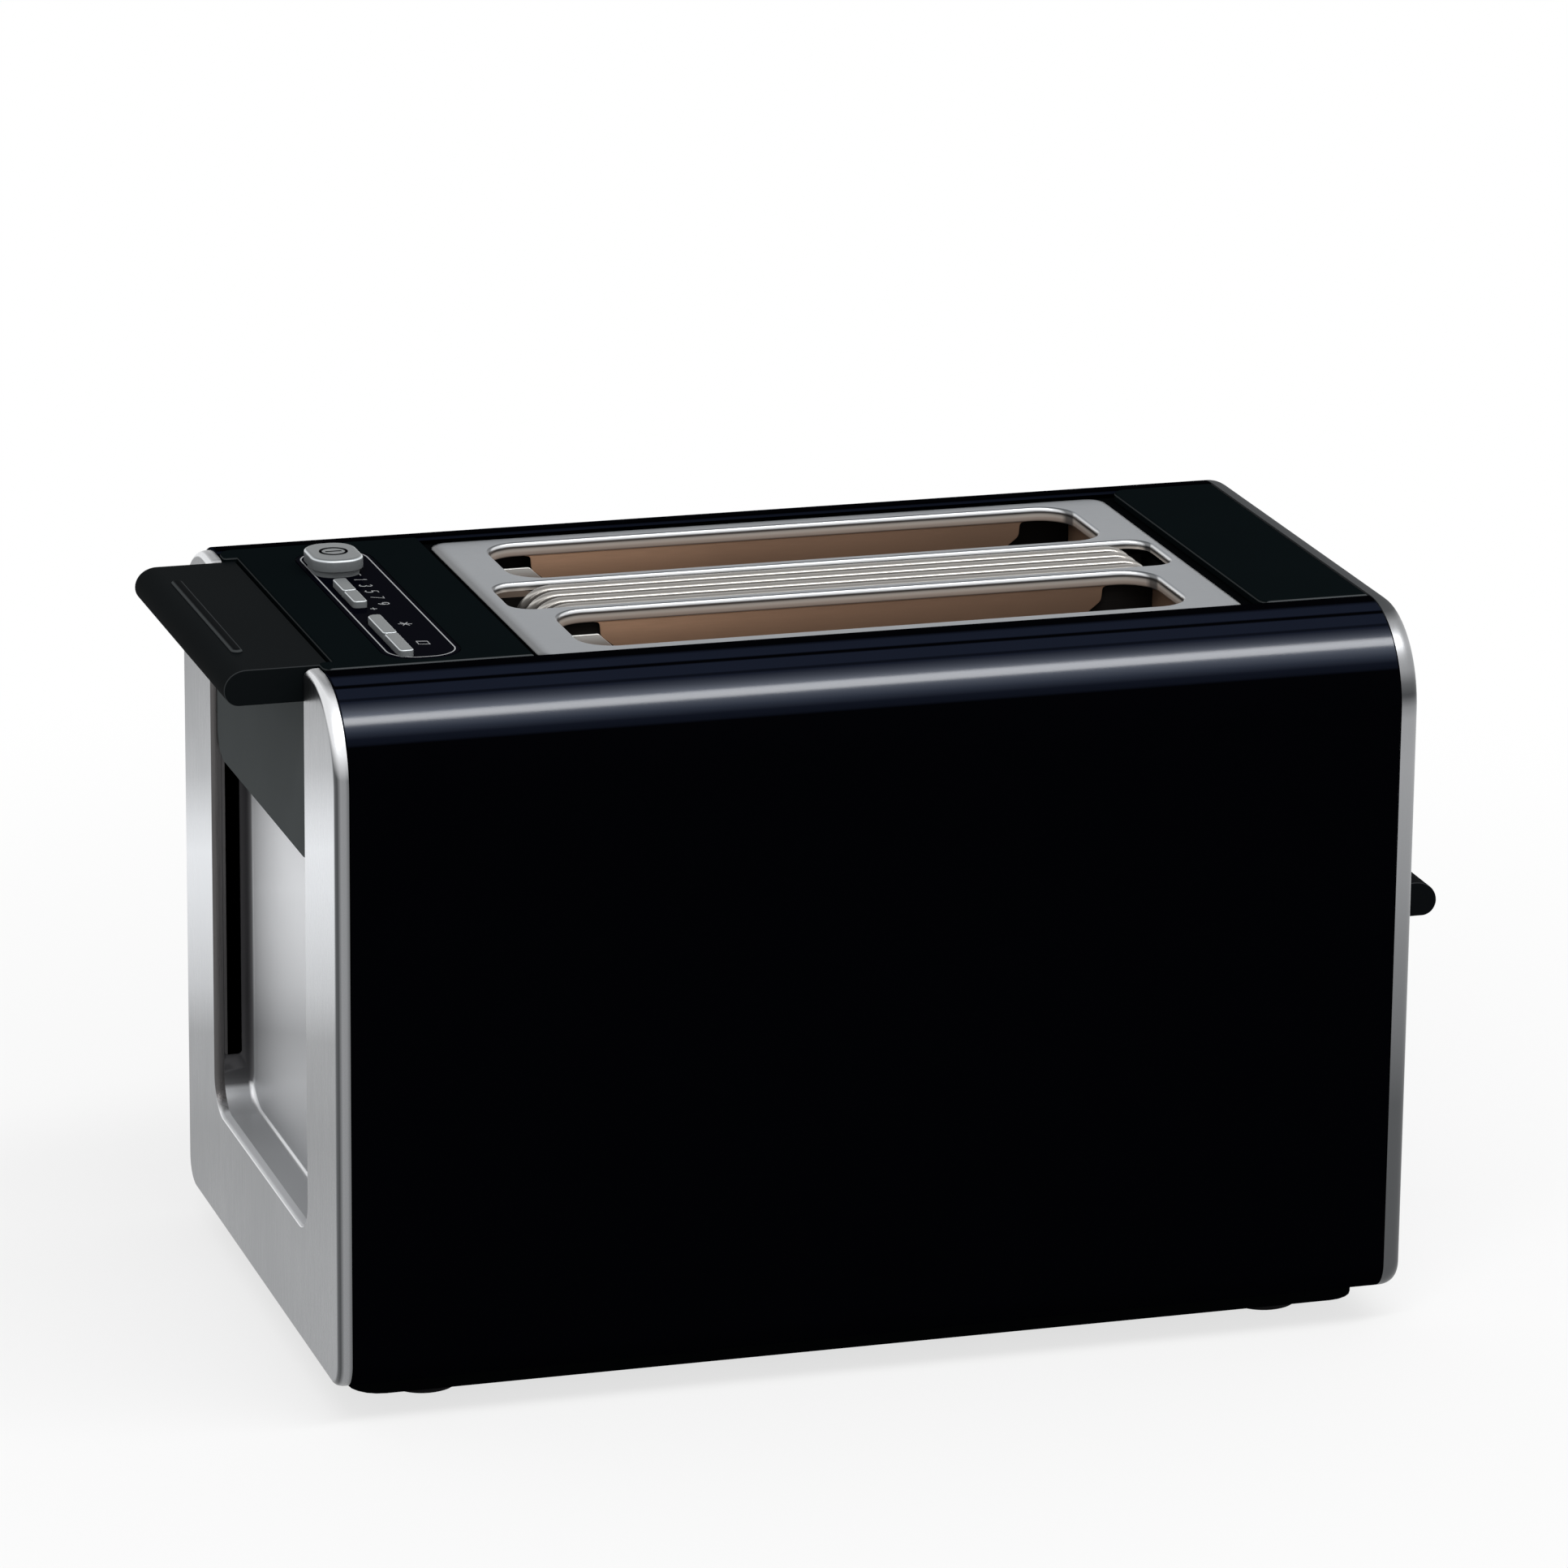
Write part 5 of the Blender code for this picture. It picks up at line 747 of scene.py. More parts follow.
    # Silver paint with a painted highlight on edges that turn half upwards, and painted lighter sides.
    SILVER = Finish(
        "silver_paint", "silver_plastic", (0.127, 0.138, 0.142), roughness=0.40, metallic=0.35,
        specular=0.25, coat=0.06, grain=(0.00012, 0.00012, 0.00012), depth=0.000004, spread=0.04,
        shade=0.95,
        bands=(
            Band(
                Axis.HEIGHT, (0.72, 0.76, 0.79), ((0.35, 0.0), (0.52, 0.9), (0.74, 0.9), (0.92, 0.0)),
                source=Source.FACING,
            ),
            Band(Axis.HEIGHT, (0.23, 0.245, 0.255), ((0.05, 1.0), (0.35, 0.0)), source=Source.FACING),
        ),
    )
    MARK = Finish("mark_ink", "satin_black", (0.0015, 0.0015, 0.0020), roughness=0.4, specular=0.0)
    PRINT = Finish(
        "white_print", "gloss_panel", (0.38, 0.39, 0.40), roughness=0.5, specular=0.0, depth=0.000002,
    )
    RUBBER = Finish(
        "foot_rubber", "rubber", (0.012, 0.012, 0.013), roughness=0.8, specular=0.1, depth=0.00003,
    )
    MICA = Finish(
        "mica_sheet", "mica", (0.10, 0.075, 0.050), roughness=0.5, specular=0.0,
        grain=(0.003, 0.003, 0.0012), depth=0.00003, shade=0.6,
    )
    RIBBON = BrushedSteel(
        "heater_ribbon", "sheet_steel", (0.30, 0.27, 0.25), roughness=0.4, metallic=1.0,
    )
    BOARD = Board("board_mask", "board_green", (0.02, 0.15, 0.06), roughness=0.35)
    COIL = BrushedSteel(
        "coil_wire", "magnet_copper", (0.60, 0.30, 0.16), roughness=0.35, metallic=1.0,
        grain=(0.002, 0.002, 0.0004), depth=0.00006,
    )


class View(Enum):
    """The plane that an outline is drawn in. The height is measured square to it."""

    TOP = "u along X, v along Y, height along Z"
    END = "u along Y, v along Z, height along X"
    SIDE = "u along X, v along Z, height along Y"

    def place(self, u: float, v: float, height: float) -> Vector:
        """Find a place.

        Args:
            u: How far it is along the drawing.
            v: How far it is up the drawing.
            height: How far it is from the drawing.

        Returns:
            The place along X, Y and Z.
        """
        if self is View.TOP:
            return Vector((u, v, height))
        if self is View.END:
            return Vector((height, u, v))
        return Vector((u, height, v))


@dataclass(frozen=True)
class Outline:
    """Straight sides between corners, each a place and a rounding radius.

    Each side leaves the corner of its number, and takes its share of an offset.
    """

    corners: Sequence[Triple]
    steps: int = 8
    closed: bool = True
    shares: Sequence[float] = ()

    def at(self, offset: float = 0.0) -> list[Point]:
        """List the points of the outline.

        Args:
            offset: How far the outline is moved out, to the right of its direction.

        Returns:
            Its points in order, as many at every offset.
        """
        count = len(self.corners)
        shares = self.shares or [1.0] * count
        points: list[Point] = []
        for index, (u, v, radius) in enumerate(self.corners):
            here = Vector((u, v))
            before = Vector(self.corners[index - 1][:2])
            after = Vector(self.corners[(index + 1) % count][:2])
            entry = (here - before).normalized()
            leaving = (after - here).normalized()
            if not self.closed and index == 0:
                entry = leaving
            if not self.closed and index == count - 1:
                leaving = entry
            side = Vector((entry.y, -entry.x))
            other = Vector((leaving.y, -leaving.x))
            before_offset, after_offset = offset * shares[index - 1], offset * shares[index]
            overlap = side.dot(other)
            if overlap > STRAIGHT_ON:
                corner = here + side * before_offset
            else:
                side_reach = (before_offset - after_offset * overlap) / (1 - overlap**2)
                other_reach = (after_offset - before_offset * overlap) / (1 - overlap**2)
                corner = here + side * side_reach + other * other_reach
            if radius == 0:
                points.append(corner[:])
                continue
            turn = atan2(entry.x * leaving.y - entry.y * leaving.x, entry.dot(leaving))
            middle_offset = (before_offset + after_offset) / 2
            bend = max(radius + (middle_offset if turn > 0 else -middle_offset), LEAST_BEND)
            start = corner - entry * bend * tan(abs(turn) / 2)
            centre = start - side * (bend if turn > 0 else -bend)
            for step in range(self.steps + 1):
                spoke = Matrix.Rotation(turn * step / self.steps, 2) @ (start - centre)
                points.append((centre + spoke)[:])
        return points


def rounded(low: Point, high: Point, radius: float, steps: int = 8) -> Outline:
    """A rectangle with four round corners, between its lowest and highest corner."""
    places = (low, (high[0], low[1]), high, (low[0], high[1]))
    return Outline([place + (radius,) for place in places], steps)


def edge(reach: float, rise: float, height: float, steps: int = 5) -> list[Point]:
    """A rounded edge as a profile, going in by its reach and up by its rise to a face at a height."""
    turns = [pi / 2 * step / steps for step in range(steps + 1)]
    return [(-reach * (1 - cos(turn)), height - rise * (1 - sin(turn))) for turn in turns]


def arc(centre: Point, radius: float, start: float, end: float, steps: int = 12) -> list[Point]:
    """Points along an arc, its angles in degrees."""
    turns = [radians(start + (end - start) * step / steps) for step in range(steps + 1)]
    return [(centre[0] + radius * cos(turn), centre[1] + radius * sin(turn)) for turn in turns]


def put(name: str, data: bpy.types.ID) -> bpy.types.Object:
    """Place a new object in the scene.

    Args:
        name: Its name.
        data: Its mesh, camera or lamp.

    Returns:
        The object.
    """
    made = bpy.data.objects.new(name, data)
    bpy.context.scene.collection.objects.link(made)
    return made


class Form:
    """A mesh that is drawn from outlines, profiles and paths, and then becomes a piece."""

    def __init__(self, view: View = View.TOP) -> None:
        """Start an empty mesh, drawn in one plane."""
        self.mesh = bmesh.new()
        self.view = view

    def ring(self, points: Iterable[Point], height: float) -> Ring:
        """Add the corners of an outline at a height."""
        return [self.mesh.verts.new(self.view.place(u, v, height)) for u, v in points]

    def bridge(self, first: Ring, second: Ring, closed: bool = True, skip: Iterable[int] = ()) -> None:
        """Join two rings with faces, leaving out those of some sides.

        Args:
            first: A ring.
            second: The next ring, with as many corners.
            closed: Whether the rings run back to their start.
            skip: The numbers of the sides that get no face.
        """
        count = len(first)
        for side in range(count if closed else count - 1):
            if side not in skip:
                after = (side + 1) % count
                self.mesh.faces.new((first[side], first[after], second[after], second[side]))

    def fill(self, *rings: Ring) -> None:
        """Fill a flat face.

        Args:
            rings: Its rim, and the rims of the holes in it.
        """
        if len(rings) == 1:
            self.mesh.faces.new(rings[0])
            return
        edges = []
        for ring in rings:
            for first, second in zip(ring, ring[1:] + ring[:1]):
                found = self.mesh.edges.get((first, second))
                edges.append(found or self.mesh.edges.new((first, second)))
        bmesh.ops.triangle_fill(self.mesh, edges=edges, use_beauty=True)

    def plate(self, outer: Outline, rim: Profile, holes: Sequence[tuple[Outline, Profile]] = ()) -> None:
        """Add a flat solid.

        Args:
            outer: Its outline.
            rim: The profile of its side, from its first face to its second.
            holes: The outline of each hole and the profile of its side, in which an offset widens
                the hole. A hole with an empty profile is straight.
        """
        straight = [(0.0, rim[0][1]), (0.0, rim[-1][1])]
        firsts, seconds = [], []
        for outline, profile in ((outer, rim), *holes):
            rings = [self.ring(outline.at(offset), height) for offset, height in profile or straight]
            for first, second in pairwise(rings):
                self.bridge(first, second)
            firsts.append(rings[0])
            seconds.append(rings[-1])
        self.fill(*firsts)
        self.fill(*seconds)

    def slab(self, outline: Outline, first: float, second: float, ease: float = 0.0002) -> None:
        """Add a flat solid between two heights, its edges slightly eased."""
        way = ease if second > first else -ease
        self.plate(outline, [(-ease, first), (0.0, first + way), (0.0, second - way), (-ease, second)])

    def box(self, low: Sequence[float], high: Sequence[float], ease: float = 0.0002) -> None:
        """Add a box between two corners given as u, v and height."""
        self.slab(rounded(tuple(low[:2]), tuple(high[:2]), ease, steps=2), low[2], high[2], ease)

    def turned(self, centre: Point, profile: Profile, steps: int = 40, hollow: bool = False) -> None:
        """Add a turned solid about an axis through a point of the drawing.

        Args:
            centre: The point.
            profile: Radii and heights, from one end to the other.
            steps: How many sides it has.
            hollow: Whether the profile runs back to its start round a bore.
        """
        x, y = centre
        circle = [2 * pi * step / steps for step in range(steps)]
        rings = []
        for radius, height in profile:
            points = [(x + radius * cos(turn), y + radius * sin(turn)) for turn in circle]
            rings.append(self.ring(points, height))
        for first, second in pairwise(rings):
            self.bridge(first, second)
        if hollow:
            self.bridge(rings[-1], rings[0])
        else:
            self.fill(rings[0])
            self.fill(rings[-1])

    def tube(self, path: Sequence[Sequence[float]], radius: float, sides: int = 12) -> None:
        """Add a round bar along a path of places, with flat ends.

        Args:
            path: The places that its middle follows.
            radius: Its radius.
            sides: How many sides it has.
        """
        places = [Vector(place) for place in path]
        runs = [(after - before).normalized() for before, after in pairwise(places)]
        bends = [(first + second).normalized() for first, second in pairwise(runs)]
        ways = [runs[0], *bends, runs[-1]]
        side = ways[0].orthogonal().normalized()
        rings = []
        for place, way in zip(places, ways):
            side = (side - way * side.dot(way)).normalized()
            up = way.cross(side)
            turns = [2 * pi * step / sides for step in range(sides)]
            ring = [self.mesh.verts.new(place + (side * cos(t) + up * sin(t)) * radius) for t in turns]
            rings.append(ring)
        for first, second in pairwise(rings):
            self.bridge(first, second)
        self.fill(rings[0])
        self.fill(rings[-1])

    def piece(
        self,
        name: str,
        finish: Finish,
        body: str,
        nodes: Sequence[str] = (),
        sheet: float = 0.0,
        smooth: float = 35.0,
    ) -> bpy.types.Object:
        """Turn the mesh into a piece of the toaster.

        Args:
            name: The piece's name.
            finish: Its finish.
            body: The body that it rides on.
            nodes: The nodes that it stands for.
            sheet: The thickness that an open surface is given, or zero for a solid.
            smooth: The sharpest angle, in degrees, that is still shaded smooth.

        Returns:
            The piece.
        """
        bmesh.ops.remove_doubles(self.mesh, verts=self.mesh.verts, dist=SAME_PLACE)
        bmesh.ops.recalc_face_normals(self.mesh, faces=self.mesh.faces)
        mesh = bpy.data.meshes.new(name)
        self.mesh.to_mesh(mesh)
        self.mesh.free()
        made = put(name, mesh)
        mesh.shade_smooth()
        mesh.set_sharp_from_angle(angle=radians(smooth))
        mesh.materials.append(finish.material())
        if sheet:
            thick = made.modifiers.new("thickness", "SOLIDIFY")
            thick.thickness = abs(sheet)
            thick.offset = 1.0 if sheet > 0 else -1.0
            thick.use_even_offset = False
        weighted = made.modifiers.new("weighted", "WEIGHTED_NORMAL")
        weighted.keep_sharp = True
        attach(made, body)
        if nodes:
            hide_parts(*nodes)
        LOG.info("%s: %d faces on %s", name, len(mesh.polygons), body)
        return made


def dress(finish: Finish, *nodes: str) -> None:
    """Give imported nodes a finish, their shapes kept as they are.

    Args:
        finish: The finish.
        nodes: The nodes' names.
    """
    for node in nodes:
        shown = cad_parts[node]
        shown.data.materials.clear()
        shown.data.materials.append(finish.material())
        LOG.info("%s: %s", node, finish.name)


@dataclass(frozen=True)
class Casing:
    """The side shells, the decks and the frame that the slot plate lies on."""

    wall: float = 0.0012
    top_radius: float = 0.024
    foot_radius: float = 0.008
    fold_reach: float = 0.0112
    deck_edge: float = 0.0007
    deck_corner: float = 0.004
    small_corner: float = 0.001
    notch_x: float = -0.1326
    notch_y: float = 0.051
    panel_gap: float = 0.0002
    deck_under: float = 0.0022

    def build(self) -> None:
        """Build the shells and decks, and dress what lies under them."""
        self.shell("front", -1)
        self.shell("rear", 1)
        self.control_deck()
        self.right_deck()
        dress(Finishes.FRAME, "top_frame", "base_plate")

    def shell(self, name: str, side: int) -> None:
        """Bend one shell out of sheet, from the deck down to its fold under the base.

        Args:
            name: Which shell it is.
            side: The sign of its side along Y.
        """
        low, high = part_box(f"{name}_shell")
        outer = max(abs(low.y), abs(high.y))
        inner = min(abs(low.y), abs(high.y))
        fold = outer - self.fold_reach
        wall = self.wall
        section = (
            (side * inner, high.z, 0.0),
            (side * outer, high.z, self.top_radius),
            (side * outer, low.z, self.foot_radius),
            (side * fold, low.z, 0.0),
            (side * fold, low.z + wall, 0.0),
            (side * (outer - wall), low.z + wall, self.foot_radius - wall),
            (side * (outer - wall), high.z - wall, self.top_radius - wall),
            (side * inner, high.z - wall, 0.0),
        )
        form = Form(View.END)
        form.plate(Outline(section, steps=28), [(0.0, low.x), (0.0, high.x)])
        form.piece(f"{name}_shell_skin", Finishes.SHELL, "housing", [f"{name}_shell"])

    def deck_rim(self, top: float) -> list[Point]:
        """The profile of a deck's side, up to its rounded upper edge."""
        return [(0.0, top - self.deck_under)] + edge(self.deck_edge, self.deck_edge, top)

    def control_deck(self) -> None:
        """Build the deck under the controls, notched for the lever and cut for the panel."""
        low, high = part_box("control_deck")
        panel_low, panel_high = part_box("control_panel")
        flange = ControlPanel.flange - self.panel_gap
        corners = (
            (low.x, low.y, self.deck_corner),
            (high.x, low.y, self.small_corner),
            (high.x, high.y, self.small_corner),
            (low.x, high.y, self.deck_corner),
            (low.x, self.notch_y, self.small_corner),
            (self.notch_x, self.notch_y, 0.0),
            (self.notch_x, -self.notch_y, 0.0),
            (low.x, -self.notch_y, self.small_corner),
        )
        hole = rounded(
            (panel_low.x + flange, panel_low.y + flange),
            (panel_high.x - flange, panel_high.y - flange),
            ControlPanel.corner + self.panel_gap,
        )
        form = Form()
        rim = self.deck_rim(high.z)
        lip = [(0.0, rim[0][1])] + edge(-self.panel_gap, self.panel_gap, high.z, steps=2)
        form.plate(Outline(corners), rim, [(hole, lip)])
        form.piece("control_deck_cover", Finishes.DECK, "housing", ["control_deck"])

    def right_deck(self) -> None:
        """Build the plain deck at the other end."""
        low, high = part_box("right_deck")
        corners = (
            (low.x, low.y, self.deck_corner),
            (high.x, low.y, self.small_corner),
            (high.x, high.y, self.small_corner),
            (low.x, high.y, self.deck_corner),
        )
        form = Form()
        form.plate(Outline(corners), self.deck_rim(high.z))
        form.piece("right_deck_cover", Finishes.DECK, "housing", ["right_deck"])


@dataclass(frozen=True)
class EndCap:
    """A brushed end cap: a rimmed face plate and a pressed recess with a slot in each side wall."""

    name: str
    face: float
    back: float
    floor: float
    rim_reach: float
    rim_rise: float
    steel: Finish
    recess_low: float
    recess_high: float
    slot_x: Span
    slot_z: Span
    recess_half: float = 0.051
    recess_corner: float = 0.009
    mouth_edge: float = 0.0009
    mouth_share: float = 0.3
    floor_fillet: float = 0.0014
    fillet_steps: int = 6
    pan_inset: float = 0.00004
    wall_margin: float = 0.0012
    flat_margin: float = 0.0003
    turn_steps: int = 10
    slot_corner: float = 0.0010
    sheet: float = 0.0008
    top_radius: float = Casing.top_radius
    foot_radius: float = Casing.foot_radius
    strip_drop: float = 0.001
    strip_corner: float = 0.0024
    least_side: float = 0.00008
    door: Triple | None = None
    gland: Triple | None = None

    @property
    def way(self) -> int:
        """The sign of the way that the face looks along X."""
        return 1 if self.face > self.back else -1

    @property
    def open_top(self) -> bool:
        """Whether the recess runs out at the top."""
        return self.door is None

    def build(self) -> None:
        """Build the face plate and the recess."""
        self.face_plate()
        self.recess()

    def body(self) -> list[Triple]:
        """List the corners of the toaster's end view.

        Returns:
            The corners from the lower left to the upper left, each with its rounding.
        """
        low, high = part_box(self.name)
        return [
            (low.y, low.z, self.foot_radius),
            (high.y, low.z, self.foot_radius),
            (high.y, high.z, self.top_radius),
            (low.y, high.z, self.top_radius),
        ]

    def face_plate(self) -> None:
        """Build the plate that faces out, with its rolled rim."""
        half = self.recess_half
        way = self.way
        corners = self.body()
        shares = [1.0] * len(corners)
        holes = []
        if self.open_top:
            top = corners[2][1] - self.strip_drop
            mouth = [(half, top, self.strip_corner), (half, self.recess_low, self.recess_corner)]
            mirrored = [(-u, v, radius) for u, v, radius in reversed(mouth)]
            corners = corners[:3] + mouth + mirrored + corners[3:]
            shares = [1.0] * 3 + [self.mouth_share] * 3 + [1.0] * 2
        else:
            bore = [(0.0, self.back)]
            bore += edge(-self.mouth_edge, way * self.mouth_edge, self.face, steps=4)
            low, high = (-half, self.recess_low), (half, self.recess_high)
            holes.append((rounded(low, high, self.recess_corner, steps=10), bore))
            door_half, door_low, door_high = self.door
            door = rounded((-door_half, door_low), (door_half, door_high), self.slot_corner, steps=3)
            gland_y, gland_z, gland_radius = self.gland
            low = (gland_y - gland_radius, gland_z - gland_radius)
            high = (gland_y + gland_radius, gland_z + gland_radius)
            holes += [(door, ()), (rounded(low, high, gland_radius - self.least_side), ())]
        rim = [(0.0, self.back)] + edge(self.rim_reach, way * self.rim_rise, self.face, steps=10)
        form = Form(View.END)
        form.plate(Outline(corners, steps=20, shares=shares), rim, holes)
        form.piece(f"{self.name}_face", self.steel, "housing", [self.name], smooth=50.0)

    def recess(self) -> None:
        """Build the recess as one pressed pan, its two side walls pierced by the lever slots."""
        half = self.recess_half
        low = self.recess_low
        corner = self.recess_corner
        high = self.recess_high
        foot = low + corner + self.wall_margin
        turn = self.turn_steps + 1
        bottom = [(-half, low, corner), (half, low, corner)]
        if self.open_top:
            ends = [(-half, high, 0.0), (-half, foot, 0.0)]
            corners = ends + bottom + [(-u, v, radius) for u, v, radius in reversed(ends)]
            walls = (0, 2 * turn + 2)
        else:
            head = high - corner - self.wall_margin
            side = [(half, foot, 0.0), (half, head, 0.0), (half, high, corner)]
            corners = bottom + side + [(-u, v, radius) for u, v, radius in reversed(side)]
            walls = (2 * turn, 4 * turn + 2)
        path = Outline(corners, self.turn_steps, self.door is not None)
        fillet = self.floor_fillet
        way = self.way
        wall_end = self.floor + way * fillet
        form = Form(View.END)
        closed = not self.open_top
        start = self.rim_rise if self.open_top else self.mouth_edge
        mouth = form.ring(path.at(-self.pan_inset), self.face - way * start)
        deep = form.ring(path.at(-self.pan_inset), wall_end + way * self.flat_margin)
        form.bridge(mouth, deep, closed, walls)
        for wall in walls:
            after = (wall + 1) % len(mouth)
            slot = self.slot_ring(form, mouth[wall].co.y)
            form.fill([mouth[wall], mouth[after], deep[after], deep[wall]], slot)
        last = deep
        for step in range(self.fillet_steps + 1):
            turn = pi / 2 * step / self.fillet_steps
            points = path.at(-self.pan_inset - fillet * (1 - cos(turn)))
            ring = form.ring(points, wall_end - way * fillet * sin(turn))
            form.bridge(last, ring, closed)
            last = ring
        form.fill(last)
        name = f"{self.name}_recess"
        form.piece(name, Finishes.STEEL_RECESS, "housing", sheet=-self.sheet * way, smooth=50.0)

    def slot_ring(self, form: Form, y: float) -> Ring:
        """Add the outline of a lever slot in a side wall.

        Args:
            form: The form to draw in.
            y: The wall's place along Y.

        Returns:
            The ring of the slot's corners.
        """
        low, high = zip(self.slot_x, self.slot_z)
        outline = rounded(low, high, self.slot_corner, steps=3)
        return [form.mesh.verts.new((u, y, v)) for u, v in outline.at()]


LEFT_CAP = EndCap(
    name="left_end_cap", face=-0.140, back=-0.1365, floor=-0.1294, rim_reach=0.0018, rim_rise=0.0026,
    steel=Finishes.STEEL_LEFT, recess_low=0.040, recess_high=0.1855,
    slot_x=(-0.1373, -0.1326), slot_z=(0.054, 0.182),
)
RIGHT_CAP = EndCap(
    name="right_end_cap", face=0.140, back=0.135, floor=0.1294, rim_reach=0.0030, rim_rise=0.0042,
    steel=Finishes.STEEL_RIGHT, recess_low=0.070, recess_high=0.165,
    slot_x=(0.1304, 0.13485), slot_z=(0.0974, 0.1506),
    door=(0.0546, 0.0135, 0.0246), gland=(*GLAND_PLACE, 0.0055),
)


@dataclass(frozen=True)
class SlotPlate:
    """The satin plate with its rolled slots, and the heat-tinted liners under the lips."""

    slot_x: Span = (-0.0682, 0.0906)
    slot_y: Span = (0.016, 0.0505)
    slot_corner: float = 0.009
    middle_x: Span = (-0.0763, 0.0996)
    middle_half: float = 0.0125
    middle_corner: float = 0.006
    corner: float = 0.005
    under: float = 0.0012
    dish_reach: float = 0.0020
    dish_rise: float = 0.0009
    rim_inset: float = 0.00025
    roll_reach: float = 0.0009
    roll_rise: float = 0.0012
    lip_wall: float = 0.0009
    lip_flare: Span = (1.6, 1.1)
    lip_depth: float = 0.0036
    middle_lip: float = 0.0022
    screen_y: float = 0.0138
    liner_wall: float = 0.0007
    liner_ease: float = 0.0000875
    liner_x: Span = (-0.0550, 0.0785)
    liner_shares: int = 12
    sweep: ClassVar[Sequence[Triple]] = (
        (-2.0, 0.0, 0.0),
        (0.0, 0.3, 1.0),
        (0.3, 3.6, 2.0),
        (4.0, 6.5, 2.0),
        (12.0, 8.0, 2.0),
        (16.0, 12.0, 1.0),
    )
    sill_start: float = 1.0
    sill_drop: float = 3.0
    sill_end: float = 11.0
    end_x: float = 0.0922

    def build(self) -> None:
        """Build the plate, its liners and what closes their ends."""
        low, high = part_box("slot_plate")
        self.plate(low, high)
        self.liners(low.z, high.z - self.lip_depth)
        self.end_walls(low.z, high.z - self.lip_depth)

    def plate(self, low: Vector, high: Vector) -> None:
        """Build the plate.

        Args:
            low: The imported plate's lowest corner.
            high: Its highest corner.
        """
        top = high.z
        under = top - self.under
        foot = top - self.lip_depth
        inner, outer = self.slot_y
        wall = self.lip_wall
        roll = edge(-self.roll_reach, self.roll_rise, top, steps=8)
        flare, bend = (wall * share for share in self.lip_flare)
        bore = [(flare, under), (bend, under - wall), (wall, foot), (0.0, foot)] + roll
        short = top - self.middle_lip
        middle_bore = [(bend, under), (wall, short), (0.0, short)] + roll
        left, right = self.slot_x
        rear = rounded((left, inner), (right, outer), self.slot_corner, steps=12)
        front = rounded((left, -outer), (right, -inner), self.slot_corner, steps=12)
        left, right = self.middle_x
        half = self.middle_half
        middle = rounded((left, -half), (right, half), self.middle_corner, steps=12)
        holes = [(rear, bore), (front, bore), (middle, middle_bore)]
        rim = [(-self.rim_inset, under)] + edge(self.dish_reach, self.dish_rise, top, steps=10)
        outline = rounded((low.x, low.y), (high.x, high.y), self.corner, steps=12)
        form = Form()
        form.plate(outline, rim, holes)
        form.piece("slot_plate_skin", Finishes.STEEL_SATIN, "housing", ["slot_plate"], smooth=50.0)

    def liners(self, low: float, high: float) -> None:
        """Build the four liners, whose ends sweep back in a soft S, with a sill beside each.

        The sweep and the sills are drawn in twelfths of the liners' height.

        Args:
            low: The height of their lower edge.
            high: The height of the lips' foot.
        """
        left, right = self.liner_x
        share = (high - low) / self.liner_shares
        sweep = [(u * share, high - v * share, radius * share) for u, v, radius in self.sweep]
        start = [(left + u, v, radius) for u, v, radius in sweep]
        end = [(right - u, v, radius) for u, v, radius in reversed(sweep)]
        gap = self.liner_wall / 3
        near = self.slot_x[0] + self.sill_start * share
        far = left + self.sill_end * share
        upper = high - self.sill_drop * share
        turn_x, turn_z, turn_radius = start[3]
        sill = [
            (near, upper, 0.0),
            (near, low, 0.0),
            (far, low, 0.0),
            (far, start[4][1] - gap, share),
            (turn_x - gap, turn_z - gap, turn_radius),
            (left - gap, upper, share),
        ]
        inner, outer = self.slot_y
        liners, sills = Form(View.SIDE), Form(View.SIDE)
        for side in (-1, 1):
            for place, way in ((outer, 1), (inner, -1)):
                first = side * (place + way * self.liner_wall / 4)
                last = first + side * way * self.liner_wall
                liners.slab(Outline(start + end), first, last, self.liner_ease)
                sills.slab(Outline(sill), first, last, self.liner_ease)
        liners.piece("slot_liners", Finishes.STEEL_WARM, "housing")
        sills.piece("slot_sills", Finishes.STEEL_SILL, "housing")

    def end_walls(self, low: float, high: float) -> None:
        """Build the walls at the slots' right ends and the screens beside the middle opening.

        Args:
            low: The height of their lower edge.
            high: The height of the lips' foot.
        """
        inner, outer = self.slot_y
        thickness = self.liner_wall
        head = high - thickness
        walls = Form(View.END)
        for side in (-1, 1):
            near, far = sorted((side * (inner - self.lip_wall), side * (outer + self.lip_wall)))
            walls.box((near, low, self.end_x), (far, head, self.end_x + thickness))
        walls.piece("slot_end_walls", Finishes.STEEL_WARM, "housing")
        screens = Form(View.SIDE)
        left, right = self.middle_x
        for side in (-1, 1):
            near, far = sorted((side * self.screen_y, side * (self.screen_y + thickness)))
            screens.box((left, low, near), (right, head, far))
        screens.piece("middle_screens", Finishes.STEEL_HEAT_DARKENED_AND_SHADED, "housing")


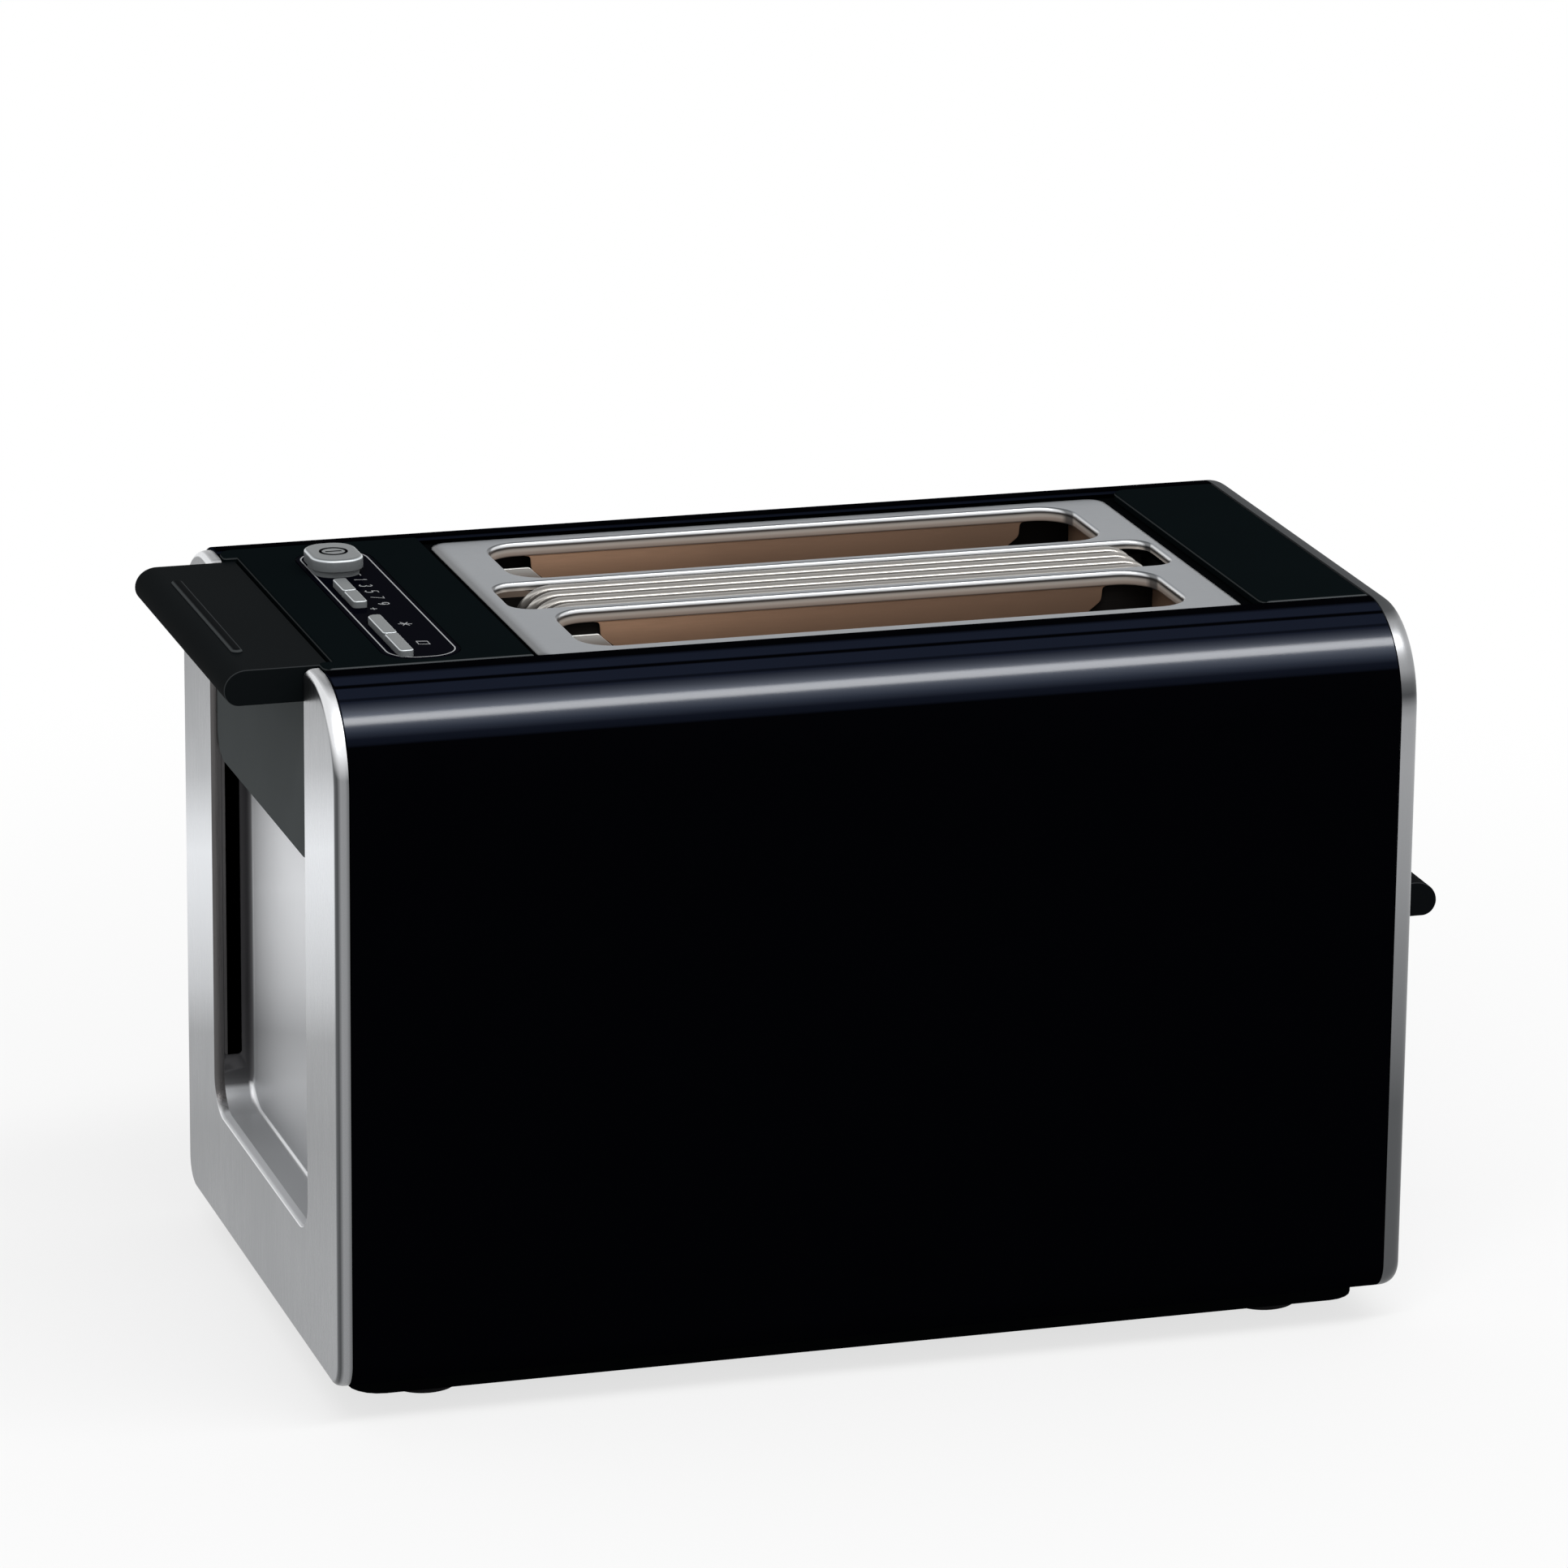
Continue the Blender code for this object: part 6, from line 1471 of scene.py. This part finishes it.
# The strokes of the digits 1 3 5 7 9 and of the signs, across and up, as shares of their height.
DIGITS = (
    [(0.08, 0.8), (0.3, 1.0), (0.3, 0.0)],
    arc((0.25, 0.73), 0.25, 140, -80, steps=10) + arc((0.25, 0.25), 0.26, 80, -140, steps=12),
    [(0.52, 1.0), (0.1, 1.0), (0.06, 0.54)] + arc((0.24, 0.3), 0.29, 110, -140, steps=12),
    [(0.0, 1.0), (0.5, 1.0), (0.16, 0.0)],
    arc((0.26, 0.7), 0.27, 0, 360, steps=18) + arc((0.1, 0.5), 0.44, 20, -60, steps=8),
)
LEVEL = [(0.0, 0.5), (1.0, 0.5)]
UPRIGHT = [(0.5, 0.0), (0.5, 1.0)]
SQUARE = [(0.1, 0.1), (0.9, 0.1), (0.9, 0.9), (0.1, 0.9), (0.1, 0.1)]


@dataclass(frozen=True)
class ControlPanel:
    """The gloss panel with its white line and scale, the power button and the four keys."""

    flange: ClassVar[float] = 0.0015
    corner: ClassVar[float] = 0.0085
    line_inset: float = 0.0011
    line_width: float = 0.00034
    print_lift: float = 0.00004
    clearance: float = 0.00025
    button_x: Span = (-0.1185, -0.1050)
    button_y: Span = (0.0236, 0.0420)
    button_corner: float = 0.0058
    button_edge: Span = (0.0012, 0.0009)
    ring_radii: Span = (0.0030, 0.0037)
    bar_half: Span = (0.0021, 0.00025)
    bar_ease: float = 0.00002
    cap_depth: float = 0.0034
    collar_inset: float = 0.0009
    key_x: Span = (-0.1158, -0.1122)
    key_edge: Span = (0.0006, 0.0005)
    key_corner: float = 0.0011
    soft_corner: float = 0.0018
    digit_base: float = -0.1092
    digit_height: float = 0.0031
    digit_start: float = 0.0222
    digit_pitch: float = 0.0059
    sign_places: ClassVar[dict[str, Point]] = {
        "less": (-0.1074, 0.0268),
        "more": (-0.1120, -0.0058),
        "thaw": (-0.1088, -0.0205),
        "stop": (-0.1088, -0.0385),
    }
    sign_height: float = 0.0017
    icon_height: float = 0.0034
    stroke: float = 0.00020
    slant: float = 0.22

    def build(self) -> None:
        """Build the panel, its prints, the button and the keys."""
        low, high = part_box("control_panel")
        self.plate(low, high)
        self.white_line(low, high)
        self.scale(high.z)
        self.power_button()
        for name in ("minus", "plus", "thaw", "stop"):
            self.key(name)
        dress(Finishes.BOARD, "control_board")

    def button_outline(self, grow: float = 0.0) -> Outline:
        """Draw the button's outline.

        Args:
            grow: How far it is moved out.

        Returns:
            The outline.
        """
        low = (self.button_x[0] - grow, self.button_y[0] - grow)
        high = (self.button_x[1] + grow, self.button_y[1] + grow)
        return rounded(low, high, self.button_corner + grow, steps=14)

    def key_span(self, name: str) -> Span:
        """Where a key starts and ends along Y."""
        low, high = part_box(f"{name}_key")
        return low.y, high.y

    def plate(self, low: Vector, high: Vector) -> None:
        """Build the panel, pierced for the button and the two rows of keys.

        Args:
            low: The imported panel's lowest corner.
            high: Its highest corner.
        """
        inset = self.flange
        gap = self.clearance
        start, end = (low.x + inset, low.y + inset), (high.x - inset, high.y - inset)
        outline = rounded(start, end, self.corner, steps=14)
        holes = [(self.button_outline(gap - self.collar_inset), ())]
        for lower, upper in (("plus", "minus"), ("stop", "thaw")):
            start = (self.key_x[0] - gap, self.key_span(lower)[0] - gap)
            end = (self.key_x[1] + gap, self.key_span(upper)[1] + gap)
            holes.append((rounded(start, end, self.key_corner + gap, steps=5), ()))
        form = Form()
        rim = [(0.0, low.z)] + edge(gap, gap, high.z, steps=3)
        form.plate(outline, rim, holes)
        form.piece("control_panel_face", Finishes.PANEL, "housing", ["control_panel"])

    def white_line(self, low: Vector, high: Vector) -> None:
        """Print the white line round the panel.

        Args:
            low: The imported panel's lowest corner.
            high: Its highest corner.
        """
        loops = []
        for inset in (self.line_inset, self.line_inset + self.line_width):
            shrink = self.flange + inset
            start, end = (low.x + shrink, low.y + shrink), (high.x - shrink, high.y - shrink)
            loops.append(rounded(start, end, self.corner - inset, steps=14))
        form = Form()
        rim = [(0.0, high.z - self.print_lift), (0.0, high.z + self.print_lift)]
        form.plate(loops[0], rim, [(loops[1], ())])
        form.piece("panel_white_line", Finishes.PRINT, "housing")

    def scale(self, top: float) -> None:
        """Print the browning scale 1 3 5 7 9 and the signs for less and more.

        Args:
            top: The height of the panel's face.
        """
        form = Form()
        for index, points in enumerate(DIGITS):
            start = self.digit_start - index * self.digit_pitch
            self.draw(form, points, self.digit_base, start, self.digit_height, top)
        frost = []
        for turn in (pi / 6, pi / 2, pi * 5 / 6):
            u, v = cos(turn) / 2, sin(turn) / 2
            frost.append([(0.5 - u, 0.5 - v), (0.5 + u, 0.5 + v)])
        signs = {"less": [LEVEL], "more": [LEVEL, UPRIGHT], "thaw": frost, "stop": [SQUARE]}
        for name, strokes in signs.items():
            base, start = self.sign_places[name]
            size = self.icon_height if name in ("thaw", "stop") else self.sign_height
            for points in strokes:
                self.draw(form, points, base, start, size, top)
        form.piece("panel_scale", Finishes.PRINT, "housing")

    def draw(
        self,
        form: Form,
        points: Sequence[Point],
        base: float,
        start: float,
        size: float,
        top: float,
    ) -> None:
        """Draw one stroke of a sign that stands up along +X and reads along -Y.

        Args:
            form: The form to draw in.
            points: The stroke's points, across and up, as shares of the sign's height.
            base: The foot of the sign along X.
            start: Its start along Y.
            size: Its height.
            top: The height of the panel's face.
        """
        depth = top - self.stroke / 2
        places = [(base + v * size, start - (u + v * self.slant) * size, depth) for u, v in points]
        form.tube(places, self.stroke, sides=6)

    def power_button(self) -> None:
        """Build the power button, a soft-edged cap on a narrower collar, with its ring and bar."""
        low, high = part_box("power_button")
        top = high.z - self.print_lift * 2
        foot = high.z - self.cap_depth
        form = Form()
        rim = [(-self.collar_inset, foot), (-self.clearance, foot), (0.0, foot + self.clearance)]
        form.plate(self.button_outline(), rim + edge(*self.button_edge, top, steps=7))
        inset = self.collar_inset
        form.plate(self.button_outline(-inset), [(0.0, low.z + inset), (0.0, foot)])
        body = "power_button_body"
        form.piece("power_button_cap", Finishes.SILVER, body, ["power_button"], smooth=50.0)
        x, y = sum(self.button_x) / 2, sum(self.button_y) / 2
        inner, outer = self.ring_radii
        half_x, half_y = self.bar_half
        ring = Form()
        section = [(inner, top), (outer, top), (outer, high.z), (inner, high.z)]
        ring.turned((x, y), section, steps=48, hollow=True)
        start = (x - half_x, y - half_y, top - self.print_lift)
        ring.box(start, (x + half_x, y + half_y, high.z), self.bar_ease)
        ring.piece("power_button_mark", Finishes.MARK, body)

    def key(self, name: str) -> None:
        """Build one slim key.

        Args:
            name: The key's name.
        """
        low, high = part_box(f"{name}_key")
        first, last = self.key_span(name)
        far = self.soft_corner if name == "thaw" else self.key_corner
        corners = (
            (self.key_x[0], first, self.key_corner),
            (self.key_x[1], first, self.key_corner),
            (self.key_x[1], last, far / 2),
            (self.key_x[0], last, far),
        )
        form = Form()
        foot = high.z - self.cap_depth * 2
        form.plate(Outline(corners), [(0.0, foot)] + edge(*self.key_edge, high.z))
        form.piece(f"{name}_key_cap", Finishes.SILVER, f"{name}_key_body", [f"{name}_key"], smooth=50.0)


@dataclass(frozen=True)
class Handle:
    """A wide handle of one section with a blunt round nose."""

    node: str
    body: str
    nose: float
    inner: float
    plastic: Finish
    thickness: float = 0.009
    nose_top: float = 0.0056
    nose_low: float = 0.0038
    nose_rise: float = 0.005
    nose_steps: int = 10
    ease: float = 0.0005

    def build(self) -> None:
        """Build the handle out of its section."""
        low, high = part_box(self.node)
        top = low.z + self.thickness
        way = 1 if self.inner > self.nose else -1
        middle = top - self.nose_rise
        drop = self.thickness - self.nose_rise
        turns = [pi / 2 * step / self.nose_steps for step in range(self.nose_steps + 1)]
        section = [(self.inner, top, 0.0)]
        for turn in turns:
            u = self.nose + way * self.nose_top * (1 - sin(turn))
            section.append((u, middle + self.nose_rise * cos(turn), 0.0))
        for turn in turns[1:]:
            u = self.nose + way * self.nose_low * (1 - cos(turn))
            section.append((u, middle - drop * sin(turn), 0.0))
        section.append((self.inner, low.z, 0.0))
        form = Form(View.SIDE)
        outline = Outline(section if way > 0 else section[::-1])
        ease = self.ease
        start, end = low.y, high.y
        profile = [(-ease, start), (-ease / 4, start + ease / 4), (0.0, start + ease)]
        profile += [(0.0, end - ease), (-ease / 4, end - ease / 4), (-ease, end)]
        form.plate(outline, profile)
        form.piece(f"{self.node}_grip", self.plastic, self.body, [self.node], smooth=40.0)


@dataclass(frozen=True)
class Lever:
    """The lift lever: handle, rib, skirt, and the bracket behind it."""

    handle_x: Span = (-0.1596, -0.1335)
    rib_x: float = -0.1524
    rib_half: float = 0.0345
    rib_radius: float = 0.0015
    rib_height: float = 0.0008
    rib_reach: float = 0.00144
    rib_foot: float = 0.00096
    skirt_low: float = 0.136
    skirt_high: float = 0.1777
    skirt_x: Span = (-0.137, -0.1385)
    skirt_half: float = 0.0504
    skirt_corner: float = 0.008
    skirt_edge: float = 0.0004
    tab_x: Span = (-0.136, -0.1332)
    tab_y: Span = (0.046, 0.057)
    tab_z: Span = (0.145, 0.156)

    def build(self) -> None:
        """Build the lever."""
        nose, inner = self.handle_x
        Handle("lever_handle", "bread_lift", nose, inner, Finishes.LEVER).build()
        self.rib()
        self.skirt()
        dress(Finishes.STEEL_SHEET, "lever_yoke")

    def rib(self) -> None:
        """Build the half-round rib on the handle."""
        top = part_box("lever_handle")[1].z
        foot = top - self.rib_foot
        low = (self.rib_x - self.rib_radius, -self.rib_half)
        high = (self.rib_x + self.rib_radius, self.rib_half)
        form = Form()
        rim = [(0.0, foot)] + edge(self.rib_reach, self.rib_height, top, steps=8)
        form.plate(rounded(low, high, self.rib_radius, steps=12), rim)
        form.piece("lever_rib", Finishes.RIB, "bread_lift", smooth=80.0)

    def skirt(self) -> None:
        """Build the skirt plate and its two tabs."""
        half = self.skirt_half
        corners = (
            (-half, self.skirt_low, self.skirt_corner),
            (half, self.skirt_low, self.skirt_corner),
            (half, self.skirt_high, self.skirt_edge),
            (-half, self.skirt_high, self.skirt_edge),
        )
        form = Form(View.END)
        back, front = self.skirt_x
        rim = [(0.0, back)] + edge(self.skirt_edge, -self.skirt_edge, front, steps=4)
        form.plate(Outline(corners, steps=12), rim)
        for side in (-1, 1):
            near, far = sorted((side * self.tab_y[0], side * self.tab_y[1]))
            form.box((near, self.tab_z[0], self.tab_x[0]), (far, self.tab_z[1], self.tab_x[1]))
            root = sorted((side * self.tab_y[0], side * (half - self.skirt_edge)))
            form.box((root[0], self.tab_z[0], back), (root[1], self.tab_z[1], self.tab_x[0]))
        form.piece("lever_skirt_plate", Finishes.SKIRT, "bread_lift", ["lever_skirt"])


@dataclass(frozen=True)
class BunRack:
    """The four bent rods of the bun rack, and its own lever."""

    handle_x: Span = (0.1596, 0.1347)
    rod_radius: float = 0.002
    rod_y: tuple[float, ...] = (-0.009, -0.003, 0.003, 0.009)
    rod_x: Span = (-0.069, 0.0953)
    bend: float = 0.008

    def build(self) -> None:
        """Build the rods and the lever, and dress the frame that joins them."""
        for index, y in enumerate(self.rod_y, 1):
            self.rod(index, y)
        nose, inner = self.handle_x
        Handle("bun_lever_handle", "bun_rack", nose, inner, Finishes.BUN_LEVER).build()
        dress(Finishes.SKIRT, "bun_lever_plate")
        dress(Finishes.STEEL_SHEET, "bun_rack_frame", "bun_rack_yoke")

    def rod(self, index: int, y: float) -> None:
        """Bend one rod.

        Args:
            index: Its number, from the front.
            y: Its place across the toaster.
        """
        node = f"bun_rod_{index}"
        low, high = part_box(node)
        left, right = self.rod_x
        bend = self.bend
        shoulder = high.z - self.rod_radius - bend
        path = [(left, low.z)] + arc((left + bend, shoulder), bend, 180, 90)
        path += arc((right - bend, shoulder), bend, 90, 0) + [(right, low.z)]
        form = Form()
        form.tube([(x, y, z) for x, z in path], self.rod_radius, sides=24)
        form.piece(f"{node}_wire", Finishes.STEEL_WIRE, "bun_rack", [node], smooth=50.0)


@dataclass(frozen=True)
class HeatBox:
    """The heaters, guards, reflectors, lifters and works inside the casing."""

    ribbon_pitch: float = 0.009
    ribbon_width: float = 0.0014
    ribbon_thickness: float = 0.00015
    ribbon_inset: float = 0.006
    ribbon_ease: float = 0.00003
    wire_radius: float = 0.0006
    wire_pitch: float = 0.0112
    guard_inset: float = 0.008
    guard_foot: float = 0.0014
    spring_turns: int = 14
    spring_steps: int = 16
    spring_gap: float = 0.0002
    lift_travel: float = 0.09

    def build(self) -> None:
        """Build the ribbons and guards, and dress the works."""
        for name in ("front_outer", "front_inner", "rear_inner", "rear_outer"):
            self.ribbons(name)
            self.guard(name)
            dress(Finishes.MICA, f"{name}_heater")
        dress(Finishes.STEEL_HEAT_DARKENED_AND_SHADED, "front_reflector", "rear_reflector")
        dress(Finishes.STEEL_HEAT_DARKENED_AND_SHADED, "left_bulkhead", "right_bulkhead")
        dress(Finishes.STEEL_SHEET, "front_lifter", "rear_lifter", "carriage", "armature")
        dress(Finishes.STEEL_SCREW, "guide_rod")
        dress(Finishes.COIL, "holding_magnet")
        self.spring()

    def spring(self) -> None:
        """Wind the return spring at its full length; the carriage presses the real spring together on
        its way down.
        """
        low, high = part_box("return_spring")
        wire = self.wire_radius
        x, y = (low.x + high.x) / 2, (low.y + high.y) / 2
        radius = (high.y - low.y) / 2 - wire
        start, end = low.z + wire, high.z - wire - self.spring_gap
        count = self.spring_turns * self.spring_steps
        path = []
        for step in range(count + 1):
            turn = 2 * pi * step / self.spring_steps
            z = start + (end - start) * step / count
            path.append((x + radius * cos(turn), y + radius * sin(turn), z))
        form = Form()
        form.tube(path, wire, sides=8)
        steel = Finishes.STEEL_SCREW
        coil = form.piece("return_spring_coil", steel, "housing", ["return_spring"], smooth=50.0)
        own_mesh(coil)

    def ribbons(self, name: str) -> None:
        """Lay the heater's flat ribbon in runs on both faces of its board.

        Args:
            name: Which heater it is.
        """
        low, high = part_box(f"{name}_heater")
        form = Form()
        runs = int((high.z - low.z) / self.ribbon_pitch)
        for run in range(1, runs):
            z = low.z + run * self.ribbon_pitch
            for face, way in ((low.y, -1), (high.y, 1)):
                first, last = sorted((face, face + way * self.ribbon_thickness))
                start = (low.x + self.ribbon_inset, first, z)
                end = (high.x - self.ribbon_inset, last, z + self.ribbon_width)
                form.box(start, end, self.ribbon_ease)
        form.piece(f"{name}_ribbon", Finishes.RIBBON, "housing")

    def guard(self, name: str) -> None:
        """Build a bread guard as a welded wire grille.

        Args:
            name: Which guard it is.
        """
        low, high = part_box(f"{name}_guard")
        y = (low.y + high.y) / 2
        radius = self.wire_radius
        form = Form()
        left, right = low.x + self.guard_inset, high.x - self.guard_inset
        foot, head = low.z + self.guard_foot, high.z - radius
        for z, start, end in ((foot, low.x, high.x), (head, left, right)):
            form.tube([(start, y, z), (end, y, z)], radius, sides=10)
        count = int((right - left) / self.wire_pitch)
        for index in range(count + 1):
            x = left + (right - left) * index / count
            form.tube([(x, y, foot), (x, y, head)], radius, sides=8)
        form.piece(f"{name}_guard_grille", Finishes.STEEL_WIRE, f"{name}_guard_body", [f"{name}_guard"])


@dataclass(frozen=True)
class Underside:
    """The feet, base screws, crumb tray and cord gland."""

    foot_radius: float = 0.009
    foot_edge: float = 0.001
    foot_dish: float = 0.0006
    dish_radii: Triple = (0.00018, 0.0054, 0.0063)
    foot_bend: float = 0.0003
    foot_top: float = 0.0002
    screw_radius: float = 0.0028
    screw_face: float = 0.00252
    screw_ease: float = 0.0002
    screw_neck: float = 0.0014
    screw_tip: float = 0.00098
    tip_height: float = 0.0004
    cross_half: Span = (0.00168, 0.000448)
    cross_span: Span = (-0.00002, 0.00005)
    cross_ease: float = 0.00001
    gland_bore: float = 0.0034
    gland_radius: float = 0.0052
    gland_collar: float = 0.0072
    gland_flange: float = 0.0023
    gland_ease: float = 0.0006

    def build(self) -> None:
        """Build the small parts under and behind the toaster."""
        for row in ("front", "rear"):
            for end in ("left", "right"):
                self.foot(f"foot_{row}_{end}")
                self.screw(f"base_screw_{row}_{end}")
        self.gland()
        dress(Finishes.STEEL_SHEET, "crumb_tray")

    def foot(self, node: str) -> None:
        """Turn one rubber foot, dished underneath.

        Args:
            node: The node that it stands for.
        """
        low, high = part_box(node)
        middle = ((low.x + high.x) / 2, (low.y + high.y) / 2)
        radius, soft, bend = self.foot_radius, self.foot_edge, self.foot_bend
        centre, dish, ground = self.dish_radii
        profile = (
            (centre, low.z + self.foot_dish),
            (dish, low.z + self.foot_dish),
            (ground, low.z),
            (radius - soft, low.z),
            (radius - bend, low.z + bend),
            (radius, low.z + soft),
            (radius, high.z - self.foot_top),
            (radius - self.foot_top, high.z),
        )
        form = Form()
        form.turned(middle, profile)
        form.piece(f"{node}_pad", Finishes.RUBBER, "housing", [node])

    def screw(self, node: str) -> None:
        """Turn one countersunk screw with a crossed recess.

        Args:
            node: The node that it stands for.
        """
        low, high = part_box(node)
        x, y = (low.x + high.x) / 2, (low.y + high.y) / 2
        neck = self.screw_neck
        head = low.z + (self.screw_radius - neck)
        form = Form()
        profile = (
            (self.screw_face, low.z),
            (self.screw_radius, low.z + self.screw_ease),
            (neck, head),
            (neck, high.z - self.tip_height),
            (self.screw_tip, high.z),
        )
        form.turned((x, y), profile, steps=28)
        form.piece(f"{node}_metal", Finishes.STEEL_SCREW, "housing", [node])
        cross = Form()
        foot, top = self.cross_span
        for half_x, half_y in (self.cross_half, self.cross_half[::-1]):
            start, end = (x - half_x, y - half_y, low.z + foot), (x + half_x, y + half_y, low.z + top)
            cross.box(start, end, self.cross_ease)
        cross.piece(f"{node}_cross", Finishes.MARK, "housing")

    def gland(self) -> None:
        """Turn the cord gland round its bore."""
        low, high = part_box("cord_gland")
        bore, body, collar = self.gland_bore, self.gland_radius, self.gland_collar
        soft = self.gland_ease
        face = high.x - self.gland_flange
        profile = (
            (bore, low.x),
            (body - soft, low.x),
            (body, low.x + soft),
            (body, face),
            (collar, face),
            (collar, high.x - soft),
            (collar - soft, high.x),
            (bore + soft, high.x),
            (bore, high.x - soft),
        )
        form = Form(View.END)
        form.turned(GLAND_PLACE, profile, steps=36, hollow=True)
        form.piece("cord_gland_rubber", Finishes.RUBBER, "housing", ["cord_gland"])


@dataclass(frozen=True)
class Studio:
    """The camera at the photograph's angle, the pale floor and the soft lamp."""

    frame_pixels: float = 1932.0
    focal_pixels: float = 9809.8
    sensor_width: float = 36.0
    far_clip: float = 50.0
    eye: Triple = (-0.57606, -1.87140, 0.71477)
    pitch: float = 0.2894
    yaw: float = -0.29796
    roll: float = 0.01005
    floor_size: float = 12.0
    floor_reach: Span = (0.20, 0.60)
    floor_glow: float = 0.72
    floor_colour: tuple[float, ...] = (0.88, 0.88, 0.88, 1.0)
    floor_roughness: float = 0.9
    ambient: float = 0.60
    lamp_place: Triple = (0.20, -0.68, 1.56)
    lamp_aim: Triple = (0.0, 0.0, 0.18)
    lamp_size: Span = (2.6, 0.26)
    lamp_power: float = 18.0

    def build(self) -> None:
        """Set up the camera, the floor, the background and the lamp."""
        self.camera()
        self.floor()
        self.background()
        self.lamp()
        bpy.context.scene.view_settings.view_transform = "Standard"

    def camera(self) -> None:
        """Place the camera as fitted to the photograph."""
        data = bpy.data.cameras.new("photo_camera")
        data.sensor_width = self.sensor_width
        data.lens = self.focal_pixels / self.frame_pixels * self.sensor_width
        data.clip_end = self.far_clip
        made = put("photo_camera", data)
        reach = cos(self.pitch)
        ahead = Vector((-sin(self.yaw) * reach, cos(self.yaw) * reach, -sin(self.pitch)))
        level = ahead.cross(Vector((0.0, 0.0, 1.0))).normalized()
        upright = level.cross(ahead)
        across = level * cos(self.roll) + upright * sin(self.roll)
        up = upright * cos(self.roll) - level * sin(self.roll)
        turn = Matrix((across, up, -ahead)).transposed().to_4x4()
        made.matrix_world = Matrix.Translation(self.eye) @ turn
        bpy.context.scene.camera = made

    def seen_directly(self, graph: Graph) -> Signal:
        """Tell direct looks from the light on the object.

        Args:
            graph: The graph of the surface or of the world.

        Returns:
            One where the camera, a glossy ray or a clear ray looks at it.
        """
        return graph.node(
            "ShaderNodeMath",
            {"operation": "MAXIMUM"},
            {
                0: graph.node("ShaderNodeLightPath", output="Is Camera Ray"),
                1: graph.node("ShaderNodeLightPath", output="Is Glossy Ray")
                + graph.node("ShaderNodeLightPath", output="Is Transmission Ray"),
            },
        )

    def floor(self) -> None:
        """Lay the pale floor, which is plain white further out where it is looked at."""
        form = Form()
        half = self.floor_size / 2
        form.fill(form.ring([(-half, -half), (half, -half), (half, half), (-half, half)], 0.0))
        mesh = bpy.data.meshes.new("studio_floor")
        form.mesh.to_mesh(mesh)
        form.mesh.free()
        made = put("studio_floor", mesh)
        material = bpy.data.materials.new("studio_floor_white")
        material.use_nodes = True
        graph = Graph(material.node_tree)
        paint = graph.node(
            "ShaderNodeBsdfPrincipled",
            inputs={
                "Base Color": self.floor_colour,
                "Roughness": self.floor_roughness,
                "Specular IOR Level": 0.0,
            },
        )
        glow = graph.node("ShaderNodeEmission", inputs={"Color": WHITE, "Strength": 1.0})
        place = graph.node("ShaderNodeTexCoord", output=Source.PLACE.value)
        distance = graph.node("ShaderNodeVectorMath", {"operation": "LENGTH"}, {0: place}, "Value")
        start, end = self.floor_reach
        out = graph.node(
            "ShaderNodeMapRange",
            {"interpolation_type": "SMOOTHSTEP"},
            {"Value": distance, "From Min": start, "From Max": end},
        )
        share = self.seen_directly(graph) * (out * (1.0 - self.floor_glow) + self.floor_glow)
        mixed = graph.node("ShaderNodeMixShader", inputs={0: share, 1: paint, 2: glow})
        graph.node("ShaderNodeOutputMaterial", inputs={"Surface": mixed})
        mesh.materials.append(material)

    def background(self) -> None:
        """Light the scene evenly, with a white background where it is looked at."""
        world = bpy.data.worlds.new("studio_world")
        world.use_nodes = True
        bpy.context.scene.world = world
        graph = Graph(world.node_tree)
        strength = self.seen_directly(graph) * (1.0 - self.ambient) + self.ambient
        glow = graph.node("ShaderNodeBackground", inputs={"Color": WHITE, "Strength": strength})
        graph.node("ShaderNodeOutputWorld", inputs={"Surface": glow})

    def lamp(self) -> None:
        """Hang the long soft lamp in front of the toaster and above it."""
        data = bpy.data.lights.new("overhead_softbox", "AREA")
        data.shape = "RECTANGLE"
        data.size, data.size_y = self.lamp_size
        data.energy = self.lamp_power
        made = put("overhead_softbox", data)
        made.location = self.lamp_place
        aim = Vector(self.lamp_aim) - Vector(self.lamp_place)
        made.rotation_euler = aim.to_track_quat("-Z", "Y").to_euler()


def main() -> None:
    """Build the studio and every sub-assembly, and report each piece."""
    logging.basicConfig(level=logging.INFO, format="%(name)s %(message)s")
    Studio().build()
    Casing().build()
    LEFT_CAP.build()
    RIGHT_CAP.build()
    SlotPlate().build()
    ControlPanel().build()
    Lever().build()
    BunRack().build()
    HeatBox().build()
    Underside().build()


if __name__ == "__main__":
    main()
